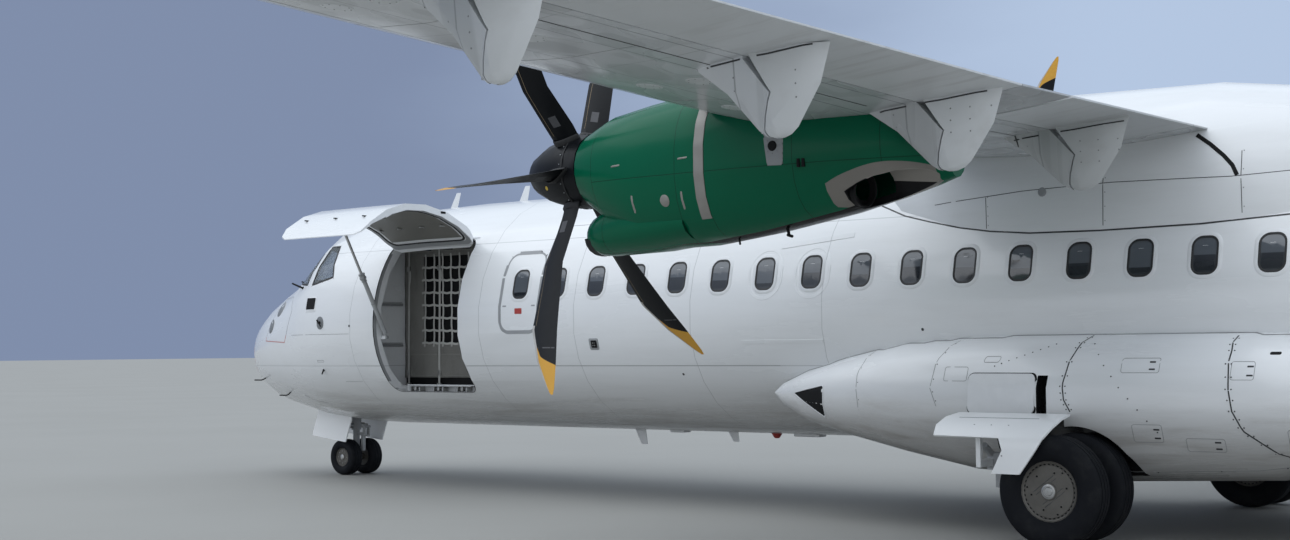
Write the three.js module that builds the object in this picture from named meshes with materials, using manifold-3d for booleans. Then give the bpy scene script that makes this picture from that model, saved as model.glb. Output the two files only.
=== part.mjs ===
// Twin-turboprop high-wing airliner, parked on its gear with the cargo door open.
// Millimetres. +Z is up, the nose points towards -Y, the left side is +X.
// Stations are distances aft of a datum just ahead of the nose, so Y = station + DATUM_Y.
import * as THREE from 'three';
import { mergeVertices } from 'three/addons/utils/BufferGeometryUtils.js';
import Module from 'manifold-3d';

const wasm = await Module();
wasm.setup();

// Driving dimensions
const LENGTH = 27166;
const NOSE_STATION = 170;
const DATUM_Y = -LENGTH / 2 - NOSE_STATION;
const SEAT_GAP = 0.3; // between pieces that rest against each other
const RUN_GAP = 12; // between pieces that move past each other
const WALL = 110; // fuselage wall: skin, frames and lining
const SHELL = 45; // cockpit wall
const FLOOR_Z = 1150;
const DOOR_THICK = 70;
const DECK = 40; // cockpit floor step above the cargo floor

const SECTION_ENDS = { nose: 3600, forward: 7100, cabin: 20270, rear: 22670, tail: 26470 };

// Wing
const HALF_SPAN = 13525;
const KINK_X = 4300; // end of the straight centre wing
const FLAP_END_X = 9300;
const AILERON = { from: 9750, to: 13150 };
const WING_STATIONS = [
  // x, leading edge station, its height, chord, trailing edge height, thickness
  [0, 11080, 3430, 2600, 3262, 468],
  [KINK_X, 11080, 3430, 2600, 3262, 468],
  [13300, 11300, 3778, 1610, 3700, 215],
  [HALF_SPAN, 11620, 3810, 1020, 3740, 60],
];
const FLAP_SHARE = 0.735; // chord share where the flaps begin
const AILERON_SHARE = 0.72;

// Propellers and nacelles
const NACELLE_X = 4050;
const HUB_Z = 3000;
const HUB_STATION = 9580;
const PROP_R = 1925;
const BLADES = 6;
const BLADE_PHASE = { left: 0.154, right: 0.573 }; // radians each propeller stopped past level
const SPINNER_R = 306;
const COWL_STATION = 9780;

// Undercarriage
const MAIN_STATION = 12840;
const MAIN_X = 2050;
const MAIN_TYRE = { radius: 432, width: 254, apart: 420, rim: 236 };
const NOSE_GEAR_STATION = 2070;
const NOSE_TYRE = { radius: 225, width: 190, apart: 330, rim: 118 };

const yAt = (station) => station + DATUM_Y;

// Paint and metals
const paint = (name, color, roughness, metalness = 0) => {
  const material = new THREE.MeshStandardMaterial({ color, roughness, metalness });
  material.name = name;
  return material;
};
const WHITE = paint('white_paint', 0xe9ebec, 0.35);
const WHITE_ALLOY = paint('white_alloy', 0xe9ebec, 0.35);
const WHITE_SHELL = paint('white_composite', 0xe9ebec, 0.35);
const GREEN = paint('green_paint', 0x10603f, 0.35);
const GREY = paint('cockpit_grey', 0x9b9d9c, 0.5);
const CLOTH = paint('curtain_cloth', 0x55585a, 0.9);
const BLACK = paint('black_blade', 0x121315, 0.4);
const GLASS = paint('glass', 0x2c343a, 0.1);
const RUBBER = paint('rubber', 0x17181a, 0.85);
const WHEEL = paint('wheel_metal', 0x84807a, 0.5, 0.6);
const STEEL = paint('gear_steel', 0x5d6063, 0.45, 0.5);
const ENGINE = paint('engine_metal', 0x6a6c6e, 0.5, 0.7);

// A three.js geometry as a solid with its faces pointing out
function solidOf(geometry) {
  const bare = geometry.index ? geometry.toNonIndexed() : geometry.clone();
  for (const name of Object.keys(bare.attributes)) {
    if (name !== 'position') bare.deleteAttribute(name);
  }
  const merged = mergeVertices(bare, 1e-3);
  const place = merged.attributes.position.array;
  const corners = merged.index.array;
  const faces = [];
  for (let i = 0; i < corners.length; i += 3) {
    const [a, b, c] = [corners[i], corners[i + 1], corners[i + 2]];
    if (a !== b && b !== c && c !== a) faces.push([a, b, c]);
  }
  const point = (i) => new THREE.Vector3(place[3 * i], place[3 * i + 1], place[3 * i + 2]);
  let volume = 0;
  for (const [a, b, c] of faces) volume += point(a).dot(point(b).cross(point(c)));
  const outward = volume < 0 ? faces.map(([a, b, c]) => [a, c, b]) : faces;
  return new wasm.Manifold(
    new wasm.Mesh({
      numProp: 3,
      vertProperties: new Float32Array(place),
      triVerts: new Uint32Array(outward.flat()),
    }),
  );
}

function geometryOf(solid) {
  const mesh = solid.getMesh();
  const geometry = new THREE.BufferGeometry();
  geometry.setAttribute('position', new THREE.BufferAttribute(mesh.vertProperties, 3));
  geometry.setIndex(new THREE.BufferAttribute(mesh.triVerts, 1));
  geometry.computeVertexNormals();
  return geometry;
}

const join = (...solids) => solids.reduce((sum, solid) => sum.add(solid));
const cut = (solid, ...tools) => tools.reduce((rest, tool) => rest.subtract(tool), solid);

// Simple solids, each given by its place in the airliner
function box(x0, x1, y0, y1, z0, z1) {
  const geometry = new THREE.BoxGeometry(Math.abs(x1 - x0), Math.abs(y1 - y0), Math.abs(z1 - z0));
  geometry.translate((x0 + x1) / 2, (y0 + y1) / 2, (z0 + z1) / 2);
  return solidOf(geometry);
}

function rod(from, to, radius, radiusTo = radius, sides = 16) {
  const a = new THREE.Vector3(...from);
  const b = new THREE.Vector3(...to);
  const along = b.clone().sub(a);
  const geometry = new THREE.CylinderGeometry(radiusTo, radius, along.length(), sides);
  const turn = new THREE.Quaternion().setFromUnitVectors(
    new THREE.Vector3(0, 1, 0),
    along.clone().normalize(),
  );
  geometry.applyQuaternion(turn);
  geometry.translate(...a.add(b).multiplyScalar(0.5).toArray());
  return solidOf(geometry);
}

// An outline drawn in two axes and drawn out along the third
function slab(outline, along, from, to) {
  const shape = new THREE.Shape(outline.map(([u, v]) => new THREE.Vector2(u, v)));
  const geometry = new THREE.ExtrudeGeometry(shape, {
    depth: Math.abs(to - from),
    bevelEnabled: false,
    steps: 1,
  });
  geometry.translate(0, 0, Math.min(from, to));
  const place = geometry.attributes.position;
  for (let i = 0; i < place.count; i += 1) {
    const [u, v, w] = [place.getX(i), place.getY(i), place.getZ(i)];
    if (along === 'x') place.setXYZ(i, w, u, v);
    if (along === 'y') place.setXYZ(i, u, w, v);
    if (along === 'z') place.setXYZ(i, u, v, w);
  }
  return solidOf(geometry);
}

function roundedOutline(u0, v0, u1, v1, radius, steps = 4, lowRadius = radius) {
  const outline = [];
  const centres = [
    [u1 - lowRadius, v0 + lowRadius, lowRadius, -Math.PI / 2],
    [u1 - radius, v1 - radius, radius, 0],
    [u0 + radius, v1 - radius, radius, Math.PI / 2],
    [u0 + lowRadius, v0 + lowRadius, lowRadius, Math.PI],
  ];
  for (const [u, v, r, start] of centres) {
    for (let i = 0; i <= steps; i += 1) {
      const angle = start + (i / steps) * (Math.PI / 2);
      outline.push([u + r * Math.cos(angle), v + r * Math.sin(angle)]);
    }
  }
  return outline;
}

// Rings of equal count joined into one closed skin
function loft(rings) {
  const count = rings[0].length;
  const corner = [];
  const face = (a, b, c) => corner.push(...a, ...b, ...c);
  for (let r = 0; r + 1 < rings.length; r += 1) {
    for (let i = 0; i < count; i += 1) {
      const j = (i + 1) % count;
      face(rings[r][i], rings[r][j], rings[r + 1][j]);
      face(rings[r][i], rings[r + 1][j], rings[r + 1][i]);
    }
  }
  const cap = (ring, flip) => {
    const middle = [0, 1, 2].map((k) => ring.reduce((sum, p) => sum + p[k], 0) / count);
    for (let i = 0; i < count; i += 1) {
      const j = (i + 1) % count;
      if (flip) face(ring[i], ring[j], middle);
      else face(ring[j], ring[i], middle);
    }
  };
  cap(rings[0], false);
  cap(rings[rings.length - 1], true);
  const geometry = new THREE.BufferGeometry();
  geometry.setAttribute('position', new THREE.BufferAttribute(new Float32Array(corner), 3));
  return solidOf(geometry);
}

// Smooth reading of a table whose first column rises
function tableAt(table, where) {
  const last = table.length - 1;
  let i = 0;
  while (i < last - 1 && where > table[i + 1][0]) i += 1;
  const [a, b] = [table[i], table[i + 1]];
  const span = b[0] - a[0];
  const t = Math.min(Math.max((where - a[0]) / span, 0), 1);
  const slope = (k, column) => {
    if (k <= 0 || k >= last) return null;
    const before = (table[k][column] - table[k - 1][column]) / (table[k][0] - table[k - 1][0]);
    const after = (table[k + 1][column] - table[k][column]) / (table[k + 1][0] - table[k][0]);
    return before * after <= 0 ? 0 : (2 * before * after) / (before + after);
  };
  return a.map((value, column) => {
    const rise = (b[column] - value) / span;
    const m0 = slope(i, column) ?? rise;
    const m1 = slope(i + 1, column) ?? rise;
    const t2 = t * t;
    const t3 = t2 * t;
    return (
      (2 * t3 - 3 * t2 + 1) * value +
      (t3 - 2 * t2 + t) * span * m0 +
      (3 * t2 - 2 * t3) * b[column] +
      (t3 - t2) * span * m1
    );
  });
}

// Fuselage
const FUSELAGE = [
  // station, half width, top, widest height, bottom, squareness
  [NOSE_STATION, 10, 1572, 1557, 1541, 2],
  [215, 170, 1738, 1557, 1374, 2],
  [370, 300, 1898, 1560, 1188, 2],
  [670, 525, 2072, 1570, 1030, 2],
  [1100, 800, 2262, 1600, 893, 2],
  [1650, 1055, 2470, 1650, 800, 2.05],
  [2000, 1165, 2605, 1690, 735, 2.1],
  [2400, 1285, 2945, 1730, 702, 2.15],
  [2750, 1385, 3165, 1765, 688, 2.2],
  [3200, 1410, 3240, 1800, 678, 2.1],
  [3800, 1424, 3262, 1833, 677, 2],
  [4600, 1432.5, 3282, 1850, 676, 2],
  [18770, 1432.5, 3282, 1850, 676, 2],
  [20170, 1412, 3280, 1870, 745, 2],
  [21670, 1322, 3270, 1975, 980, 2],
  [23170, 1095, 3235, 2180, 1395, 2],
  [24670, 745, 3150, 2420, 1880, 2],
  [25770, 430, 3020, 2580, 2220, 2],
  [26470, 150, 2850, 2690, 2530, 2],
];
const HULL_SIDES = 28;
const SPACE_SIDES = 16;

function hullRing(station, inset, sides = HULL_SIDES) {
  const [, halfWidth, top, middle, bottom, square] = tableAt(FUSELAGE, station);
  const ring = [];
  for (let i = 0; i < sides; i += 1) {
    const angle = ((i + 0.5) / sides) * 2 * Math.PI;
    const [c, s] = [Math.cos(angle), Math.sin(angle)];
    const bend = (value) => Math.sign(value) * Math.abs(value) ** (2 / square);
    const height = s > 0 ? top - middle - inset : middle - bottom - inset;
    ring.push([(halfWidth - inset) * bend(c), yAt(station), middle + height * bend(s)]);
  }
  return ring;
}

function hull(from, to, inset = 0, sides = HULL_SIDES) {
  const stations = FUSELAGE.map(([station]) => station).filter(
    (station) => station > from + 30 && station < to - 30,
  );
  return loft([from, ...stations, to].map((station) => hullRing(station, inset, sides)));
}

// Half width of the fuselage skin at a station and height
function skinX(station, height) {
  const [, halfWidth, top, middle, bottom, square] = tableAt(FUSELAGE, station);
  const share = height > middle ? (height - middle) / (top - middle) : (middle - height) / (middle - bottom);
  return halfWidth * (1 - share ** square) ** (1 / square);
}

// Openings in the fuselage: stations, heights, and how near the centreline the cut begins
const CARGO_OPENING = { from: 4015, to: 5395, low: 1085, high: 2790, corner: 130, inner: 900 };
const PASSENGER_OPENING = {
  from: 20650,
  to: 21490,
  low: 1110,
  high: 2890,
  corner: 150,
  lowCorner: 30,
  inner: 640,
};
const SERVICE_OPENING = { from: 20730, to: 21370, low: 1160, high: 2400, corner: 120, inner: 600 };
const EXIT_OPENING = { from: 6010, to: 6620, low: 1715, high: 2610, corner: 150, inner: 950 };
const WINDOW_CUT = 40; // how far window prisms reach past the skin

// The prism of an opening on one side, shrunk by a gap
function openingPrism({ from, to, low, high, corner, lowCorner = corner, inner }, side, gap) {
  const ends = [yAt(from) + gap, low + gap, yAt(to) - gap, high - gap];
  const outline = roundedOutline(...ends, corner - gap, 2, lowCorner - gap);
  return slab(outline, 'x', side * (inner + gap), side * 1600);
}

const above = (solid, height) => solid.intersect(box(-2000, 2000, -LENGTH, LENGTH, height, 9000));

const COCKPIT = { from: 1800, to: 3480 };
const cockpitSpace = above(hull(COCKPIT.from, COCKPIT.to, SHELL, SPACE_SIDES), FLOOR_Z + DECK);
const BULKHEAD = 60;
const cargoSpace = above(
  hull(SECTION_ENDS.nose + BULKHEAD, SECTION_ENDS.forward - 2 * BULKHEAD, WALL, 20),
  FLOOR_Z,
);
const vestibuleSpace = above(
  hull(SECTION_ENDS.cabin + BULKHEAD, SECTION_ENDS.rear - 2 * BULKHEAD, WALL, SPACE_SIDES),
  FLOOR_Z,
);

// Cockpit windows, drawn in the front view and in the side view
const windscreenOutline = (gap) => [
  [35 + gap, 2455 + gap],
  [1000, 2388 + gap],
  [1228 - gap, 2349 + gap],
  [1140 - gap, 2560],
  [925 - gap, 2790 - gap],
  [35 + gap, 2900 - gap],
];
const sideWindowOutline = (gap) => [
  [yAt(2776) + gap, 2343 + gap],
  [yAt(3143) - gap, 2424 + gap],
  [yAt(2966) - gap, 2812 - gap],
  [yAt(2800) + gap, 2812 - gap],
];
const mirrored = (outline, side) => outline.map(([u, v]) => [side * u, v]);

function windscreenPrism(side, gap) {
  return slab(mirrored(windscreenOutline(gap), side), 'y', yAt(1500), yAt(2800) - gap);
}

function sideWindowPrism(side, gap) {
  return slab(sideWindowOutline(gap), 'x', side * 500, side * (1432 + WINDOW_CUT));
}

// Nose wheel bay
const NOSE_BAY = { half: 265, from: 1480, to: 2480, top: 1080 };
const noseBay = box(-NOSE_BAY.half, NOSE_BAY.half, yAt(NOSE_BAY.from), yAt(NOSE_BAY.to), 500, NOSE_BAY.top);

// A solid turned about a line along Y
function turnedAboutY(solid, angle, x, z) {
  const geometry = geometryOf(solid);
  geometry.translate(-x, 0, -z);
  geometry.rotateY(angle);
  geometry.translate(x, 0, z);
  return solidOf(geometry);
}

const group = new THREE.Group();

function add(name, solid, material, place = [0, 0, 0]) {
  const mesh = new THREE.Mesh(geometryOf(solid), material);
  mesh.name = name;
  mesh.position.set(...place);
  group.add(mesh);
  return mesh;
}

const SIDES = [
  ['left', 1],
  ['right', -1],
];

// Hinge barrels along Y, end to end: even places belong to the door, odd ones to its frame.
// Each has a leaf, a plate that runs from the barrel into the skin, so far up or down.
const BARREL_R = 16;
function barrelRow(hinge, from, to, count, odd, rise) {
  const pitch = (to - from) / count;
  const pieces = [];
  for (let i = odd ? 1 : 0; i < count; i += 2) {
    const start = yAt(from + i * pitch) + SEAT_GAP / 2;
    const end = start + pitch - SEAT_GAP;
    const leafX = skinX(from + (i + 1) * pitch, hinge.z + rise) - 12;
    pieces.push(rod([hinge.x, start, hinge.z], [hinge.x, end, hinge.z], BARREL_R, BARREL_R, 10));
    pieces.push(
      slab(
        [
          [hinge.x - 10, hinge.z],
          [hinge.x + 8, hinge.z],
          [leafX, hinge.z + rise],
          [leafX - 30, hinge.z + rise],
        ],
        'y',
        start,
        end,
      ),
    );
  }
  return join(...pieces);
}

const hingeRelief = (hinge, from, to) =>
  rod([hinge.x, yAt(from), hinge.z], [hinge.x, yAt(to), hinge.z], BARREL_R + RUN_GAP, BARREL_R + RUN_GAP, 16);

// Nose and cockpit
const noseHull = hull(0, SECTION_ENDS.nose);
const noseShell = cut(noseHull, cockpitSpace);
let nose = cut(noseShell, noseBay);
for (const [, side] of SIDES) {
  nose = cut(nose, windscreenPrism(side, 0), sideWindowPrism(side, 0));
}
add('nose_section', nose, WHITE);
for (const [word, side] of SIDES) {
  const screen = cut(noseShell.intersect(windscreenPrism(side, SEAT_GAP)), sideWindowPrism(side, 0));
  add(`windscreen_${word}`, screen, GLASS);
  add(`side_window_${word}`, noseShell.intersect(sideWindowPrism(side, SEAT_GAP)), GLASS);
}

const cockpitFloor = FLOOR_Z + DECK + SEAT_GAP;
const seat = (side) =>
  join(
    box(side * 330, side * 590, yAt(2980), yAt(3180), cockpitFloor, cockpitFloor + 260),
    box(side * 230, side * 690, yAt(2860), yAt(3300), cockpitFloor + 250, cockpitFloor + 360),
    box(side * 240, side * 680, yAt(3240), yAt(3350), cockpitFloor + 340, cockpitFloor + 900),
    box(side * 340, side * 580, yAt(3260), yAt(3340), cockpitFloor + 880, cockpitFloor + 1080),
  );
add(
  'cockpit_fittings',
  join(
    box(-720, 720, yAt(2250), yAt(3400), cockpitFloor, cockpitFloor + 20),
    box(-140, 140, yAt(2260), yAt(3150), cockpitFloor + 10, cockpitFloor + 430),
    box(-760, 760, yAt(2280), yAt(2440), cockpitFloor + 420, cockpitFloor + 880),
    box(-700, 700, yAt(2180), yAt(2500), cockpitFloor + 840, cockpitFloor + 900),
    seat(1),
    seat(-1),
  ),
  GREY,
);

// Forward section with the cargo bay, its door, strut and curtain
const CARGO_HINGE = { x: skinX(4700, CARGO_OPENING.high) + 6, z: CARGO_OPENING.high + 4 };
const CARGO_OPEN = (89 * Math.PI) / 180;
const CARGO_BARRELS = [CARGO_OPENING.from + 150, CARGO_OPENING.to - 150, 5];
const STRUT = {
  station: 4085,
  low: [1275, 1710],
  high: [1960, 3000],
  rodEnd: 760,
  tubeStart: 650,
  boreEnd: 1385,
  rodR: 16,
  tubeR: 25,
};

const forwardHull = hull(SECTION_ENDS.nose + SEAT_GAP, SECTION_ENDS.forward);
const forwardShell = cut(forwardHull, cargoSpace);
const cargoRelief = hingeRelief(CARGO_HINGE, CARGO_OPENING.from, CARGO_OPENING.to);
let forward = cut(forwardShell, openingPrism(CARGO_OPENING, 1, 0), cargoRelief);
for (const [, side] of SIDES) forward = cut(forward, openingPrism(EXIT_OPENING, side, 0));
forward = join(
  forward,
  barrelRow(CARGO_HINGE, ...CARGO_BARRELS, true, 60),
  box(1257, 1345, yAt(3940), yAt(4010), 1690, 1730),
  box(1257, 1293, yAt(3990), yAt(STRUT.station - 10 - SEAT_GAP), 1690, 1730),
);
add('forward_section', forward, WHITE);
for (const [word, side] of SIDES) {
  add(`emergency_exit_${word}`, forwardShell.intersect(openingPrism(EXIT_OPENING, side, SEAT_GAP)), WHITE);
}

const doorPanel = (whole, from, to, opening, side) =>
  cut(whole, hull(from, to, DOOR_THICK, SPACE_SIDES * 2)).intersect(openingPrism(opening, side, RUN_GAP));
// The door thins towards its free edge: its inner side slopes back to the skin
const doorTaper = slab(
  [
    [850, 1000],
    [skinX(4700, 1085) - 14, 1000],
    [skinX(4700, 1085) - 14, 1090],
    [skinX(4700, 1250) - 38, 1250],
    [skinX(4700, 1450) - DOOR_THICK - 2, 1450],
    [850, 1450],
  ],
  'y',
  yAt(3900),
  yAt(5500),
);
const closedDoor = join(
  cut(
    doorPanel(forwardHull, 3800, 5600, CARGO_OPENING, 1),
    cargoRelief,
    doorTaper,
  ),
  barrelRow(CARGO_HINGE, ...CARGO_BARRELS, false, -70),
);
const strutEar = (from, to) =>
  join(
    rod([STRUT.high[0], yAt(from), STRUT.high[1]], [STRUT.high[0], yAt(to), STRUT.high[1]], 20, 20, 12),
    box(STRUT.high[0] - 20, STRUT.high[0] + 20, yAt(from), yAt(to), STRUT.high[1], STRUT.high[1] + 90),
  );
add(
  'cargo_door',
  join(
    turnedAboutY(closedDoor, -CARGO_OPEN, CARGO_HINGE.x, CARGO_HINGE.z),
    strutEar(STRUT.station - 30, STRUT.station - 10 - SEAT_GAP),
    strutEar(STRUT.station + 10 + SEAT_GAP, STRUT.station + 30),
  ),
  WHITE,
);

// A point of the strut, so far from its upper eye
function strutPoint(distance) {
  const run = [STRUT.low[0] - STRUT.high[0], STRUT.low[1] - STRUT.high[1]];
  const share = distance / Math.hypot(...run);
  return [STRUT.high[0] + share * run[0], yAt(STRUT.station), STRUT.high[1] + share * run[1]];
}
const strutLength = Math.hypot(STRUT.low[0] - STRUT.high[0], STRUT.low[1] - STRUT.high[1]);
const eye = ([x, , z]) => rod([x, yAt(STRUT.station - 10), z], [x, yAt(STRUT.station + 10), z], 20, 20, 12);
add(
  'cargo_strut_rod',
  join(
    rod(strutPoint(50), strutPoint(STRUT.rodEnd), STRUT.rodR, STRUT.rodR, 10),
    rod(strutPoint(0), strutPoint(60), 9, 9, 8),
    eye(strutPoint(0)),
  ),
  STEEL,
);
const strutRound = (from, to, radius, sides = 10) => rod(strutPoint(from), strutPoint(to), radius, radius, sides);
add(
  'cargo_strut_tube',
  join(
    cut(
      join(
        strutRound(STRUT.tubeStart, strutLength - 50, STRUT.tubeR),
        strutRound(STRUT.tubeStart, STRUT.tubeStart + 75, STRUT.tubeR + 9),
        strutRound(strutLength - 60, strutLength, 9, 8),
      ),
      strutRound(STRUT.tubeStart - 10, STRUT.tubeStart + 30, STRUT.rodR + 1.5),
      strutRound(STRUT.tubeStart + 20, STRUT.boreEnd, STRUT.rodR + 4),
    ),
    eye(strutPoint(strutLength)),
  ),
  STEEL,
);

const CURTAIN = { x: 610, thick: 14, low: 1240, high: 2960 };
const curtainStart = SECTION_ENDS.nose + BULKHEAD + 12;
const curtainEnd = SECTION_ENDS.forward - 2 * BULKHEAD - 12;
const strap = (station) =>
  box(CURTAIN.x, CURTAIN.x + CURTAIN.thick, yAt(station - 20), yAt(station + 20), FLOOR_Z + SEAT_GAP, 2982);
add(
  'cargo_curtain',
  join(
    box(CURTAIN.x, CURTAIN.x + CURTAIN.thick, yAt(curtainStart), yAt(curtainEnd), CURTAIN.low, CURTAIN.high),
    ...[3750, 5250, 6750].map(strap),
  ),
  CLOTH,
);

// Wing outline: each ring runs from the trailing edge along the lower skin to the nose and back
function foilRing(halfCount, camber) {
  const ring = [];
  const edge = 0.0025;
  const skin = (t, side, thick) => {
    const shape =
      0.2969 * Math.sqrt(t) - 0.126 * t - 0.3516 * t * t + 0.2843 * t ** 3 - 0.1036 * t ** 4;
    return camber * 4 * t * (1 - t) * (1.4 - 1.1 * t) + side * (5 * thick * shape + edge * t);
  };
  for (let i = 0; i <= 2 * halfCount; i += 1) {
    const t = 0.5 + 0.5 * Math.cos((Math.PI * i) / halfCount);
    ring.push({ t, skin: (thick) => skin(t, i <= halfCount ? -1 : 1, thick) });
  }
  return ring;
}

// Lofted wing from a table of x, leading edge station and height, chord, trailing edge height, thickness
function wingLoft(table, camber, halfCount) {
  const ring = foilRing(halfCount, camber);
  const rows = [...table.slice(1).reverse().map(([x, ...rest]) => [-x, ...rest]), ...table];
  return loft(
    rows.map(([x, station, height, chord, tailHeight, thick]) =>
      ring.map(({ t, skin }) => [
        x,
        yAt(station + t * chord),
        height + t * (tailHeight - height) + chord * skin(thick / chord),
      ]),
    ),
  );
}

const wingRow = (x) => {
  const i = WING_STATIONS.findIndex(([end]) => end >= Math.abs(x));
  const [a, b] = [WING_STATIONS[Math.max(i - 1, 0)], WING_STATIONS[Math.max(i, 1)]];
  const t = (Math.abs(x) - a[0]) / (b[0] - a[0]);
  const [, station, height, chord, tailHeight] = a.map((value, k) => value + t * (b[k] - value));
  return { station, height, chord, tailHeight };
};
const chordStation = (x, share) => wingRow(x).station + share * wingRow(x).chord;
const chordHeight = (x, share) =>
  wingRow(x).height + share * (wingRow(x).tailHeight - wingRow(x).height);

const wingBlank = wingLoft(WING_STATIONS, 0.01, 7);

// The same wing a little larger, to leave the resting gap round it
const grown = (table) =>
  table.map(([x, station, height, chord, tailHeight, thick]) => [
    x,
    station - 3 * SEAT_GAP,
    height,
    chord + 6 * SEAT_GAP,
    tailHeight,
    thick + 6 * SEAT_GAP,
  ]);
const wingSpace = wingLoft(grown(WING_STATIONS), 0.01, 7);

// Everything behind a line across the span, between two ends
function behindPrism(side, from, to, share, shift, shiftTo = shift) {
  const outline = [
    [side * from, yAt(chordStation(from, share) + shift)],
    [side * to, yAt(chordStation(to, share) + shiftTo)],
    [side * to, yAt(chordStation(to, 1) + 200)],
    [side * from, yAt(chordStation(from, 1) + 200)],
  ];
  return slab(outline, 'z', 2500, 4500);
}

// Flap hinge fairings: a lens-shaped body below the wing, split above and ahead of its pivot. The
// stations are those at the root, and move with the wing's chord.
const FAIRING_ROWS = [
  // height above the tip, front station, rear station, half width
  [535, 12430, 13600, 95],
  [300, 12790, 13530, 86],
  [55, 13052, 13362, 54],
  [16, 13110, 13312, 36],
  [0, 13160, 13262, 18],
];
const FAIRING_TIP_Z = 2717;
const PIVOT = { station: 13185, rise: 50, round: 47, barrel: 22, lug: 10 };
// The line between the two parts, from the pivot up to the flap's front: ahead, up
const FAIRING_SEAM = [
  [46, 14],
  [36, 70],
  [-14, 215],
];
const DIHEDRAL = (WING_STATIONS[2][2] - WING_STATIONS[1][2]) / (WING_STATIONS[2][0] - KINK_X);
const fairingTip = (x) => FAIRING_TIP_Z + DIHEDRAL * Math.max(Math.abs(x) - KINK_X, 0);
const [, ROOT_STATION, , ROOT_CHORD] = WING_STATIONS[0];
function chordwise(x, station) {
  const { station: front, chord } = wingRow(x);
  return yAt(front + (chord / ROOT_CHORD) * (station - ROOT_STATION));
}
const flapPivot = (x) => [x, chordwise(x, PIVOT.station), fairingTip(x) + PIVOT.rise];

// Turned so that its own X axis lies along the flap's hinge line, and put at the pivot
function atPivot(solid, x) {
  const outboard = Math.abs(x) > KINK_X;
  const [near, far] = outboard ? [4500, 9000] : [1500, 3500];
  const [a, b] = (x > 0 ? [near, far] : [-far, -near]).map((place) => new THREE.Vector3(...flapPivot(place)));
  const line = b.sub(a).normalize();
  const turn = new THREE.Quaternion().setFromUnitVectors(new THREE.Vector3(1, 0, 0), line);
  return solidOf(geometryOf(solid).applyQuaternion(turn).translate(...flapPivot(x)));
}

function flapFairing(x) {
  const tip = fairingTip(x);
  const tilt = Math.abs(x) > KINK_X ? -Math.sign(x) * Math.atan(DIHEDRAL) : 0;
  const placed = (solid) => solidOf(geometryOf(solid).rotateY(tilt).translate(x, 0, tip));
  const rings = FAIRING_ROWS.map(([rise, front, rear, half]) => {
    const [y0, y1] = [chordwise(x, front), chordwise(x, rear)];
    const ring = [];
    for (let i = 0; i < 8; i += 1) {
      const angle = (i / 8) * 2 * Math.PI;
      const [c, s] = [Math.cos(angle), Math.sin(angle)];
      const bulge = half * s * (0.55 + 0.45 * Math.abs(s));
      ring.push([bulge, (y0 + y1) / 2 + ((y1 - y0) / 2) * c, rise]);
    }
    return ring;
  });
  const lens = loft(rings);
  const [, split, pivotZ] = flapPivot(x);
  const rise = pivotZ - tip;
  const flapFront = yAt(chordStation(x, FLAP_SHARE));
  const seam = FAIRING_SEAM.map(([ahead, up]) => [split - ahead, rise + up]);
  const rearOutline = [
    [split, -50],
    [split, rise],
    ...seam,
    [flapFront + RUN_GAP, 540],
    [split + 700, 540],
    [split + 700, -50],
  ];
  const frontEdge = [[split, -50], [split, rise], ...seam, [flapFront, 485]];
  const frontOutline = frontEdge.map(([y, z]) => [y - RUN_GAP, z]);
  frontOutline.push([flapFront - RUN_GAP, 700], [flapFront - 900, 700], [flapFront - 900, -50]);
  const whole = (outline) => slab(outline, 'x', -130, 130);
  const across = (half, radius, sides) => atPivot(rod([-half, 0, 0], [half, 0, 0], radius, radius, sides), x);
  const lug = join(
    across(PIVOT.lug, PIVOT.barrel, 10),
    atPivot(box(-PIVOT.lug, PIVOT.lug, -100, 0, -15, 15), x),
  );
  const knuckle = placed(lens).intersect(across(130, PIVOT.round, 16));
  const slot = across(PIVOT.lug + SEAT_GAP, PIVOT.round + RUN_GAP, 16);
  const frontPiece = placed(lens.intersect(whole(frontOutline)));
  return {
    front: join(cut(frontPiece, across(130, PIVOT.round + RUN_GAP, 16)), lug),
    rear: cut(join(placed(lens.intersect(whole(rearOutline))), knuckle), slot),
  };
}

// A surface that turns on a hinge line inside a fixed one. Its nose is round about the line, with
// half the local thickness as its radius, and the rest starts far enough behind to swing clear.
const behindHinge = (half) => 0.55 * half + 6;
const cove = ([a, b], halves) => rod(a, b, halves[0] + 12, halves[1] + 12, 12);
function turningSurface(blank, region, [a, b], halves) {
  const nose = rod(a, b, halves[0] * 0.97, halves[1] * 0.97, 12);
  const along = new THREE.Vector3(...b).sub(new THREE.Vector3(...a)).normalize().toArray();
  const reach = RUN_GAP - SEAT_GAP;
  const pin = rod(
    a.map((value, k) => value - along[k] * reach),
    b.map((value, k) => value + along[k] * reach),
    18,
    18,
    8,
  );
  return join(blank.intersect(join(region, nose)), pin);
}

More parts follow.
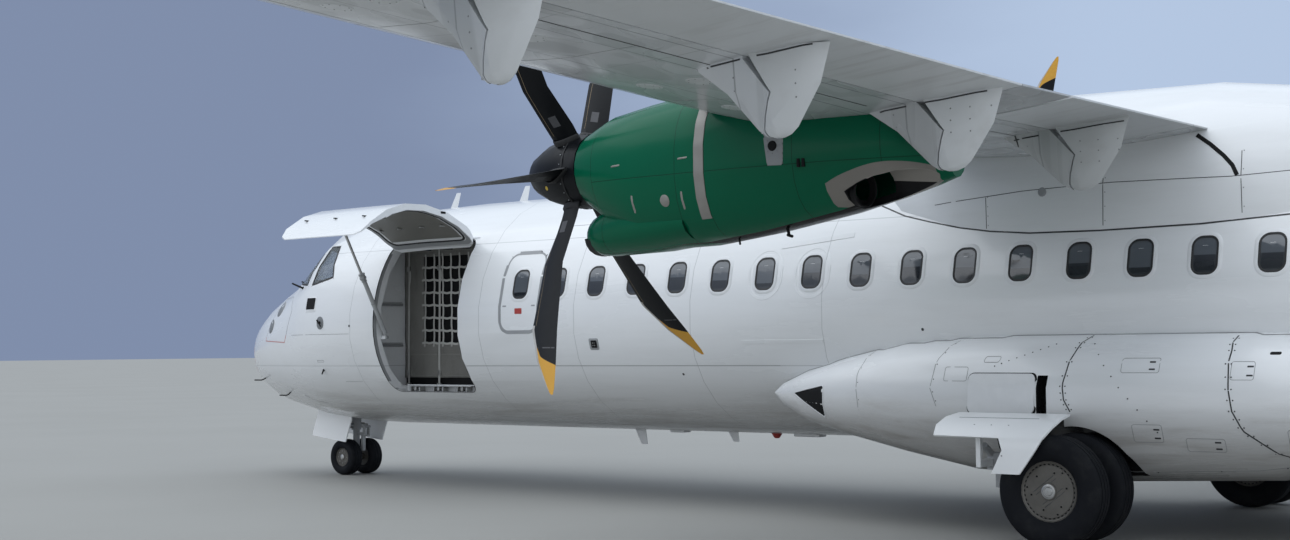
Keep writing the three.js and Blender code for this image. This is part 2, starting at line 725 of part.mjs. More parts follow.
const fairingFronts = [];
const wingCuts = [];
const FLAPS = [
  ['inner_flap', 1450, 3540, [2450]],
  ['outer_flap', 4285, FLAP_END_X, [4390, 6200, 8400]],
];
for (const [word, side] of SIDES) {
  for (const [name, from, to, fairings] of FLAPS) {
    wingCuts.push(behindPrism(side, from - RUN_GAP, to + 3 * RUN_GAP, FLAP_SHARE, 0));
    const fairingPieces = fairings.map((x) => flapFairing(side * x));
    for (const piece of fairingPieces) fairingFronts.push(piece.front);
    const flap = wingBlank.intersect(behindPrism(side, from, to, FLAP_SHARE, 12));
    add(`${name}_${word}`, join(flap, ...fairingPieces.map((piece) => piece.rear)), WHITE_SHELL);
  }
}
const AILERON_HALVES = [90, 64];
const aileronHinge = (side, gap) => {
  const ends = [AILERON.from + gap, AILERON.to - gap];
  return ends.map((x) => [
    side * x,
    yAt(chordStation(x, AILERON_SHARE)),
    chordHeight(x, AILERON_SHARE) + 14,
  ]);
};
const aileronCuts = [];
for (const [word, side] of SIDES) {
  aileronCuts.push(
    behindPrism(side, AILERON.from, AILERON.to, AILERON_SHARE, 0),
    cove(aileronHinge(side, 0), AILERON_HALVES),
  );
  add(
    `aileron_${word}`,
    turningSurface(
      wingBlank,
      behindPrism(
        side,
        AILERON.from + RUN_GAP,
        AILERON.to - RUN_GAP,
        AILERON_SHARE,
        ...AILERON_HALVES.map(behindHinge),
      ),
      aileronHinge(side, RUN_GAP),
      AILERON_HALVES,
    ),
    WHITE_SHELL,
  );
}
const wing = join(cut(wingBlank, ...wingCuts, ...aileronCuts), ...fairingFronts);
add('wing', wing, WHITE_ALLOY);

// Cabin, under the wing
const cabin = cut(hull(SECTION_ENDS.forward + SEAT_GAP, SECTION_ENDS.cabin), wingSpace);
add('cabin_section', cabin, WHITE_ALLOY);

// Fairing between the wing and the fuselage
const WING_FAIRING = [
  // station, half width, top, widest height, bottom, squareness
  [9800, 250, 3300, 3200, 2500, 2],
  [10200, 700, 3420, 3100, 2200, 2.2],
  [10800, 1090, 3620, 2780, 1800, 2.6],
  [11400, 1230, 3740, 2600, 1600, 3],
  [12200, 1282, 3770, 2500, 1500, 3.2],
  [13600, 1282, 3740, 2500, 1500, 3.2],
  [14600, 1235, 3600, 2560, 1600, 2.9],
  [15400, 1010, 3440, 2820, 1800, 2.5],
  [16100, 560, 3330, 3080, 2200, 2.1],
  [16500, 200, 3290, 3220, 2600, 2],
];
function tableRing(table, station, inset, sides, centreX = 0) {
  const [, halfWidth, top, middle, bottom, square = 2] = tableAt(table, station);
  const ring = [];
  for (let i = 0; i < sides; i += 1) {
    const angle = ((i + 0.5) / sides) * 2 * Math.PI;
    const [c, s] = [Math.cos(angle), Math.sin(angle)];
    const bend = (value) => Math.sign(value) * Math.abs(value) ** (2 / square);
    const height = s > 0 ? top - middle - inset : middle - bottom - inset;
    ring.push([centreX + (halfWidth - inset) * bend(c), yAt(station), middle + height * bend(s)]);
  }
  return ring;
}
const hullSpace = hull(7000, 20170, -SEAT_GAP);
const fairingBlank = loft(WING_FAIRING.map(([station]) => tableRing(WING_FAIRING, station, 0, 22)));
add('wing_fairing', cut(fairingBlank, wingSpace, hullSpace), WHITE_SHELL);

// Nacelles, engines and propellers
const NACELLE = [
  // station, half width, top, widest height, bottom, squareness
  [COWL_STATION, 308, 3298, 2990, 2682, 2],
  [9870, 358, 3352, 2988, 2624, 2],
  [10060, 398, 3412, 2975, 2500, 2.1],
  [10450, 426, 3470, 2955, 2325, 2.2],
  [11000, 434, 3530, 2950, 2335, 2.3],
  [11500, 428, 3560, 2960, 2395, 2.3],
  [12200, 385, 3480, 2980, 2505, 2.2],
  [12600, 300, 3400, 2990, 2590, 2.15],
  [12900, 215, 3330, 3000, 2665, 2.1],
  [13060, 155, 3290, 3010, 2712, 2],
];
const CHIN = [
  // the scoop below the front ring, in the same columns
  [9785, 165, 2590, 2460, 2322, 2.2],
  [9825, 196, 2622, 2465, 2304, 2.2],
  [9970, 244, 2690, 2480, 2296, 2.2],
  [10450, 330, 2760, 2520, 2308, 2.2],
  [10900, 340, 2720, 2530, 2355, 2.2],
];
const COWL = 50;
const ENGINE_BLOCK = { half: 290, from: 10080, to: 12050, low: 2690, high: 3190 };
const nacelleLoft = (x, inset, from, to, sides) => {
  const stations = NACELLE.map(([station]) => station).filter((s) => s > from + 90 && s < to - 90);
  return loft([from, ...stations, to].map((station) => tableRing(NACELLE, station, inset, sides, x)));
};
for (const [word, side] of SIDES) {
  const x = side * NACELLE_X;
  const space = nacelleLoft(x, COWL, COWL_STATION + COWL, 12560, 12);
  const shaftHole = rod([x, yAt(9700), HUB_Z], [x, yAt(9900), HUB_Z], 150, 150, 16);
  const chinIntake = slab(roundedOutline(x - 132, 2350, x + 132, 2568, 80, 2), 'y', yAt(9700), yAt(10000));
  const exhaust = rod(
    [x + side * 110, yAt(12330), 2665],
    [x + side * 250, yAt(13400), 2580],
    150,
    150,
    14,
  );
  const chin = loft(CHIN.map(([station]) => tableRing(CHIN, station, 0, 18, x)));
  const outside = join(nacelleLoft(x, 0, COWL_STATION, 13060, 22), chin);
  const shell = cut(outside, space, shaftHole, chinIntake, exhaust);
  add(`nacelle_${word}`, cut(shell, wingSpace), GREEN);
  const beam = (station) => box(x - 500, x + 500, yAt(station - 40), yAt(station + 40), 2880, 2960);
  const { half, from, to, low, high } = ENGINE_BLOCK;
  const block = join(
    box(x - half, x + half, yAt(from), yAt(to), low, high),
    beam(10500),
    beam(11500),
    rod([x, yAt(9930), HUB_Z], [x, yAt(from + 20), HUB_Z], 110, 150, 12),
  );
  const inner = nacelleLoft(x, COWL + SEAT_GAP, COWL_STATION + COWL + SEAT_GAP, 12550, 12);
  add(`engine_${word}`, cut(block.intersect(inner), wingSpace), ENGINE);
}

// Propeller: spinner and feathered, swept-back blades, made about the hub
const BLADE = [
  // radius share, chord, thickness share, sweep back, pitch past feather in degrees
  [0.13, 215, 0.42, 0, 21],
  [0.22, 238, 0.26, -12, 18],
  [0.42, 240, 0.12, -60, 11],
  [0.62, 262, 0.075, -5, 5],
  [0.72, 282, 0.06, 22, 3],
  [0.86, 200, 0.05, 138, 0],
  [0.975, 70, 0.045, 268, -2],
  [1, 22, 0.08, 300, -2],
];
function bladeLoft() {
  const ring = foilRing(3, 0.02);
  return loft(
    BLADE.map(([share, chord, thick, sweep, pitch]) => {
      const turn = THREE.MathUtils.degToRad(pitch);
      return ring.map(({ t, skin }) => {
        const along = (t - 0.4) * chord;
        const across = chord * skin(thick);
        return [
          share * PROP_R,
          sweep + along * Math.cos(turn) - across * Math.sin(turn),
          along * Math.sin(turn) + across * Math.cos(turn),
        ];
      });
    }),
  );
}
function spinnerSolid() {
  const profile = [
    [0, -540],
    [75, -520],
    [160, -430],
    [240, -270],
    [290, -80],
    [SPINNER_R, 60],
    [SPINNER_R, COWL_STATION - HUB_STATION - RUN_GAP],
    [85, COWL_STATION - HUB_STATION - RUN_GAP],
    [85, 350 - SEAT_GAP],
    [0, 350 - SEAT_GAP],
  ].map(([radius, along]) => new THREE.Vector2(radius, along));
  return solidOf(new THREE.LatheGeometry(profile, 16));
}
for (const [word, side] of SIDES) {
  const blade = geometryOf(bladeLoft());
  const blades = [];
  for (let i = 0; i < BLADES; i += 1) {
    const turned = blade.clone();
    turned.rotateY(BLADE_PHASE[word] + (i * 2 * Math.PI) / BLADES);
    blades.push(solidOf(turned));
  }
  const hub = [side * NACELLE_X, yAt(HUB_STATION), HUB_Z];
  add(`propeller_${word}`, join(spinnerSolid(), ...blades), BLACK, hub);
}

// Sponsons over the main gear
const SPONSON = [
  // station, half width, top, widest height, bottom, squareness, centre x
  [9560, 14, 1144, 1130, 1116, 2, 1330],
  [9680, 95, 1235, 1128, 1010, 2, 1325],
  [9950, 205, 1345, 1115, 872, 2, 1310],
  [10400, 350, 1475, 1100, 758, 2.05, 1285],
  [11000, 500, 1595, 1090, 628, 2.15, 1260],
  [11700, 620, 1645, 1080, 500, 2.25, 1240],
  [12900, 700, 1660, 1070, 442, 2.3, 1230],
  [14300, 680, 1650, 1070, 505, 2.25, 1220],
  [15200, 570, 1590, 1070, 640, 2.15, 1200],
  [16200, 380, 1450, 1065, 790, 2.05, 1150],
  [16900, 210, 1290, 1060, 900, 2, 1090],
  [17400, 30, 1090, 1060, 1030, 2, 1060],
];
const GEAR_POCKET = { inner: 1330, from: 12120, to: 12760, top: 985, archR: 480 };
for (const [word, side] of SIDES) {
  const rings = SPONSON.map(([station]) => {
    const row = tableAt(SPONSON, station);
    return tableRing(SPONSON, station, 0, 16, side * row[6]);
  });
  const [pocketFront, pocketRear] = [yAt(GEAR_POCKET.from), yAt(GEAR_POCKET.to)];
  const pocket = join(
    box(side * GEAR_POCKET.inner, side * 2200, pocketFront, pocketRear, 200, GEAR_POCKET.top),
    rod(
      [side * 1560, yAt(MAIN_STATION), MAIN_TYRE.radius],
      [side * 2300, yAt(MAIN_STATION), MAIN_TYRE.radius],
      GEAR_POCKET.archR,
      GEAR_POCKET.archR,
      20,
    ),
    box(side * 1700, side * 2200, yAt(12515), yAt(12605), 900, 1310),
  );
  const body = cut(loft(rings), hullSpace, pocket);
  add(`sponson_${word}`, body, WHITE_SHELL);
}

// Main gear: fixed leg, trailing arm, its door, and twin wheels on one turning axle
const AXLE_R = 45;
const ARM_HALF = 62;
const KNEE = { station: 12330, z: 500 };
function latheAboutX(profile, sides) {
  const geometry = new THREE.LatheGeometry(
    profile.map(([radius, along]) => new THREE.Vector2(radius, along)),
    sides,
  );
  geometry.rotateZ(-Math.PI / 2);
  return solidOf(geometry);
}
function tyreSolid({ radius, width, rim }, sides) {
  const half = width / 2;
  const profile = [
    [rim, -half * 0.75],
    [radius * 0.86, -half],
    [radius, -half * 0.45],
    [radius, half * 0.45],
    [radius * 0.86, half],
    [rim, half * 0.75],
    [rim, -half * 0.75],
  ];
  return latheAboutX(profile, sides);
}
function rimPair({ width, apart, rim }, axleR, legHalf, sides) {
  const half = width / 2;
  const outer = apart / 2 + half * 0.7;
  const inner = apart / 2 - half * 0.7;
  const r = rim - SEAT_GAP;
  const rimHalf = (sign) =>
    latheAboutX(
      [
        [0, sign * (outer - 28)],
        [r * 0.84, sign * (outer - 28)],
        [r, sign * outer],
        [r, sign * inner],
        [0, sign * inner],
      ],
      sides,
    );
  const collar = (sign) =>
    rod([sign * (legHalf + SEAT_GAP), 0, 0], [sign * (inner + 20), 0, 0], axleR * 1.5, axleR * 1.5, 12);
  const axle = rod([-inner - 60, 0, 0], [inner + 60, 0, 0], axleR, axleR, 12);
  return join(rimHalf(1), rimHalf(-1), axle, collar(1), collar(-1));
}

for (const [word, side] of SIDES) {
  const x = side * MAIN_X;
  const axleY = yAt(MAIN_STATION);
  const axleZ = MAIN_TYRE.radius;
  const arm = join(
    slab(
      [
        [yAt(KNEE.station) - 70, KNEE.z - 75],
        [axleY, axleZ - 85],
        [axleY, axleZ + 85],
        [yAt(KNEE.station) - 70, KNEE.z + 80],
      ],
      'x',
      x - ARM_HALF,
      x + ARM_HALF,
    ),
    rod([x - ARM_HALF, axleY, axleZ], [x + ARM_HALF, axleY, axleZ], 85, 85, 12),
  );
  const stayY = yAt(KNEE.station - 120);
  const leg = join(
    cut(arm, rod([x - 100, axleY, axleZ], [x + 100, axleY, axleZ], AXLE_R + 3, AXLE_R + 3, 12)),
    rod([side * 1760, yAt(KNEE.station), 1100], [x, yAt(KNEE.station), KNEE.z], 88, 78, 12),
    rod([side * 1500, yAt(KNEE.station), 1100], [side * 1800, yAt(KNEE.station), 900], 60, 60, 10),
    rod([side * 1800, yAt(12560), 1100], [x, yAt(12400), 640], 44, 40, 10),
    rod([x - side * 40, stayY, 640], [x + side * 150, stayY, 760], 30, 30, 8),
    box(x - 50, x + 50, yAt(KNEE.station - 150), yAt(KNEE.station), 560, 700),
  );
  const pocketRoof = box(-2500, 2500, yAt(11500), yAt(13500), GEAR_POCKET.top - SEAT_GAP, 1500);
  add(`main_leg_${word}`, cut(leg, pocketRoof), STEEL);
  const tyre = tyreSolid(MAIN_TYRE, 24);
  for (const [place, offset] of [['outer', 1], ['inner', -1]]) {
    const tyreX = x + (side * offset * MAIN_TYRE.apart) / 2;
    add(`main_tyre_${place}_${word}`, tyre, RUBBER, [tyreX, axleY, axleZ]);
  }
  add(`main_wheels_${word}`, rimPair(MAIN_TYRE, AXLE_R, ARM_HALF, 24), WHEEL, [x, axleY, axleZ]);
}

// Leg doors: a curved plate over the outer wheel's front, made as strips from the top edge down
const LEG_DOOR = [
  // x, height, front station, rear station
  [1985, 1012, 11870, 12850],
  [2200, 985, 11870, 12885],
  [2345, 925, 11860, 12875],
  [2425, 845, 11880, 12835],
  [2432, 835, 12460, 12830],
  [2458, 740, 12500, 12780],
  [2462, 560, 12410, 12650],
];
for (const [word, side] of SIDES) {
  const thick = 16;
  const rings = LEG_DOOR.map(([x, z, front, rear], i) => {
    const [xa, za] = LEG_DOOR[Math.max(i - 1, 0)];
    const [xb, zb] = LEG_DOOR[Math.min(i + 1, LEG_DOOR.length - 1)];
    const size = Math.hypot(xb - xa, zb - za);
    const inward = [((zb - za) / size) * thick, (-(xb - xa) / size) * thick];
    return [
      [side * x, yAt(front), z],
      [side * x, yAt(rear), z],
      [side * (x + inward[0]), yAt(rear), z + inward[1]],
      [side * (x + inward[0]), yAt(front), z + inward[1]],
    ];
  });
  const bracketX = MAIN_X + 50 + SEAT_GAP;
  const bracket = join(
    box(side * bracketX, side * 2300, yAt(KNEE.station - 140), yAt(KNEE.station - 100), 590, 650),
    box(side * 2260, side * 2300, yAt(KNEE.station - 140), yAt(KNEE.station - 100), 590, 940),
  );
  add(`main_leg_door_${word}`, join(loft(rings), bracket), WHITE_SHELL);
}

// Nose gear
const NOSE_LEG = { r: 62, low: 560, pistonR: 42 };
{
  const y = yAt(NOSE_GEAR_STATION);
  const roof = NOSE_BAY.top - SEAT_GAP;
  add(
    'nose_leg',
    join(
      rod([0, y, NOSE_LEG.low], [0, y, roof], NOSE_LEG.r, NOSE_LEG.r, 14),
      rod([0, y, 700], [0, y, 780], NOSE_LEG.r + 28, NOSE_LEG.r + 28, 14),
      box(-150, 150, y - 45, y + 45, roof - 60, roof),
      rod([0, y + 20, 660], [0, yAt(2400), roof - 20], 26, 26, 8),
      box(-60, 60, yAt(2360), yAt(2440), roof - 50, roof),
    ),
    STEEL,
  );
  const axleZ = NOSE_TYRE.radius;
  const fork = join(
    rod([0, y, axleZ], [0, y, NOSE_LEG.low - SEAT_GAP], NOSE_LEG.pistonR, NOSE_LEG.pistonR, 14),
    rod([-48, y, axleZ], [48, y, axleZ], 52, 52, 12),
    box(-22, 22, y + 30, y + 150, 300, 340),
    box(-22, 22, y + 110, y + 150, 300, 520),
    box(-22, 22, y + 30, y + 150, 490, 530),
  );
  add('nose_fork', cut(fork, rod([-100, y, axleZ], [100, y, axleZ], 32, 32, 12)), STEEL);
  const tyre = tyreSolid(NOSE_TYRE, 16);
  for (const [word, side] of SIDES) {
    add(`nose_tyre_${word}`, tyre, RUBBER, [(side * NOSE_TYRE.apart) / 2, y, axleZ]);
  }
  add('nose_wheels', rimPair(NOSE_TYRE, 30, 48, 16), WHEEL, [0, y, axleZ]);
  const doorOutline = [
    [yAt(1650), 1000],
    [yAt(2350), 1000],
    [yAt(2330), 700],
    [yAt(2215), 420],
    [yAt(1575), 492],
    [yAt(1690), 780],
  ];
  for (const [word, side] of SIDES) {
    const panel = slab(doorOutline, 'x', side * 292, side * 308);
    add(`nose_gear_door_${word}`, cut(panel, hull(1000, 3000, -SEAT_GAP)), WHITE_SHELL);
  }
}

// Rear section with the vestibule, the passenger door with its steps, and the service door
const rearHull = hull(SECTION_ENDS.cabin + SEAT_GAP, SECTION_ENDS.rear);
const rearShell = cut(rearHull, vestibuleSpace);
const PASSENGER_HINGE = {
  x: skinX(PASSENGER_OPENING.from, PASSENGER_OPENING.low) + 8,
  z: PASSENGER_OPENING.low - 2,
};
const PASSENGER_BARRELS = [PASSENGER_OPENING.from + 170, PASSENGER_OPENING.to - 170, 5];
const passengerRelief = hingeRelief(PASSENGER_HINGE, PASSENGER_OPENING.from, PASSENGER_OPENING.to);
const rearOpenings = [openingPrism(PASSENGER_OPENING, 1, 0), openingPrism(SERVICE_OPENING, -1, 0)];
add(
  'rear_section',
  join(
    cut(rearShell, ...rearOpenings, passengerRelief),
    barrelRow(PASSENGER_HINGE, ...PASSENGER_BARRELS, true, -60),
  ),
  WHITE_ALLOY,
);
const stair = (i) => {
  const z = PASSENGER_OPENING.low + 330 + i * 300;
  const x = skinX(21070, z) - DOOR_THICK;
  return box(x - 160, x + 30, yAt(PASSENGER_OPENING.from + 110), yAt(PASSENGER_OPENING.to - 110), z, z + 30);
};
add(
  'passenger_door',
  join(
    cut(doorPanel(rearHull, 20470, 21670, PASSENGER_OPENING, 1), passengerRelief),
    barrelRow(PASSENGER_HINGE, ...PASSENGER_BARRELS, false, 60),
    ...[0, 1, 2, 3].map(stair),
  ),
  WHITE,
);
add('service_door', rearShell.intersect(openingPrism(SERVICE_OPENING, -1, SEAT_GAP)), WHITE_ALLOY);
const tailHull = hull(SECTION_ENDS.rear + SEAT_GAP, SECTION_ENDS.tail);
add('tail_cone', tailHull, WHITE_ALLOY);

// Tailplane on top of the fin
const TAILPLANE = [
  // x, leading edge station, its height, chord, trailing edge height, thickness
  [0, 25270, 7480, 2066, 7480, 215],
  [3500, 25990, 7480, 1190, 7480, 125],
  [3655, 26250, 7480, 800, 7480, 40],
];
const TAIL_HINGE_SHARE = 0.66;
const ELEVATOR = { from: 190, to: 3440 };
const tailAt = (x) => {
  const t = x / TAILPLANE[1][0];
  const [a, b] = TAILPLANE;
  return a.map((value, k) => value + t * (b[k] - value));
};
const tailBlank = wingLoft(TAILPLANE, 0, 6);
const bulletRing = ([station, half, rise]) => {
  const ring = [];
  for (let i = 0; i < 12; i += 1) {
    const angle = ((i + 0.5) / 12) * 2 * Math.PI;
    ring.push([half * Math.cos(angle), yAt(station), 7480 + rise * Math.sin(angle)]);
  }
  return ring;
};
const BULLET = [
  // station, half width, half height
  [24870, 8, 8],
  [25020, 70, 75],
  [25420, 118, 140],
  [25870, 132, 170 / Math.sin((Math.PI / 12) * 5)],
  [26320, 105, 130],
  [26590, 75, 95],
];
const elevatorHinge = (side, gap) => {
  const ends = [ELEVATOR.from + gap, ELEVATOR.to - gap];
  return ends.map((x) => {
    const [, station, height, chord] = tailAt(x);
    return [side * x, yAt(station + TAIL_HINGE_SHARE * chord), height];
  });
};
const behindTail = (side, from, to, shift, shiftTo) => {
  const hinge = (x) => tailAt(x)[1] + TAIL_HINGE_SHARE * tailAt(x)[3];
  const outline = [
    [side * from, yAt(hinge(from) + shift)],
    [side * to, yAt(hinge(to) + shiftTo)],
    [side * to, yAt(27570)],
    [side * from, yAt(27570)],
  ];
  return slab(outline, 'z', 7000, 8000);
};
const ELEVATOR_HALVES = [71, 43];
const tailCuts = [];
for (const [word, side] of SIDES) {
  tailCuts.push(
    behindTail(side, ELEVATOR.from, ELEVATOR.to, 0, 0),
    cove(elevatorHinge(side, 0), ELEVATOR_HALVES),
  );
  add(
    `elevator_${word}`,
    turningSurface(
      tailBlank,
      behindTail(side, ELEVATOR.from + RUN_GAP, ELEVATOR.to - RUN_GAP, ...ELEVATOR_HALVES.map(behindHinge)),
      elevatorHinge(side, RUN_GAP),
      ELEVATOR_HALVES,
    ),
    WHITE_SHELL,
  );
}
const tailplane = join(cut(tailBlank, ...tailCuts), loft(BULLET.map(bulletRing)));
add('tailplane', tailplane, WHITE_SHELL);

// Fin and rudder
const FIN = [
  // height, leading edge station, trailing edge station, thickness
  [2950, 22710, 26585, 420],
  [3350, 22950, 26625, 395],
  [7480, 25395, 27035, 185],
];
const finAt = (z) => {
  const [, a, b] = FIN;
  const t = (z - a[0]) / (b[0] - a[0]);
  return a.map((value, k) => value + t * (b[k] - value));
};
const finRing = foilRing(6, 0);
const finBlank = loft(
  FIN.map(([z, front, rear, thick]) => {
    const chord = rear - front;
    return finRing.map(({ t, skin }) => [chord * skin(thick / chord), yAt(front + t * chord), z]);
  }),
);
const RUDDER = { low: 3330, high: 7050, share: 0.7 };
const RUDDER_HALVES = [119, 62];
const rudderHinge = (gap) =>
  [RUDDER.low + gap, RUDDER.high - gap].map((z) => {
    const [, front, rear] = finAt(z);
    return [0, yAt(front + RUDDER.share * (rear - front)), z];
  });
const behindFin = (gap, shift, shiftTop) => {
  const [a, b] = rudderHinge(gap);
  const outline = [
    [a[1] + shift, a[2]],
    [a[1] + 2500, a[2]],
    [b[1] + 2500, b[2]],
    [b[1] + shiftTop, b[2]],
  ];
  return slab(outline, 'x', -400, 400);
};
const dorsal = loft(
  [
    [20520, 3240, 12],
    [21670, 3560, 45],
    [22670, 3900, 70],
    [23470, 4220, 90],
  ].map(([station, top, half]) => [
    [-half, yAt(station), 3050],
    [half, yAt(station), 3050],
    [half * 0.8, yAt(station), top - 60],
    [0, yAt(station), top],
    [-half * 0.8, yAt(station), top - 60],
  ]),
);
const fin = cut(
  join(
    cut(finBlank, behindFin(0, 0, 0), cove(rudderHinge(0), RUDDER_HALVES)),
    dorsal,
  ),
  hull(SECTION_ENDS.cabin, SECTION_ENDS.rear, -SEAT_GAP),
  hull(SECTION_ENDS.rear, SECTION_ENDS.tail, -SEAT_GAP),
  wingLoft(grown(TAILPLANE), 0, 6),
  loft(BULLET.map(([station, half, rise]) => bulletRing([station, half + SEAT_GAP, rise + SEAT_GAP]))),
);
add('fin', fin, WHITE_SHELL);
add(
  'rudder',
  turningSurface(
    finBlank,
    behindFin(RUN_GAP, ...RUDDER_HALVES.map(behindHinge)),
    rudderHinge(RUN_GAP),
    RUDDER_HALVES,
  ),
  WHITE_SHELL,
);

export default group;
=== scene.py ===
# %% [markdown]
# # A parked turboprop airliner
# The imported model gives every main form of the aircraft: hull, wing, nacelles, propellers, doors and gear.
# This lesson dresses it. Each step names a piece or a finish of the real machine, says how it could be made
# in Blender, and why one way was taken. Lengths are metres, the nose points to -Y and the left side is +X.

import math

import bmesh
import bpy
from mathutils import Matrix, Vector
from mathutils.bvhtree import BVHTree


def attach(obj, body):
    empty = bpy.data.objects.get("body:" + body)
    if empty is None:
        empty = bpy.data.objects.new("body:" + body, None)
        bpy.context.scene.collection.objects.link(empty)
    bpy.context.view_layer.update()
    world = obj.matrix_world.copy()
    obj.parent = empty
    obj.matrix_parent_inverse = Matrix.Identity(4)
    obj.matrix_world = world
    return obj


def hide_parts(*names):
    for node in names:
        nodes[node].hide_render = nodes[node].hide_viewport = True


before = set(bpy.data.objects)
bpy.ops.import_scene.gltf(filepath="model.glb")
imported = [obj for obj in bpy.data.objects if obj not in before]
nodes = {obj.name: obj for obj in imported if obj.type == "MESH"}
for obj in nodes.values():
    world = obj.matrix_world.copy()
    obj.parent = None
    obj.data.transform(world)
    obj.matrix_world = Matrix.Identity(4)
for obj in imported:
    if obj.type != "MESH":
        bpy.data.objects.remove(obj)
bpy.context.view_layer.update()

DATUM = -13.753  # Y of station 0; stations are metres aft of a point just ahead of the nose
SIDES = (("left", 1), ("right", -1))


def at_station(station):
    return station + DATUM


# %% [markdown]
# ## Camera
# The photograph was taken from under the left wing, looking forward past the nacelle. Its lens and place
# were worked out from the wheelbase, the window pitch and the fuselage width, so they are plain numbers
# here. A matrix of the camera's right, up and backward directions says how it is turned, its small roll
# included.

# %% Camera
EYE = Vector((14.4947, 5.2128, 1.5502))
YAW, PITCH, ROLL = 0.6954, 0.0459, -0.0088
LENS_SHARE = 1721.4555 / 1290  # focal length over the picture's width

forward = Vector((-math.cos(YAW) * math.cos(PITCH), -math.sin(YAW) * math.cos(PITCH), math.sin(PITCH)))
level = forward.cross(Vector((0, 0, 1))).normalized()
upright = level.cross(forward)
right = level * math.cos(ROLL) + upright * math.sin(ROLL)
up = upright * math.cos(ROLL) - level * math.sin(ROLL)

camera = bpy.data.objects.new("camera", bpy.data.cameras.new("camera"))
bpy.context.scene.collection.objects.link(camera)
camera.matrix_world = Matrix.Translation(EYE) @ Matrix((right, up, -forward)).transposed().to_4x4()
camera.data.sensor_width = 36
camera.data.lens = 36 * LENS_SHARE
camera.data.clip_start = 0.05
camera.data.clip_end = 900
bpy.context.scene.camera = camera
print("lens", round(camera.data.lens, 2), "mm")

# %% [markdown]
# ## Shader maths
# A finish is a short sum: a base colour, darker along a seam, greyer where dirt runs. Written with nodes
# that is a page of links. So one small class wraps a node's socket and turns Python's operators into Math
# nodes, and its method node adds any other kind.


# %% Socket maths
class Socket:
    """A socket of a material's node tree, for use in Python expressions."""

    def __init__(self, tree, socket):
        self.tree = tree
        self.socket = socket

    def node(self, kind, settings=None, inputs=None, out=0):
        made = self.tree.nodes.new(kind)
        for name, value in (settings or {}).items():
            setattr(made, name, value)
        for key, value in (inputs or {}).items():
            if isinstance(value, Socket):
                self.tree.links.new(value.socket, made.inputs[key])
            else:
                made.inputs[key].default_value = value
        return Socket(self.tree, made.outputs[out])

    def math(self, operation, *others):
        return self.node("ShaderNodeMath", {"operation": operation}, dict(enumerate((self, *others))))

    def __add__(self, other):
        return self.math("ADD", other)

    __radd__ = __add__

    def __mul__(self, other):
        return self.math("MULTIPLY", other)

    __rmul__ = __mul__

    def __sub__(self, other):
        return self.math("SUBTRACT", other)

    def __rsub__(self, other):
        return self.math("MULTIPLY", -1).math("ADD", other)

    def __truediv__(self, other):
        return self.math("DIVIDE", other)

    def __pow__(self, other):
        return self.math("POWER", other)

    def __abs__(self):
        return self.math("ABSOLUTE")

    def __lt__(self, other):
        return self.math("LESS_THAN", other)

    def __gt__(self, other):
        return self.math("GREATER_THAN", other)

    def __or__(self, other):
        return self.math("MAXIMUM", other)

    def __and__(self, other):
        return self.math("MINIMUM", other)


def fade(value, low, high):
    """0 below low, 1 above high, with a smooth ramp between."""
    span = {"From Min": low, "From Max": high, "To Min": 0.0, "To Max": 1.0, "Value": value}
    return value.node("ShaderNodeMapRange", {"interpolation_type": "SMOOTHSTEP"}, span)


def near(value, place, half):
    """1 on a thin line at place, fading out over its half width."""
    return 1 - fade(abs(value - place), half * 0.5, half)


def near_any(value, places, half):
    masks = [near(value, place, half) for place in places]
    total = masks[0]
    for mask in masks[1:]:
        total = total | mask
    return total


def blend_colour(mask, first, second):
    """The first colour where the mask is 0 and the second where it is 1."""
    return mask.node("ShaderNodeMix", {"data_type": "RGBA"}, {0: mask, 6: first, 7: second}, 2)


def stretched(point, x, y, z):
    return point.node("ShaderNodeVectorMath", {"operation": "MULTIPLY"}, {0: point, 1: (x, y, z)})


def grain(point, scale, detail=3.0, rough=0.55):
    inputs = {"Vector": point, "Scale": scale, "Detail": detail, "Roughness": rough}
    return point.node("ShaderNodeTexNoise", None, inputs)


def parts_of(point):
    split = point.tree.nodes.new("ShaderNodeSeparateXYZ")
    point.tree.links.new(point.socket, split.inputs[0])
    return [Socket(point.tree, out) for out in split.outputs]


def bump(height, distance, strength=1.0):
    return height.node("ShaderNodeBump", None, {"Strength": strength, "Distance": distance, "Height": height})


def new_finish(name, recipe, fixed):
    """A material: recipe(point) gives the sockets that vary over the surface, fixed the constant ones."""
    material = bpy.data.materials.new(name)
    material.use_nodes = True
    tree = material.node_tree
    shader = tree.nodes["Principled BSDF"]
    for socket, value in fixed.items():
        shader.inputs[socket].default_value = value
    place = tree.nodes.new("ShaderNodeTexCoord")
    for socket, value in recipe(Socket(tree, place.outputs["Object"])).items():
        tree.links.new(value.socket, shader.inputs[socket])
    return material


# %% [markdown]
# ## White paint
# The hull is glossy white polyurethane over sheets that meet in thin sealed seams. Up close it is never one
# white: sheets differ by a shade, streaks of dirt run back along the belly, and the seams hold grey. Below
# the belly line the white is also painted darker, as painted shade. Images could hold all that, but Object
# coordinates are metres on this model, so seams go in by station and height.

# %% White paint
WHITE = (0.80, 0.815, 0.83, 1)
SEAM_GREY = (0.30, 0.31, 0.32, 1)
DIRT = (0.30, 0.28, 0.255, 1)


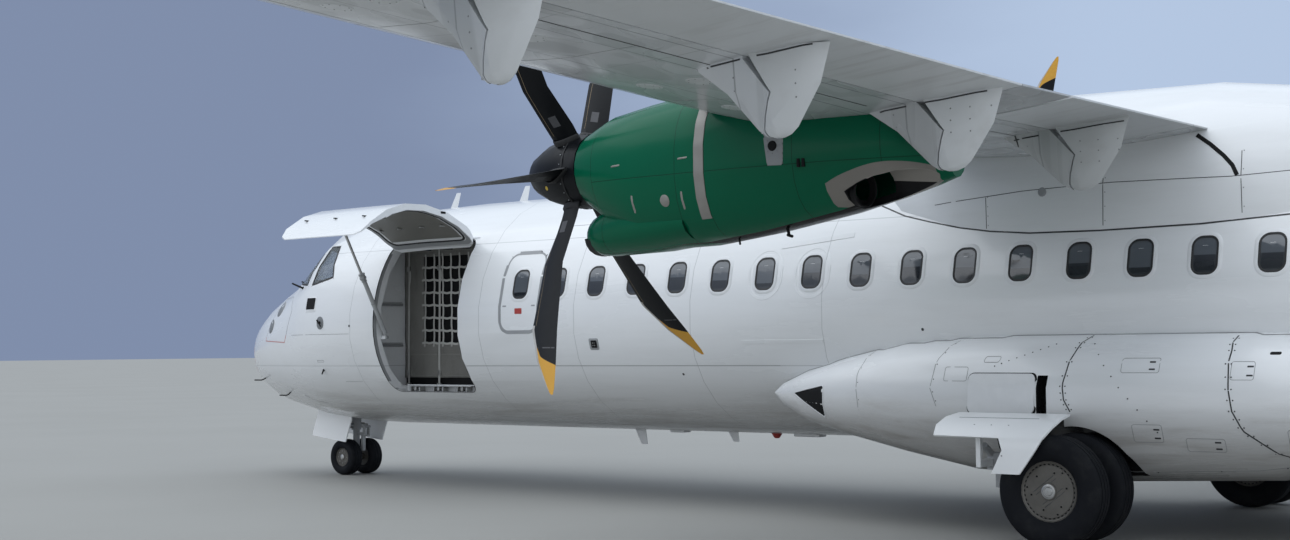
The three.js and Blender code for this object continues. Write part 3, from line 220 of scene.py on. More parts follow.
def white_recipe(rings, stringers, belly, dirt_share):
    """Painted sheet: seams round the hull at the stations and along it at the heights, and painted shade low
    down.
    """

    def recipe(point):
        _, y, z = parts_of(point)
        cloud = grain(stretched(point, 1.0, 0.35, 1.0), 1.3)
        fine = grain(point, 38.0, 2.0)
        streak = grain(stretched(point, 5.0, 0.5, 5.0), 1.6, 5.0, 0.65)
        seams = near_any(y, [at_station(s) for s in rings], 0.005) if rings else None
        if stringers:
            lines = near_any(z, stringers, 0.005)
            seams = lines if seams is None else seams | lines
        low = 1 - fade(z, belly - 0.35, belly + 0.25)
        dirt = fade(streak, 0.42, 0.72) * (low * dirt_share + 0.05)
        colour = blend_colour(fade(cloud, 0.3, 0.7) * 0.35, WHITE, (0.745, 0.765, 0.785, 1))
        colour = blend_colour(dirt, colour, DIRT)
        # Painted shade: the white darkens towards brownish grey below the belly line.
        colour = blend_colour((1 - fade(z, belly - 0.3, belly + 0.45)) * 0.35, colour, (0.33, 0.31, 0.28, 1))
        made = {"Roughness": 0.20 + 0.12 * cloud + 0.25 * dirt}
        height = fine * 0.04 + cloud * 0.6
        if seams is not None:
            colour = blend_colour(seams * 0.5, colour, SEAM_GREY)
            height = height - seams
        made["Base Color"] = colour
        made["Normal"] = bump(height, 0.0012, 0.6)
        return made

    return recipe


HULL_RINGS = (3.6, 5.72, 7.1, 8.62, 10.15, 15.6, 17.4, 19.2, 20.27, 22.67, 24.4)
hull_paint = new_finish(
    "hull_white_paint",
    white_recipe(HULL_RINGS, (1.384, 2.72), 1.0, 0.55),
    {"Coat Weight": 0.35, "Coat Roughness": 0.08, "IOR": 1.5},
)
shell_paint = new_finish(
    "shell_white_paint",
    white_recipe((), (), 0.75, 0.5),
    {"Coat Weight": 0.3, "Coat Roughness": 0.1, "IOR": 1.5},
)


def door_white_recipe(point):
    """The gear doors' white, lighter than the hull's as painted light, with faint dust in soft patches."""
    dust = grain(point, 3.0, 4.0)
    # Painted light: a lighter white than the hull's.
    colour = blend_colour(dust, (0.88, 0.89, 0.90, 1), (0.93, 0.94, 0.95, 1))
    return {"Base Color": colour, "Roughness": 0.28 + 0.15 * dust, "Normal": bump(dust, 0.0008, 0.4)}


door_paint = new_finish("gear_door_white_paint", door_white_recipe, {"Coat Weight": 0.3, "IOR": 1.5})


def between(value, low, high):
    return (value > low) * (value < high)


def pod_recipe(point):
    """The gear pods: white outside, with painted shade: near black in the wheel wells, darker under the
    widest line.
    """
    made = white_recipe((), (), 1.0, 0.75)(point)
    x, y, z = parts_of(point)
    out = abs(x)
    well = between(y, at_station(12.119), at_station(12.761)) * (z < 0.986) * (out > 1.325)
    slot = between(y, at_station(12.514), at_station(12.606)) * between(z, 0.899, 1.311) * (out > 1.6)
    back, lift = y - at_station(12.84), z - 0.432
    arch = ((back * back + lift * lift) < 0.2315) * (out > 1.555)
    # Painted shade: darker under the pod's widest line.
    low = 1 - fade(z, 0.72, 1.12)
    made["Base Color"] = blend_colour(low * 0.40, made["Base Color"], (0.27, 0.26, 0.245, 1))
    # Painted shade: the wheel wells, the leg slot and the wheel arch are near black.
    made["Base Color"] = blend_colour(well | slot | arch, made["Base Color"], (0.012, 0.012, 0.013, 1))
    return made


pod_paint = new_finish("pod_white_paint", pod_recipe, {"Coat Weight": 0.3, "Coat Roughness": 0.1, "IOR": 1.5})
print("white paints made")

# %% [markdown]
# ## Wing paint
# A wing is riveted from long plates that run out along the span, so its underside shows spanwise seams, a
# patchwork of slightly different greys, and soot and oil behind the nacelles. The dark rubber boots along
# the leading edge, which shake off ice, are a band of the same surface, so they are a mask and not a piece.

# %% Wing paint
RUBBER_BLACK = (0.012, 0.012, 0.013, 1)


# The wing's front edge and chord run straight out to a kink, then the front moves back and the chord shrinks.
WING_FRONT, WING_CHORD, WING_KINK = 11.08, 2.6, 4.3
FRONT_SLOPE, CHORD_SLOPE = 0.0244, 0.11


def wing_recipe(point):
    x, y, _ = parts_of(point)
    out = abs(x)
    beyond = (out - WING_KINK) | 0.0
    share = (y - (WING_FRONT + DATUM + FRONT_SLOPE * beyond)) / (WING_CHORD - CHORD_SLOPE * beyond)
    boot = (1 - fade(share, 0.052, 0.056)) * fade(out, 4.9, 4.93)
    ribs = near_any(out, (1.9, 3.0, 5.35, 6.55, 7.7, 8.9, 10.15, 11.3, 12.4), 0.007)
    spars = near_any(share, (0.16, 0.36, 0.56, 0.70), 0.0035)
    seams = ribs * 0.55 | spars
    patch = grain(stretched(point, 1.5, 2.6, 0.0), 0.9, 1.0)
    plates = fade(patch, 0.46, 0.48) * 0.5 + fade(patch, 0.60, 0.62) * 0.5
    # Painted shade: the underside darkens towards the hull.
    shaded = (1 - fade(out, 2.2, 8.0)) * 0.55
    soot = (1 - fade(abs(out - 4.05), 0.2, 0.75)) * fade(share, 0.3, 0.8)
    soot = soot * grain(stretched(point, 8, 0.6, 1), 1.2)
    colour = blend_colour(plates, (0.74, 0.76, 0.785, 1), (0.55, 0.57, 0.585, 1))
    colour = blend_colour(shaded, colour, (0.34, 0.35, 0.35, 1))
    colour = blend_colour(soot * 0.45, colour, (0.22, 0.21, 0.20, 1))
    colour = blend_colour(seams * 0.6, colour, (0.22, 0.23, 0.24, 1))
    colour = blend_colour(boot, colour, RUBBER_BLACK)
    rough = 0.16 + 0.22 * patch + 0.3 * boot
    height = patch * 0.8 - seams
    return {"Base Color": colour, "Roughness": rough, "Normal": bump(height, 0.0012, 0.6)}


wing_paint = new_finish("wing_grey_white_paint", wing_recipe, {"Coat Weight": 0.3, "Coat Roughness": 0.12})


def fairing_recipe(point):
    cloud = grain(point, 2.2)
    streak = grain(stretched(point, 6.0, 0.7, 2.0), 1.4, 4.0)
    dirt = fade(streak, 0.5, 0.75) * 0.25
    colour = blend_colour(cloud, (0.66, 0.68, 0.69, 1), (0.74, 0.755, 0.77, 1))
    colour = blend_colour(dirt, colour, DIRT)
    # Painted shade: the flaps and covers darken near the hull.
    near_body = 1 - fade(abs(parts_of(point)[0]), 2.0, 4.0)
    colour = blend_colour(near_body * 0.5, colour, (0.32, 0.33, 0.33, 1))
    return {"Base Color": colour, "Roughness": 0.3 + 0.15 * cloud, "Normal": bump(cloud, 0.001, 0.4)}


fairing_paint = new_finish("flap_grey_white_paint", fairing_recipe,
                           {"Coat Weight": 0.15, "Coat Roughness": 0.2})
print("wing paints made")

# %% [markdown]
# ## Green nacelles
# The cowls are laid-up panels in a deep glossy green. Their shine is the finish: a clear coat over the
# colour gives the two highlights a single glossy layer can't. Panel seams and a grey metal band round the
# cowl behind the engine's front mount go in by station. The intake duct is black as painted shade deep in
# it, the exhaust's slanted bore black with soot and painted shade, and the bore's distance from its own axis
# also says where the bare scorched metal round the exhaust ends.

# %% Green paint
COWL_SEAMS = (10.02, 10.9, 11.18, 11.95, 12.62)
EXHAUST = (4.16, 12.33, 2.665)  # the closed end of its bore: distance from the middle, station and height
EXHAUST_WAY = (0.1293, 0.9884, -0.0785)  # out, aft and a little down


def green_recipe(point):
    x, y, z = parts_of(point)
    out = abs(x)
    cloud = grain(point, 1.6)
    streak = grain(stretched(point, 3.0, 0.5, 3.0), 1.5, 4.0)
    rows = [at_station(s) for s in COWL_SEAMS]
    seams = near_any(y, rows, 0.004) | near(z, 2.86, 0.004) * fade(y, at_station(10.0), at_station(10.02))
    under = 1 - fade(z, 2.32, 2.40)
    soot = fade(streak, 0.5, 0.8) * fade(y, at_station(11.8), at_station(12.9)) * 0.6
    colour = blend_colour(cloud * 0.4, (0.0015, 0.112, 0.055, 1), (0.003, 0.138, 0.070, 1))
    colour = blend_colour(seams * 0.7, colour, (0.003, 0.03, 0.018, 1))
    colour = blend_colour(soot, colour, (0.02, 0.03, 0.022, 1))
    colour = blend_colour(under * fade(y, at_station(10.9), at_station(11.2)) * 0.8, colour,
                          (0.55, 0.58, 0.58, 1))
    across, back, lift = out - EXHAUST[0], y - at_station(EXHAUST[1]), z - EXHAUST[2]
    along = across * EXHAUST_WAY[0] + back * EXHAUST_WAY[1] + lift * EXHAUST_WAY[2]
    apart = (across * across + back * back + lift * lift - along * along) | 0.0
    gap = apart**0.5
    panel = (gap < 0.235 - 0.06 * fade(along, 0.2, 0.7)) * (along > -0.12) * (lift > -0.125 - 0.06 * along)
    panel = panel * (along < 0.62)
    # Painted shade: the intake duct is near black for the shade deep in it, the exhaust bore black with soot
    # and shade.
    bore = (gap < 0.1525) * (along > -0.01)
    duct = (abs(out - 4.05) < 0.1335) * between(z, 2.3485, 2.5695)
    metal = blend_colour(cloud, (0.20, 0.185, 0.165, 1), (0.30, 0.28, 0.255, 1))
    colour = blend_colour(panel, colour, metal)
    colour = blend_colour(bore, colour, (0.010, 0.010, 0.011, 1))
    lid = bore * (lift > 0.078 - 0.10 * along) * (along > 0.05)
    colour = blend_colour(lid, colour, (0.30, 0.28, 0.255, 1))
    colour = blend_colour(duct, colour, (0.004, 0.004, 0.005, 1))
    return {
        "Base Color": colour,
        "Roughness": 0.17 + 0.12 * cloud + 0.3 * (soot | bore),
        "Normal": bump(cloud * 0.7 - seams, 0.001, 0.6),
    }


green_paint = new_finish(
    "cowl_green_paint", green_recipe, {"Coat Weight": 0.05, "Coat Roughness": 0.05,
                                       "Specular IOR Level": 0.12}
)
print("green paint made")

# %% [markdown]
# ## Propeller blades
# The blades are moulded composite with a matt black erosion coat, warning yellow at the tips, and a nickel
# strip along the outer leading edge. The colour changes with the distance from the hub, which is the length
# of the XZ part of the Object coordinates measured from the hub's own axis, so it stays right as the blades
# turn.

# %% Blade and spinner finishes
HUB_X, HUB_Z, PROP_R = 4.05, 3.0, 1.925


def blade_recipe(point):
    x, y, z = parts_of(point)
    across = abs(x) - HUB_X
    high = z - HUB_Z
    radius = (across * across + high * high) ** 0.5
    scuff = grain(point, 24.0, 4.0)
    beyond = (radius - 1.386) | 0.0
    edge = beyond * 0.5 + beyond * beyond * 0.35 - 0.091
    behind = y - at_station(9.58) - edge
    wide = 0.045 * fade(radius, 1.40, 1.62) + 0.26 * fade(radius, 1.60, 1.76)
    tip = (1 - fade(behind - wide, -0.001, 0.001)) * fade(radius, 1.43, 1.434)
    line = near(behind - wide, 0.0, 0.006) * fade(radius, 1.43, 1.434)
    colour = blend_colour(fade(scuff, 0.55, 0.8) * 0.3, (0.004, 0.005, 0.007, 1), (0.018, 0.019, 0.022, 1))
    colour = blend_colour(tip, colour, (0.68, 0.36, 0.055, 1))
    colour = blend_colour(line, colour, (0.02, 0.02, 0.022, 1))
    rough = 0.32 + 0.2 * scuff
    return {"Base Color": colour, "Roughness": rough, "Normal": bump(scuff, 0.0004, 0.5)}


blade_black = new_finish("blade_black_and_yellow", blade_recipe, {"Specular IOR Level": 0.2})


def metal_finish(name, dark, light, low, high, scale=9.0, fixed=None):
    """A plain finish whose colour and roughness drift between two values, over a fine bump."""

    def recipe(point):
        cloud = grain(point, scale, 4.0)
        fine = grain(point, scale * 9, 2.0)
        return {
            "Base Color": blend_colour(cloud, (*dark, 1), (*light, 1)),
            "Roughness": low + (high - low) * cloud,
            "Normal": bump(fine, 0.0006, 0.35),
        }

    return new_finish(name, recipe, fixed or {})


steel = metal_finish("strut_steel", (0.22, 0.23, 0.24), (0.40, 0.41, 0.42), 0.3, 0.5, fixed={"Metallic": 0.7})
chrome = metal_finish("rod_chrome", (0.5, 0.5, 0.51), (0.66, 0.66, 0.67), 0.1, 0.22, fixed={"Metallic": 1.0})
gear_paint = metal_finish("gear_grey_paint", (0.30, 0.31, 0.32), (0.44, 0.45, 0.46), 0.35, 0.6)
hub_metal = metal_finish("wheel_grey_metal", (0.085, 0.08, 0.072), (0.17, 0.16, 0.145), 0.35, 0.6,
                         fixed={"Metallic": 0.35})
exhaust_metal = metal_finish("exhaust_burnt_metal", (0.16, 0.165, 0.17), (0.34, 0.35, 0.36), 0.25, 0.5, 5.0,
                             fixed={"Metallic": 0.85})
trim_grey = metal_finish("trim_grey_paint", (0.27, 0.28, 0.29), (0.34, 0.35, 0.36), 0.35, 0.5)
crew_grey = metal_finish("crew_fittings_grey", (0.05, 0.052, 0.055), (0.09, 0.092, 0.096), 0.5, 0.8)
# Near black for black parts, and as painted shade on plates that stand for slots, holes, gaps and openings.
black_parts_and_recess_shade = metal_finish("black_parts_and_painted_recess_shade", (0.004, 0.004, 0.005), (0.012, 0.012, 0.013), 0.5, 0.8,
                          fixed={"Specular IOR Level": 0.2})
seal_black = metal_finish("seal_black_rubber", (0.010, 0.010, 0.011), (0.024, 0.024, 0.026), 0.45, 0.7, 30.0)
fitting_steel = metal_finish("fitting_steel", (0.32, 0.32, 0.32), (0.55, 0.55, 0.54), 0.25, 0.5, 20.0,
                             fixed={"Metallic": 0.8})
trim_white = metal_finish("trim_white_paint", (0.70, 0.715, 0.73), (0.79, 0.80, 0.815), 0.25, 0.4)
placard_red = metal_finish("placard_red", (0.36, 0.035, 0.03), (0.48, 0.06, 0.05), 0.35, 0.5)
print("metals and trim made")

# %% [markdown]
# ## Tyres
# Aircraft tyres carry straight grooves and no blocks, over a dusty sidewall. The grooves are real geometry
# further down; the rubber itself is a near-black with grey dust that settles in its fine texture.


# %% Tyre rubber
def tyre_recipe(point):
    dust = grain(point, 6.0, 5.0, 0.65)
    fine = grain(point, 160.0, 2.0)
    colour = blend_colour(fade(dust, 0.45, 0.8) * 0.6, (0.006, 0.007, 0.010, 1), (0.028, 0.029, 0.030, 1))
    return {"Base Color": colour, "Roughness": 0.62 + 0.25 * dust, "Normal": bump(fine, 0.0006, 0.4)}


tyre_rubber = new_finish("tyre_dusty_rubber", tyre_recipe, {"Specular IOR Level": 0.2})

# %% [markdown]
# ## Glass
# Cabin panes look dark from outside, with the lining of the window and a shade showing in some. A pane that
# is really see-through would show a solid hull behind it, so the panes are glossy and their colour carries
# what is behind, as painted shade: a dark cabin that is painted lighter towards the pane's top as painted
# light, the lining, and the shade, whose height differs from window to window, by a noise read once per
# window pitch.

# %% Glass
WINDOW_PITCH = 0.529
FIRST_WINDOW = 6.31
WINDOW_Z = 2.245


def pane_recipe(point):
    x, y, z = parts_of(point)
    number = ((y - at_station(FIRST_WINDOW)) / WINDOW_PITCH + 0.5).math("FLOOR")
    which = number + (x > 0) * 37.0
    dice = which.node("ShaderNodeTexWhiteNoise", {"noise_dimensions": "1D"}, {"W": which})
    level = WINDOW_Z + 0.03 - 0.13 * dice
    shade = fade(z, level - 0.004, level + 0.004)
    inner = abs(y - at_station(FIRST_WINDOW) - number * WINDOW_PITCH)
    lining = fade(inner, 0.075, 0.10) | fade(abs(z - WINDOW_Z), 0.11, 0.14)
    # Painted shade and light: the dark cabin behind the pane, lighter towards its top.
    painted_light_upward = fade(z, WINDOW_Z - 0.16, WINDOW_Z + 0.16)
    deep = blend_colour(painted_light_upward, (0.012, 0.015, 0.020, 1), (0.034, 0.040, 0.050, 1))
    colour = blend_colour(shade * 0.75, deep, (0.105, 0.12, 0.14, 1))
    colour = blend_colour(lining * 0.6, colour, (0.07, 0.075, 0.08, 1))
    return {"Base Color": colour, "Roughness": 0.05 + 0.04 * shade}


pane_glass = new_finish("cabin_pane", pane_recipe, {"Coat Weight": 0.6, "Coat Roughness": 0.03, "IOR": 1.5})


def screen_recipe(point):
    haze = grain(point, 3.0)
    colour = blend_colour(haze, (0.62, 0.67, 0.70, 1), (0.74, 0.78, 0.80, 1))
    return {"Base Color": colour, "Roughness": 0.02 + 0.03 * haze}


screen_glass = new_finish("crew_glass", screen_recipe, {"Transmission Weight": 0.92, "IOR": 1.2})
print("glass made")

# %% [markdown]
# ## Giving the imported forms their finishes
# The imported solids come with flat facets. One small node tree joins their loose triangles, keeps the sharp
# edges and smooths the rest, as Blender's own smooth-by-angle does. It is a live modifier, so the packed
# mesh under it is left as it is.


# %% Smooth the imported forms
def group_tree(name, inputs, kinds, links):
    """A node group: inputs as (name, type), nodes as word: (kind, settings), links from word to word."""
    tree = bpy.data.node_groups.new(name, "GeometryNodeTree")
    for title, kind in inputs:
        tree.interface.new_socket(title, in_out="INPUT", socket_type=f"NodeSocket{kind}")
    tree.interface.new_socket("Geometry", in_out="OUTPUT", socket_type="NodeSocketGeometry")
    made = {"start": tree.nodes.new("NodeGroupInput"), "end": tree.nodes.new("NodeGroupOutput")}
    for word, (kind, settings) in kinds.items():
        made[word] = tree.nodes.new(kind)
        for setting, value in settings.items():
            setattr(made[word], setting, value)
    for source, output, target, entry in links:
        tree.links.new(made[source].outputs[output], made[target].inputs[entry])
    return tree, made


SMOOTH_ANGLE = 0.55  # edges that turn less than this, in radians, are smoothed
WELD_GAP = 0.00005
SMOOTH, smooth_nodes = group_tree(
    "smooth_skin",
    (("Geometry", "Geometry"), ("Angle", "Float")),
    {
        "weld": ("GeometryNodeMergeByDistance", {}),
        "edge": ("GeometryNodeInputMeshEdgeAngle", {}),
        "sharp": ("FunctionNodeCompare", {"data_type": "FLOAT", "operation": "LESS_THAN"}),
        "by_edge": ("GeometryNodeSetShadeSmooth", {"domain": "EDGE"}),
        "by_face": ("GeometryNodeSetShadeSmooth", {"domain": "FACE"}),
    },
    (
        ("start", "Geometry", "weld", "Geometry"),
        ("weld", "Geometry", "by_edge", "Geometry"),
        ("edge", "Unsigned Angle", "sharp", 0),
        ("start", "Angle", "sharp", 1),
        ("sharp", "Result", "by_edge", "Shade Smooth"),
        ("by_edge", "Geometry", "by_face", "Geometry"),
        ("by_face", "Geometry", "end", "Geometry"),
    ),
)
SMOOTH.interface.items_tree["Angle"].default_value = SMOOTH_ANGLE
smooth_nodes["weld"].inputs["Distance"].default_value = WELD_GAP
FINISHES = {
    "cockpit_fittings": crew_grey,
    "cargo_strut_rod": chrome,
    "cargo_strut_tube": gear_paint,
    "main_leg": gear_paint,
    "nose_leg": gear_paint,
    "nose_fork": gear_paint,
    "engine": exhaust_metal,
    "main_wheels": hub_metal,
    "nose_wheels": hub_metal,
    "main_tyre": tyre_rubber,
    "nose_tyre": tyre_rubber,
    "propeller": blade_black,
    "nacelle": green_paint,
    "windscreen": screen_glass,
    "side_window": screen_glass,
    "wing_fairing": shell_paint,
    "wing": wing_paint,
    "inner_flap": fairing_paint,
    "outer_flap": fairing_paint,
    "aileron": wing_paint,
    "sponson": pod_paint,
    "main_leg_door": door_paint,
    "nose_gear_door": door_paint,
    "fin": shell_paint,
    "rudder": shell_paint,
    "tailplane": shell_paint,
    "elevator": shell_paint,
}


def finish_of(name):
    fits = [start for start in FINISHES if name.startswith(start)]
    return FINISHES[max(fits, key=len)] if fits else hull_paint


for name, node in nodes.items():
    for place in range(max(1, len(node.data.materials))):
        if node.data.materials:
            node.data.materials[place] = finish_of(name)
        else:
            node.data.materials.append(finish_of(name))
    node.modifiers.new("smooth", "NODES").node_group = SMOOTH
print("finished", len(nodes), "packed forms")

# %% [markdown]
# ## Laying pieces on the skin
# Frames, seals, plates and seams lie on curved sheet. Modelled flat they would cut into the hull or float
# off it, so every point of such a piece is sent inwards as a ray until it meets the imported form, and then
# lifted off along the surface there. A tree of all the form's faces answers those rays quickly.


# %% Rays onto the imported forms
class Skin:
    """The outer surface of some packed forms, found by rays."""

    def __init__(self, *names):
        corners, faces = [], []
        for name in names:
            mesh = nodes[name].data
            first = len(corners)
            corners += [v.co.copy() for v in mesh.vertices]
            faces += [[first + i for i in p.vertices] for p in mesh.polygons]
        self.tree = BVHTree.FromPolygons(corners, faces)

    def meet(self, start, way):
        way = Vector(way).normalized()
        place, normal, _, _ = self.tree.ray_cast(Vector(start), way)
        if place is None:
            place, normal, _, _ = self.tree.find_nearest(Vector(start) + way * 1.0)
        if normal.dot(way) > 0:
            normal = -normal
        return place, normal

    def side(self, side, station, z, far=9.0):
        """The point met from the side at a station and a height."""
        return self.meet((side * far, at_station(station), z), (-side, 0, 0))

    def below(self, x, station, low=-1.0):
        return self.meet((x, at_station(station), low), (0, 0, 1))

    def above(self, x, station, high=9.0):
        return self.meet((x, at_station(station), high), (0, 0, -1))


hull_skin = Skin("nose_section", "forward_section", "cabin_section", "rear_section", "tail_cone",
                 "service_door",
                 "emergency_exit_left", "emergency_exit_right")
nose_skin = Skin("nose_section", "windscreen_left", "windscreen_right", "side_window_left",
                 "side_window_right")
pieces_made = []
SHARP_ANGLE = 0.7  # edges that turn more than this, in radians, stay sharp


def new_piece(name, vertices, faces, finish, body="airframe", smooth=True, outward=None):
    """A finished mesh at the origin that rides on a body."""
    mesh = bpy.data.meshes.new(name)
    mesh.from_pydata([tuple(v) for v in vertices], [], faces)
    mesh.validate()
    work = bmesh.new()
    work.from_mesh(mesh)
    bmesh.ops.remove_doubles(work, verts=work.verts, dist=0.00002)
    bmesh.ops.dissolve_degenerate(work, edges=work.edges, dist=0.00001)
    bmesh.ops.recalc_face_normals(work, faces=work.faces)
    if outward is not None:
        work.normal_update()
        total = sum(f.normal.dot(outward(f.calc_center_median())) * f.calc_area() for f in work.faces)
        if total < 0:
            bmesh.ops.reverse_faces(work, faces=work.faces)
    work.to_mesh(mesh)
    work.free()
    if smooth:
        mesh.shade_smooth()
        mesh.set_sharp_from_angle(angle=SHARP_ANGLE)
    mesh.materials.append(finish)
    piece = bpy.data.objects.new(name, mesh)
    bpy.context.scene.collection.objects.link(piece)
    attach(piece, body)
    pieces_made.append(piece)
    return piece


def full_turn(count, start=0.0):
    """Angles evenly spaced round a circle; start is a share of one step."""
    return [2 * math.pi * (i + start) / count for i in range(count)]


def joined(name, parts, finish, body="airframe", **more):
    """One piece from several (vertices, faces) parts."""
    return new_piece(name, *merge_meshes(parts), finish, body, **more)


def rounded(half_a, half_b, corner, steps=6, on_sides=0):
    """Points round a rectangle with rounded corners, anticlockwise; on_sides adds some to each side."""
    corner = max(0.0005, min(corner, half_a - 0.0005, half_b - 0.0005))
    points = []
    for quarter, (sa, sb) in enumerate(((1, 1), (-1, 1), (-1, -1), (1, -1))):
        for i in range(steps + 1):
            turn = math.pi / 2 * (quarter + i / steps)
            points.append((sa * (half_a - corner) + corner * math.cos(turn),
                           sb * (half_b - corner) + corner * math.sin(turn)))
        ta, tb = ((-1, 1), (-1, -1), (1, -1), (1, 1))[quarter]
        turn = math.pi / 2 * (quarter + 1)
        after = (ta * (half_a - corner) + corner * math.cos(turn),
                 tb * (half_b - corner) + corner * math.sin(turn))
        last = points[-1]
        points += [(last[0] + (after[0] - last[0]) * k / (on_sides + 1),
                    last[1] + (after[1] - last[1]) * k / (on_sides + 1)) for k in range(1, on_sides + 1)]
    return points


def lofted(rows, closed_ring=True, cap_first=False, cap_last=False):
    """Faces between rows of points of equal length."""
    count = len(rows[0])
    vertices = [p for row in rows for p in row]
    faces = []
    for r in range(len(rows) - 1):
        for i in range(count if closed_ring else count - 1):
            j = (i + 1) % count
            faces.append([r * count + i, r * count + j, (r + 1) * count + j, (r + 1) * count + i])
    if cap_first:
        faces.append(list(range(count))[::-1])
    if cap_last:
        faces.append([(len(rows) - 1) * count + i for i in range(count)])
    return vertices, faces


def merge_meshes(lists):
    vertices, faces = [], []
    for more_vertices, more_faces in lists:
        first = len(vertices)
        vertices += more_vertices
        faces += [[first + i for i in face] for face in more_faces]
    return vertices, faces


def lifted(found, lift):
    """The place of a (point, normal) pair, lifted off the surface."""
    place, normal = found
    return place + normal * lift


def laid_rings(skin, side, station, z, half, corner, levels, cap=False, steps=6):
    """Rings of a rounded rectangle on the skin: levels are (inset, lift off the surface)."""
    on_sides = min(12, int(max(half) / 0.06))
    rows = []
    for inset, lift in levels:
        outline = rounded(half[0] - inset, half[1] - inset, corner - inset, steps, on_sides)
        rows.append([lifted(skin.side(side, station + a, z + b), lift) for a, b in outline])
    vertices, faces = lofted(rows)
    if cap:
        vertices.append(lifted(skin.side(side, station, z), levels[-1][1]))
        count = len(rows[0])
        last = (len(rows) - 1) * count
        faces += [[last + i, last + (i + 1) % count, len(vertices) - 1] for i in range(count)]
    return vertices, faces


def strip_along(run, half, lift, sink=0.003):
    """A low flat-topped ridge that follows (point, normal) pairs on a surface."""
    rows = []
    for i, (place, normal) in enumerate(run):
        ahead = (run[min(i + 1, len(run) - 1)][0] - run[max(i - 1, 0)][0]).normalized()
        across = ahead.cross(normal).normalized() * half
        low, high = place - normal * sink, place + normal * lift
        rows.append([low + across, high + across * 0.8, high - across * 0.8, low - across])
    return lofted(rows, closed_ring=True, cap_first=True, cap_last=True)


print("laying helpers ready")

# %% [markdown]
# ## Repeated pieces
# A row of windows is one window again and again at a fixed pitch, and a seam's screws are one screw at many
# places, each turned to stand on the surface. Geometry Nodes say exactly that: a line of points, or the
# points of a mesh with their outward directions, and one piece on each. The result is kept as a plain mesh.


# %% Node trees for rows and for studs
SPREAD_KINDS = {
    "spread": ("GeometryNodeInstanceOnPoints", {}),
    "real": ("GeometryNodeRealizeInstances", {}),
    "paint": ("GeometryNodeSetMaterial", {}),
}
SPREAD_LINKS = (
    ("spread", "Instances", "real", "Geometry"),
    ("real", "Geometry", "paint", "Geometry"),
    ("start", "Finish", "paint", "Material"),
    ("paint", "Geometry", "end", "Geometry"),
)
ROWS, _ = group_tree(
    "row_of_pieces",
    (("Geometry", "Geometry"), ("Piece", "Object"), ("Count", "Int"), ("Step", "Vector"),
     ("Finish", "Material")),
    {"line": ("GeometryNodeMeshLine", {}), "source": ("GeometryNodeObjectInfo", {}), **SPREAD_KINDS},
    (
        ("start", "Piece", "source", "Object"),
        ("start", "Count", "line", "Count"),
        ("start", "Step", "line", "Offset"),
        ("line", "Mesh", "spread", "Points"),
        ("source", "Geometry", "spread", "Instance"),
        *SPREAD_LINKS,
    ),
)
HEAD_TAPER = 0.72  # a screw head's top radius over its foot's
STUDS, stud_nodes = group_tree(
    "studs_on_points",
    (("Geometry", "Geometry"), ("Radius", "Float"), ("Height", "Float"), ("Sides", "Int"),
     ("Finish", "Material")),
    {
        "head": ("GeometryNodeMeshCone", {}),
        "outward": ("GeometryNodeInputNamedAttribute", {"data_type": "FLOAT_VECTOR"}),
        "turn": ("FunctionNodeAlignRotationToVector", {"axis": "Z"}),
        "slimmer": ("ShaderNodeMath", {"operation": "MULTIPLY"}),
        **SPREAD_KINDS,
    },
    (
        ("start", "Sides", "head", "Vertices"),
        ("start", "Radius", "head", "Radius Bottom"),
        ("start", "Radius", "slimmer", 0),
        ("slimmer", 0, "head", "Radius Top"),
        ("start", "Height", "head", "Depth"),
        ("start", "Geometry", "spread", "Points"),
        ("head", "Mesh", "spread", "Instance"),
        ("outward", "Attribute", "turn", "Vector"),
        ("turn", "Rotation", "spread", "Rotation"),
        *SPREAD_LINKS,
    ),
)
stud_nodes["outward"].inputs["Name"].default_value = "outward"
stud_nodes["slimmer"].inputs[1].default_value = HEAD_TAPER


def grown(name, base_mesh, tree, values, body):
    """Runs a node tree on a mesh and keeps what it makes as a plain mesh that rides on the body."""
    worker = bpy.data.objects.new(name + "_worker", base_mesh)
    bpy.context.scene.collection.objects.link(worker)
    modifier = worker.modifiers.new("grow", "NODES")
    modifier.node_group = tree
    for item in tree.interface.items_tree:
        if item.in_out == "INPUT" and item.name in values:
            modifier[item.identifier] = values[item.name]
    grown_mesh = bpy.data.meshes.new_from_object(worker.evaluated_get(bpy.context.evaluated_depsgraph_get()))
    bpy.data.objects.remove(worker)
    grown_mesh.name = name
    piece = bpy.data.objects.new(name, grown_mesh)
    bpy.context.scene.collection.objects.link(piece)
    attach(piece, body)
    pieces_made.append(piece)
    return piece


def row_of(name, part, count, step, finish, body="airframe"):
    """One piece repeated count times; the single one is used up."""
    vertices, faces = part
    mesh = bpy.data.meshes.new(name + "_one")
    mesh.from_pydata([tuple(v) for v in vertices], [], faces)
    work = bmesh.new()
    work.from_mesh(mesh)
    bmesh.ops.remove_doubles(work, verts=work.verts, dist=0.00002)
    work.to_mesh(mesh)
    work.free()
    mesh.shade_smooth()
    mesh.set_sharp_from_angle(angle=SHARP_ANGLE)
    single = bpy.data.objects.new(name + "_one", mesh)
    bpy.context.scene.collection.objects.link(single)
    values = {"Piece": single, "Count": count, "Step": step, "Finish": finish}
    made = grown(name, bpy.data.meshes.new(name + "_seed"), ROWS, values, body)
    bpy.data.objects.remove(single)
    return made


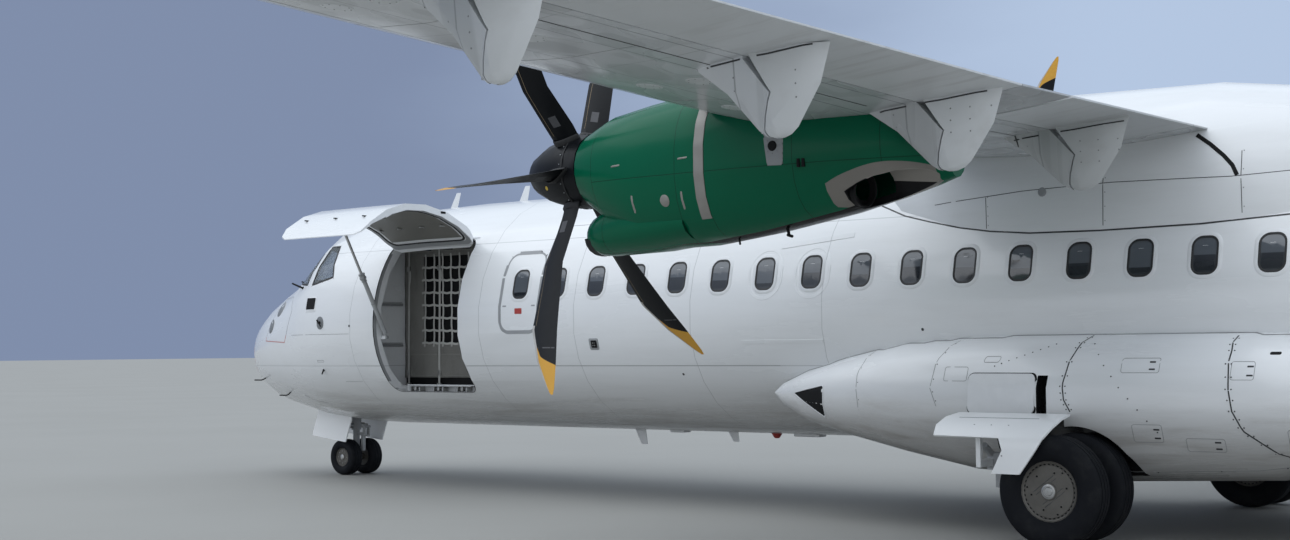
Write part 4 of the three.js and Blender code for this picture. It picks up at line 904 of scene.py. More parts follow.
def studs(name, places, radius, height, finish, body="airframe", sides=7):
    """Screw heads at (point, outward direction) pairs."""
    mesh = bpy.data.meshes.new(name + "_points")
    mesh.from_pydata([tuple(p) for p, _ in places], [], [])
    outward = mesh.attributes.new("outward", "FLOAT_VECTOR", "POINT")
    outward.data.foreach_set("vector", [c for _, n in places for c in n])
    values = {"Radius": radius, "Height": height, "Sides": sides, "Finish": finish}
    return grown(name, mesh, STUDS, values, body)


print("row and stud trees ready")

# %% [markdown]
# ## Cabin windows
# Each cabin window is a pane in a black rubber seal, in an oval cut whose rounded edge catches the light.
# The pane sits a little behind the skin. Cutting fifty holes in the hull isn't possible here and isn't
# needed: the seal stands a few millimetres proud, the pane is dark and glossy, and the eye reads the step
# between them. One window is laid on the hull by rays and repeated, because the cabin's section is the same
# all along it.

# %% Cabin windows
WINDOW_HALF = (0.112, 0.158)
CABIN_WINDOWS = 26
window_parts = {
    "frame": (((-0.030, 0.0005), (-0.024, 0.0035), (-0.008, 0.0055), (0.002, 0.0055), (0.006, 0.001)),
              trim_white),
    "seal": (((0.002, 0.004), (0.004, 0.0065), (0.012, 0.007), (0.019, 0.005), (0.021, 0.0005)), seal_black),
}
PANE_LEVELS = ((0.017, 0.002), (0.06, 0.0022), (0.10, 0.0024))


def window_at(skin, side, station, z=WINDOW_Z, half=WINDOW_HALF, steps=6):
    parts = {}
    for word, (levels, finish) in window_parts.items():
        parts[word] = (laid_rings(skin, side, station, z, half, 0.085, levels, steps=steps), finish)
    parts["pane"] = (laid_rings(skin, side, station, z, half, 0.085, PANE_LEVELS, cap=True, steps=steps),
                     pane_glass)
    return parts


for word, side in SIDES:
    first = FIRST_WINDOW + WINDOW_PITCH * 2
    for part, (shape, finish) in window_at(hull_skin, side, first).items():
        row_of(f"cabin_window_{part}s_{word}", shape, CABIN_WINDOWS - 1, (0, WINDOW_PITCH, 0), finish)
    for part, (shape, finish) in window_at(hull_skin, side, FIRST_WINDOW + WINDOW_PITCH).items():
        new_piece(f"front_window_{part}_{word}", *shape, finish)
    for part, (shape, finish) in window_at(hull_skin, side, FIRST_WINDOW).items():
        new_piece(f"exit_window_{part}_{word}", *shape, finish)
print("windows on each side:", CABIN_WINDOWS + 1)

# %% [markdown]
# ## Emergency exits
# The front exits are plugs in the hull: a grey band is painted round each so that rescuers find it. The
# band is a very thin raised ring on the plug's edge, with the small handle plate below the window.

# %% Exit bands
EXIT = {"from": 6.01, "to": 6.62, "low": 1.715, "high": 2.61, "corner": 0.15}
EXIT_MID = ((EXIT["from"] + EXIT["to"]) / 2, (EXIT["low"] + EXIT["high"]) / 2)
EXIT_HALF = ((EXIT["to"] - EXIT["from"]) / 2, (EXIT["high"] - EXIT["low"]) / 2)
for word, side in SIDES:
    plug = Skin(f"emergency_exit_{word}")
    band = laid_rings(plug, side, *EXIT_MID, EXIT_HALF, EXIT["corner"],
                      ((0.006, 0.0003), (0.007, 0.0016), (0.026, 0.0018), (0.044, 0.0016), (0.045, 0.0003)),
                      steps=8)
    new_piece(f"exit_band_{word}", *band, trim_grey)
    plate = laid_rings(plug, side, FIRST_WINDOW, 1.962, (0.052, 0.03), 0.006,
                       ((0.0, 0.0004), (0.001, 0.002), (0.008, 0.0022)), cap=True, steps=3)
    new_piece(f"exit_handle_plate_{word}", *plate, placard_red)
print("exit bands laid")

# %% [markdown]
# ## Simple solids
# Many fittings are bars, plates and short rods. Three small helpers make them from a few numbers, with the
# corners bevelled, because a sharp untreated edge never catches light and reads as a model. The pieces are
# shaped where they belong, in metres on the aircraft, so their objects stay unturned.


# %% Bars, rods and plates
def rod_mesh(start, end, radius, end_radius=None, sides=14, round_ends=True):
    """A round bar between two points, its ends softened by a small chamfer."""
    start, end = Vector(start), Vector(end)
    last = radius if end_radius is None else end_radius
    way = end - start
    length = way.length
    way.normalize()
    first_side = way.orthogonal().normalized()
    other_side = way.cross(first_side)
    soft = min(radius * 0.25, length * 0.2) if round_ends else 0.0001
    outs = [first_side * math.cos(t) + other_side * math.sin(t) for t in full_turn(sides)]
    levels = ((0, radius - soft), (soft, radius), (length - soft, last), (length, last - soft))
    rows = [[start + way * along + out * size for out in outs] for along, size in levels]
    return lofted(rows, cap_first=True, cap_last=True)


def bar_mesh(low, high, soft=0.002):
    """A box between two corners with every edge chamfered."""
    work = bmesh.new()
    corners = [(x, y, z) for x in (low[0], high[0]) for y in (low[1], high[1]) for z in (low[2], high[2])]
    for corner in corners:
        work.verts.new(corner)
    work.verts.ensure_lookup_table()
    bmesh.ops.convex_hull(work, input=work.verts)
    bmesh.ops.dissolve_limit(work, angle_limit=0.01, verts=work.verts, edges=work.edges)
    bmesh.ops.bevel(work, geom=work.edges, offset=soft, segments=2, affect="EDGES", profile=0.5)
    work.verts.index_update()
    made = [v.co.copy() for v in work.verts], [[v.index for v in f.verts] for f in work.faces]
    work.free()
    return made


def box_at(place, low, high, soft=0.002):
    """A chamfered box between two corners given from a place."""
    return bar_mesh(place + Vector(low), place + Vector(high), soft)


def block(x, station, z, soft=0.002):
    """A chamfered box from its ranges of x, station and height."""
    return bar_mesh((x[0], at_station(station[0]), z[0]), (x[1], at_station(station[1]), z[1]), soft)


def pipe_mesh(points, radius, sides=10):
    """A round pipe through several points."""
    points = [Vector(p) for p in points]
    turns = full_turn(sides)
    rows = []
    side = (points[1] - points[0]).orthogonal().normalized()
    for i, place in enumerate(points):
        ahead = (points[min(i + 1, len(points) - 1)] - points[max(i - 1, 0)]).normalized()
        side = (side - ahead * side.dot(ahead)).normalized()
        other = ahead.cross(side)
        rows.append([place + (side * math.cos(t) + other * math.sin(t)) * radius for t in turns])
    return lofted(rows, cap_first=True, cap_last=True)


def plate_on(skin, side, station, z, half, corner, thick, steps=3):
    """A thin plate with rounded corners that lies on the skin."""
    levels = ((0.0, -0.002), (0.0, thick * 0.7), (min(0.0015, half[1] * 0.2), thick))
    return laid_rings(skin, side, station, z, half, corner, levels, cap=True, steps=steps)


def outline_on(skin, side, station, z, half, corner, width=0.004, lift=0.0012, steps=5):
    """The fine dark joint round a panel that lies in the skin."""
    levels = ((0.0, -0.001), (0.0003, lift), (width, lift), (width + 0.0003, -0.001))
    return laid_rings(skin, side, station, z, half, corner, levels, steps=steps)


def side_trace(skin, side, path, steps_between=8, far=3.0):
    """(point, normal) pairs along a skin, seen from the side through (station, height) points."""
    starts = [Vector((side * far, at_station(station), z)) for station, z in path]
    run = []
    for first, last in zip(starts, starts[1:]):
        run += [skin.meet(first.lerp(last, i / steps_between), (-side, 0, 0)) for i in range(steps_between)]
    return run + [skin.meet(starts[-1], (-side, 0, 0))]


print("solid helpers ready")

# %% [markdown]
# ## Cargo door opening
# The big front door lets cargo nets and baggage into a bay behind the crew. Round its opening runs a grey
# pressed frame with a rubber seal on it, the sill carries a scuff plate with three latch hooks, and the
# roof edge is dark: a black seal with painted shade in the gap where the seal and the hinge line meet.
# Rails and panel joints show on the bay's front wall. The frame follows the cut by rays from the side, so it
# takes the hull's curve without any measuring.

# %% Opening frame, sill and bay wall
OPENING = {"from": 4.015, "to": 5.395, "low": 1.085, "high": 2.790}
OPEN_MID = ((OPENING["from"] + OPENING["to"]) / 2, (OPENING["low"] + OPENING["high"]) / 2)
OPEN_HALF = ((OPENING["to"] - OPENING["from"]) / 2, (OPENING["high"] - OPENING["low"]) / 2)
OPEN_CORNER = 0.13
HULL_HALF, HULL_MIDDLE, HULL_UP, HULL_DOWN = 1.4325, 1.85, 1.432, 1.174


def hull_x(z):
    """Half width of the hull at a height: two half ellipses that meet at its widest line."""
    tall = HULL_UP if z > HULL_MIDDLE else HULL_DOWN
    return HULL_HALF * math.sqrt(max(0.0, 1 - ((z - HULL_MIDDLE) / tall) ** 2))


def refined(ring, pieces):
    """The ring with its long straight sides divided, so they follow the hull."""
    made = []
    for i, place in enumerate(ring):
        after = ring[(i + 1) % len(ring)]
        count = pieces if (after - place).length > 0.2 else 1
        made += [place.lerp(after, k / count) for k in range(count)]
    return made


def opening_loop(levels):
    """Faces between rings round the opening, each at an (inset, depth under the hull's skin)."""
    rows = []
    for inset, depth in levels:
        ring = []
        for a, b in rounded(OPEN_HALF[0] - inset, OPEN_HALF[1] - inset, OPEN_CORNER - inset, 8):
            z = OPEN_MID[1] + b
            ring.append(Vector((hull_x(z) - depth, at_station(OPEN_MID[0] + a), z)))
        rows.append([Vector((hull_x(p.z) - depth, p.y, p.z)) for p in refined(ring, 14)])
    return lofted(rows)


frame_face = opening_loop(((-0.0006, 0.010), (0.0022, 0.010), (0.0026, 0.016), (0.0026, 0.055),
                           (-0.0006, 0.056)))
new_piece("cargo_opening_frame", *frame_face, trim_grey)
seal_ring = opening_loop(((-0.0006, 0.012), (0.001, 0.002), (0.0028, 0.003), (0.0030, 0.009),
                          (0.0022, 0.014)))
new_piece("cargo_opening_seal", *seal_ring, seal_black)

LATCHES = (4.32, 4.70, 5.08)  # stations of the sill's hooks and of the door's latches
sill_parts = []
for low, high in ((1.086, 1.094), (1.150, 1.158)):
    sill_parts.append(block((0.93, hull_x(low + 0.01) - 0.05), (4.14, 5.27), (low, high), 0.0015))
out = hull_x(1.10) - 0.03
for station in LATCHES:
    for s in (station - 0.075, station + 0.075):
        sill_parts.append(block((out - 0.09, out - 0.01), (s - 0.011, s + 0.011), (1.088, 1.146)))
    ends = [(out - 0.05, at_station(station + shift), 1.125) for shift in (-0.075, 0.075)]
    sill_parts.append(rod_mesh(*ends, 0.011))
    sill_parts.append(block((out - 0.07, out - 0.012), (station - 0.018, station + 0.018), (1.100, 1.150),
                            0.004))
joined("cargo_sill_latches", sill_parts, fitting_steel)
riser = block((out - 0.107, out - 0.095), (4.10, 5.31), (1.088, 1.168), 0.003)
new_piece("cargo_sill_riser", *riser, trim_white)

sill_rows = []
for i in range(11):
    y = at_station(4.10 + 1.21 * i / 10)
    sill_rows.append([Vector((hull_x(1.09) - depth, y, z))
                      for depth, z in ((0.012, 1.088), (0.010, 1.092), (0.17, 1.092), (0.17, 1.088))])
new_piece("cargo_sill_plate", *lofted(sill_rows, True, True, True), trim_grey)

wall_parts = []
for z in (1.62, 2.10):
    wall_parts.append(block((0.66, 1.30), (3.661, 3.683), (z - 0.016, z + 0.016), 0.003))
    wall_parts.append(block((0.66, 1.30), (3.661, 3.668), (z + 0.024, z + 0.030), 0.001))
joined("bay_wall_rails", wall_parts, trim_grey)

# A black seal and painted shade in the gap at the roof edge.
top_parts = [block((0.90, 0.985), (station - 0.03, station + 0.03), (2.70, 2.775), 0.004)
             for station in (4.40, 4.75, 5.05, 5.31)]
top_parts.append(block((0.90, 0.985), (4.20, 5.36), (2.765, 2.784), 0.003))
joined("bay_top_seal", top_parts, black_parts_and_recess_shade)
print("opening dressed")

# %% [markdown]
# ## Cargo door
# The open door shows its inner side. A lining panel is recessed in a grey edge frame, with the latch
# rollers along the free edge and three dark drain slits in the outer skin. All of it is modelled on the
# door where it stands open and rides on the door's body, so it swings with it. Rays from below and from
# above find the door's own surfaces.

# %% Door lining, edge frame, latches and slits
door_skin = Skin("cargo_door")
DOOR_X = (1.135, 2.745)
DOOR_S = (4.037, 5.373)


def door_under(x, station):
    return door_skin.meet((x, at_station(station), 1.9), (0.0, 0, 1))


def under_ring(inset, lift):
    """A ring on the door's inner side, on its own curved sheet."""
    mid = ((DOOR_X[0] + DOOR_X[1]) / 2, (DOOR_S[0] + DOOR_S[1]) / 2)
    half = ((DOOR_X[1] - DOOR_X[0]) / 2 - inset, (DOOR_S[1] - DOOR_S[0]) / 2 - inset)
    flat = [Vector((mid[0] + a, mid[1] + b, 0)) for a, b in rounded(*half, 0.10, 5)]
    return [lifted(door_under(p.x, p.y), lift) for p in refined(flat, 12)]


edge_rows = [under_ring(*level) for level in ((0.0, 0.0005), (0.001, 0.004), (0.038, 0.004), (0.040, 0.0005))]
new_piece("cargo_door_edge_frame", *lofted(edge_rows), trim_grey, "cargo_door")
seal_rows = [under_ring(*level) for level in ((0.046, 0.0), (0.050, 0.009), (0.060, 0.009), (0.064, 0.0))]
new_piece("cargo_door_seal", *lofted(seal_rows), seal_black, "cargo_door")

lining_rows = []
for i in range(15):
    x = DOOR_X[0] + 0.10 + (DOOR_X[1] - DOOR_X[0] - 0.22) * i / 14
    row = []
    for k in range(11):
        station = DOOR_S[0] + 0.10 + (DOOR_S[1] - DOOR_S[0] - 0.20) * k / 10
        row.append(lifted(door_under(x, station), 0.001 if i in (0, 14) or k in (0, 10) else 0.006))
    lining_rows.append(row)
lining_finish = metal_finish("door_lining_beige", (0.155, 0.152, 0.138), (0.215, 0.21, 0.192), 0.45, 0.65,
                             4.0)
new_piece("cargo_door_lining", *lofted(lining_rows, closed_ring=False), lining_finish, "cargo_door",
          outward=lambda p: Vector((0, 0, -1)))

door_metal = []
for station in LATCHES:
    place, _ = door_under(2.66, station)
    for shift in (-0.03, 0.03):
        door_metal.append(box_at(place, (-0.03, shift - 0.006, -0.026), (0.03, shift + 0.006, 0.004)))
    door_metal.append(rod_mesh(place + Vector((0, -0.04, -0.014)), place + Vector((0, 0.04, -0.014)), 0.009))
for station in (4.20, 4.52, 4.88, 5.20):
    door_metal.append(box_at(door_under(1.45, station)[0], (-0.16, -0.012, -0.016), (0.05, 0.012, 0.0),
                             0.003))
joined("cargo_door_fittings", door_metal, fitting_steel, "cargo_door")

ducts = []
for (x0, s0), (x1, s1) in (((1.75, 4.30), (2.45, 4.30)), ((1.75, 4.30), (1.75, 4.62)),
                           ((2.10, 5.0), (2.55, 5.0))):
    line = [door_under(x0 + (x1 - x0) * i / 8, s0 + (s1 - s0) * i / 8) for i in range(9)]
    ducts.append(strip_along([(place + normal * 0.005, normal) for place, normal in line], 0.007, 0.006))
joined("cargo_door_cable_ducts", ducts, trim_grey, "cargo_door")

# Painted shade: the drain slits are black plates on the skin.
slits = []
for station in (4.22, 4.70, 5.16):
    place, _ = door_skin.meet((2.52, at_station(station), 4.2), (0, 0, -1))
    slits.append(box_at(place, (-0.045, -0.011, -0.01), (0.045, 0.011, 0.0015), 0.001))
joined("cargo_door_drain_slits", slits, black_parts_and_recess_shade, "cargo_door")

edge_marks = []
for x, z in ((1.62, 3.045), (2.02, 3.045), (2.40, 2.93)):
    place, _ = door_skin.meet((x, at_station(6.2), z), (0, -1, 0))
    edge_marks.append(box_at(place, (-0.035, -0.002, -0.012), (0.035, 0.004, 0.012), 0.001))
joined("cargo_door_edge_latches", edge_marks, black_parts_and_recess_shade, "cargo_door")
print("door dressed")

# %% [markdown]
# ## Strut details
# The strut that holds the door is a long gas spring: a bright rod in a grey tube, with a collar where they
# meet and a lock sleeve. The collar and the clamp rings ride on the tube, and a small pin shows at the
# lower eye.

# %% Strut collar and clamps
STRUT_LOW = Vector((1.275, at_station(4.085), 1.710))
STRUT_HIGH = Vector((1.960, at_station(4.085), 3.000))
strut_way = (STRUT_LOW - STRUT_HIGH).normalized()
rings = ((0.648, 0.668, 0.038), (0.690, 0.716, 0.040), (0.735, 0.750, 0.032), (1.02, 1.04, 0.028))
collar = [rod_mesh(STRUT_HIGH + strut_way * first, STRUT_HIGH + strut_way * last, radius)
          for first, last, radius in rings]
joined("cargo_strut_collar", collar, trim_grey, "strut_tube")
pin = rod_mesh((1.275, at_station(4.048), 1.710), (1.275, at_station(4.051), 1.710), 0.012)
new_piece("cargo_strut_pin", *pin, fitting_steel, "strut_tube")
print("strut dressed")

# %% [markdown]
# ## Bay curtain
# A grey cloth curtain closes the bay off from the cabin aisle. It hangs from the roof on webbing straps,
# and a window of cargo net is sewn into its middle. The cloth could be simulated, but it is held at its
# top, its foot and both ends, so it barely moves: soft vertical folds pressed by a few sums give the same
# look and are the same on every run. Folds are deeper where the cloth is free, and die out towards the sewn
# edges of the net. The curtain is one flat cloth with a rectangle cut out, so its flat area is known.

# %% Curtain cloth
CURTAIN_X = 0.617
CLOTH = {"from": 3.672, "to": 6.968, "low": 1.240, "high": 2.960}
NET = {"from": 4.00, "to": 6.64, "low": 1.63, "high": 2.655}


def fold_depth(station, z):
    """How far the cloth stands out of its plane."""
    net_side = max(NET["from"] - station, station - NET["to"], NET["low"] - z, z - NET["high"])
    free = min(1.0, max(0.0, net_side / 0.12))
    wide = math.sin(station * 9.1 + 0.8 * math.sin(z * 2.3)) * 0.5
    fine = math.sin(station * 34.0 + 5.1 * z + 1.8 * math.sin(z * 7.0)) * 0.4
    pinch = math.sin(station * 19.0 - z * 13.0) * math.sin(z * 17.0 + station * 5.0) * 0.6
    return 0.0085 * free * (wide + fine + pinch)


def cloth_grid():
    stations = [CLOTH["from"] + (CLOTH["to"] - CLOTH["from"]) * i / 118 for i in range(119)]
    heights = [CLOTH["low"] + (CLOTH["high"] - CLOTH["low"]) * k / 62 for k in range(63)]
    stations = sorted(set(stations) | {NET["from"], NET["to"]})
    heights = sorted(set(heights) | {NET["low"], NET["high"]})
    number, vertices, faces = {}, [], []

    def corner(i, k):
        if (i, k) not in number:
            number[(i, k)] = len(vertices)
            s, z = stations[i], heights[k]
            vertices.append(Vector((CURTAIN_X + fold_depth(s, z), at_station(s), z)))
        return number[(i, k)]

    for i in range(len(stations) - 1):
        for k in range(len(heights) - 1):
            s = (stations[i] + stations[i + 1]) / 2
            z = (heights[k] + heights[k + 1]) / 2
            if NET["from"] < s < NET["to"] and NET["low"] < z < NET["high"]:
                continue
            faces.append([corner(i, k), corner(i + 1, k), corner(i + 1, k + 1), corner(i, k + 1)])
    return vertices, faces


def cloth_recipe(point):
    _, y, z = parts_of(point)
    weave = (y * 2600.0).math("SINE") * (z * 2600.0).math("SINE")
    crease = grain(stretched(point, 1, 3.0, 1.2), 2.6, 5.0, 0.6)
    worn = grain(point, 1.7, 3.0)
    colour = blend_colour(worn, (0.20, 0.195, 0.18, 1), (0.30, 0.295, 0.27, 1))
    # Painted shade: the cloth darkens in its creases.
    colour = blend_colour(fade(crease, 0.52, 0.75) * 0.4, colour, (0.12, 0.118, 0.11, 1))
    hem = near_any(z, (1.262, 1.51, 2.938, 2.715), 0.006) * 0.5
    colour = blend_colour(hem, colour, (0.34, 0.335, 0.31, 1))
    return {
        "Base Color": colour,
        "Roughness": 0.75 + 0.12 * crease,
        "Normal": bump(weave * 0.1 + crease * 1.4, 0.020, 0.8),
    }


curtain_cloth = new_finish("curtain_grey_cloth", cloth_recipe, {"Sheen Weight": 0.2})
webbing = metal_finish("pale_webbing", (0.42, 0.42, 0.40), (0.56, 0.56, 0.54), 0.7, 0.85, 40.0)

vertices, faces = cloth_grid()
curtain = new_piece("bay_curtain_cloth", vertices, faces, curtain_cloth, outward=lambda p: Vector((1, 0, 0)))
thick = curtain.modifiers.new("thickness", "SOLIDIFY")
thick.thickness = 0.0022
thick.offset = 0.0
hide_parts("cargo_curtain")

# %% [markdown]
# ## Cargo net and straps
# The net is flat webbing in two directions, stitched where the bands cross, a little loose, so each band
# sags between its crossings. Behind it the dark cabin shows, so a black sheet is stretched there as painted
# shade, and another fills the gap under the curtain's foot as painted shade. Long straps with buckles run
# from roof to floor over the cloth and carry the load into the floor track.


# %% Net, backing and straps
def band(points, half, thick, across):
    """A flat strap through points, half wide along across."""
    rows = []
    side = Vector(across).normalized()
    for i, place in enumerate(points):
        ahead = (points[min(i + 1, len(points) - 1)] - points[max(i - 1, 0)]).normalized()
        up_way = ahead.cross(side).normalized() * thick
        outline = ((1, 0.3), (0.85, 0.5), (-0.85, 0.5), (-1, 0.3), (-1, -0.3), (-0.85, -0.5), (0.85, -0.5),
                   (1, -0.3))
        rows.append([place + side * half * a + up_way * b for a, b in outline])
    return lofted(rows, cap_first=True, cap_last=True)


PITCH = 0.147
WEB_HALF, WEB_THICK = 0.0125, 0.0022
net_columns = [NET["from"] + 0.02 + PITCH * i for i in range(18)]
net_rows = [NET["low"] + 0.02 + PITCH * k for k in range(7)]


def net_sag(station, z):
    """How far a crossing is pulled down and to the side by the slack."""
    return (0.010 * math.sin(station * 5.3 + z * 2.0), -0.012 * math.sin(station * 3.1) ** 2)


bands = []
for station in net_columns:
    line = []
    for i in range(29):
        z = NET["low"] - 0.03 + (NET["high"] - NET["low"] + 0.06) * i / 28
        shift, _ = net_sag(station, z)
        slack = 0.006 * math.sin(math.pi * (z - net_rows[0]) / PITCH)
        line.append(Vector((CURTAIN_X + 0.0045, at_station(station + shift + slack), z)))
    bands.append(band(line, WEB_HALF, WEB_THICK, (0, 1, 0)))
for z in net_rows:
    line = []
    for i in range(109):
        station = NET["from"] - 0.03 + (NET["to"] - NET["from"] + 0.06) * i / 108
        _, drop = net_sag(station, z)
        sag = -0.010 * math.sin(math.pi * (station - net_columns[0]) / PITCH) ** 2
        line.append(Vector((CURTAIN_X + 0.007, at_station(station), z + drop + sag)))
    bands.append(band(line, WEB_HALF, WEB_THICK, (0, 0, 1)))
joined("bay_net_webbing", bands, webbing)

# Painted shade: black sheets behind the net and in the gap under the curtain's foot.
back = block((0.603, 0.606), (3.99, 6.66), (1.60, 2.69), 0.001)
under = block((0.603, 0.606), (3.68, 6.96), (1.158, 1.26), 0.001)
joined("bay_net_backing", [back, under], black_parts_and_recess_shade)

strap_parts, buckles = [], []
for number, station in enumerate((3.75, 4.27, 4.92, 5.55, 6.17, 6.80)):
    line = []
    for i in range(25):
        z = 1.165 + 1.79 * i / 24
        line.append(Vector((CURTAIN_X + 0.0125, at_station(station + 0.006 * math.sin(z * 3 + number)), z)))
    strap_parts.append(band(line, 0.015, 0.003, (0, 1, 0)))
    tail = [Vector((CURTAIN_X + 0.018, at_station(station + 0.022 + 0.012 * math.sin(i * 0.5)),
                    2.50 - 0.022 * i))
            for i in range(12)]
    strap_parts.append(band(tail, 0.013, 0.002, (0, 1, 0)))
    for z in (2.52, 1.30):
        buckles.append(block((CURTAIN_X + 0.010, CURTAIN_X + 0.022), (station - 0.024, station + 0.024),
                             (z - 0.03, z + 0.03), 0.003))
    buckles.append(block((CURTAIN_X, CURTAIN_X + 0.03), (station - 0.03, station + 0.03), (1.152, 1.175),
                         0.004))
joined("bay_curtain_straps", strap_parts, webbing)
joined("bay_strap_buckles", buckles, fitting_steel)
print("net of", len(net_columns), "by", len(net_rows), "bands")

# %% [markdown]
# ## Propeller details
# Each blade wears a pale nickel strip on its swept outer leading edge, a fine heating cable line further
# in, and a small patch at its root. They have to lie on the blade, whose shape is a table of sections:
# chord, thickness, sweep and pitch against the share of the radius. The same table places a point anywhere
# on a blade, and one turn about the hub takes it to each of the six. All of it rides on the propeller, so
# it spins along.


# %% Points on a blade
BLADE = (
    (0.13, 215, 0.42, 0, 21), (0.22, 238, 0.26, -12, 18), (0.42, 240, 0.12, -60, 11),
    (0.62, 262, 0.075, -5, 5),
    (0.72, 282, 0.06, 22, 3), (0.86, 200, 0.05, 138, 0), (0.975, 70, 0.045, 268, -2),
    (1.0, 22, 0.08, 300, -2),
)
BLADE_STOPS = {"left": 0.154, "right": 0.573}
HUB_STATION = 9.58


def blade_row(share):
    for first, last in zip(BLADE, BLADE[1:]):
        if share <= last[0]:
            t = max(0.0, (share - first[0]) / (last[0] - first[0]))
            return [a + (b - a) * t for a, b in zip(first, last)]
    return list(BLADE[-1])


def skin_height(t, thick):
    """Half thickness over chord of the blade's section at a share of its chord."""
    front = 0.2969 * math.sqrt(max(0, t))
    return 5 * thick * (front - 0.126 * t - 0.3516 * t * t + 0.2843 * t**3 - 0.1036 * t**4)


def blade_point(word, number, share, t, face, lift=0.0):
    """A point on blade number: t runs from the leading edge back, face is 1 or -1, lift stands off it."""
    _, chord, thick, sweep, pitch = blade_row(share)
    turn = math.radians(pitch)
    along = (t - 0.4) * chord
    across = face * (skin_height(t, thick) * chord + lift * 1000)
    low = Vector((share * PROP_R * 1000, sweep + along * math.cos(turn) - across * math.sin(turn),
                  along * math.sin(turn) + across * math.cos(turn))) / 1000
    angle = BLADE_STOPS[word] + number * math.pi / 3
    spun = Vector((low.x * math.cos(angle) + low.z * math.sin(angle), low.y,
                   -low.x * math.sin(angle) + low.z * math.cos(angle)))
    side = dict(SIDES)[word]
    return spun + Vector((side * HUB_X, at_station(HUB_STATION), HUB_Z))


def blade_strip(word, number, shares, t_from, t_to, off, faces_of=(1, -1)):
    """A thin sheet round a blade's edge or on one face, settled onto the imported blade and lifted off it."""
    if len(faces_of) == 2:
        mid = (t_from + t_to) / 2
        profile = [(t_to, 1), (mid, 1), (t_from, 1), (0.0, 1), (t_from, -1), (mid, -1), (t_to, -1)]
    else:
        profile = [(t_from + (t_to - t_from) * i / 3, faces_of[0]) for i in range(4)]
    rows = []
    for share in shares:
        near_row = [blade_point(word, number, share, t, face, 0.0012) for t, face in profile]
        rows.append([lifted(BLADE_SKINS[word].tree.find_nearest(p)[:2], off) for p in near_row])
    return lofted(rows, closed_ring=False)


BLADE_SKINS = {word: Skin(f"propeller_{word}") for word, _ in SIDES}


# %% Strips, lines and patches on the blades
pale_strip = metal_finish("strip_pale_metal", (0.42, 0.40, 0.37), (0.62, 0.60, 0.56), 0.3, 0.5,
                          fixed={"Metallic": 0.5})
tan_line = metal_finish("blade_line_tan", (0.20, 0.15, 0.09), (0.30, 0.22, 0.13), 0.5, 0.7, 30.0)
patch_grey = metal_finish("blade_patch_grey", (0.05, 0.05, 0.055), (0.10, 0.10, 0.11), 0.4, 0.6, 30.0)
outer = [0.70 + 0.285 * i / 16 for i in range(17)]
inner = [0.20 + 0.50 * i / 14 for i in range(15)]
for word, side in SIDES:
    strips, lines, patches, marks = [], [], [], []
    for number in range(6):
        strips.append(blade_strip(word, number, outer, 0.02, 0.10, 0.0010))
        for face in ((1,), (-1,)):
            lines.append(blade_strip(word, number, inner, 0.145, 0.165, 0.0009, face))
            patches.append(blade_strip(word, number, (0.235, 0.255, 0.285), 0.35, 0.62, 0.0010, face))
            marks.append(blade_strip(word, number, (0.797, 0.7995, 0.802), 0.16, 0.92, 0.0009, face))
    for name, parts, finish in (("edge_strips", strips, pale_strip), ("cable_lines", lines, tan_line),
                                ("root_patches", patches, patch_grey), ("cross_lines", marks, patch_grey)):
        joined(f"blade_{name}_{word}", parts, finish, f"propeller_{word}")
print("blades dressed")

# %% [markdown]
# ## Spinner
# The spinner is a glossy black dome with a joint ring at its back plate, a row of screws there, and a split
# rubber collar round each blade's root. Its screws are studs grown on points round the ring.

# %% Spinner ring, screws and blade collars
ROOT_ROUND = [(1, 1.0 - 0.98 * (i / 9) ** 0.6) for i in range(10)]
ROOT_ROUND += [(-1, 0.02 + 0.98 * (i / 9) ** 1.7) for i in range(10)]
for word, side in SIDES:
    rides = f"propeller_{word}"
    centre = Vector((side * HUB_X, 0, HUB_Z))
    rings = []
    for station, radius in ((9.626, 0.3062), (9.628, 0.3085), (9.640, 0.3085), (9.642, 0.3062)):
        middle = centre + Vector((0, at_station(station), 0))
        rings.append([middle + Vector((math.cos(t), 0, math.sin(t))) * radius for t in full_turn(96)])
    new_piece(f"spinner_joint_ring_{word}", *lofted(rings), seal_black, rides)
    middle = centre + Vector((0, at_station(9.610), 0))
    outs = [Vector((math.cos(t), 0, math.sin(t))) for t in full_turn(24, 0.5)]
    screws = [(middle + out * 0.3045, out) for out in outs]
    studs(f"spinner_screws_{word}", screws, 0.006, 0.004, steel, rides)
    collars = []
    for number in range(6):
        rows = []
        for share, lift in ((0.150, 0.002), (0.153, 0.012), (0.172, 0.012), (0.178, 0.002)):
            rows.append([blade_point(word, number, share, t, face, lift) for face, t in ROOT_ROUND])
        collars.append(lofted(rows))
    joined(f"blade_root_collars_{word}", collars, seal_black, rides)
    yellow_out = Vector((math.cos(math.radians(-20)) * side, 0, math.sin(math.radians(-35)))).normalized()
    spot = centre + Vector((0, at_station(9.40), 0)) + yellow_out * 0.6
    found, normal = BLADE_SKINS[word].meet(spot, -yellow_out)
    across = normal.orthogonal().normalized()
    other = normal.cross(across)
    disc = [found + normal * 0.0015 + (across * math.cos(k) * 0.022 + other * math.sin(k) * 0.016)
            for k in full_turn(12)]
    base = [p - normal * 0.003 for p in disc]
    gold = metal_finish(f"mark_yellow_{word}", (0.55, 0.38, 0.03), (0.68, 0.47, 0.05), 0.4, 0.6)
    new_piece(f"spinner_balance_mark_{word}", *lofted([base, disc], cap_first=True, cap_last=True), gold,
              rides)
print("spinners dressed")

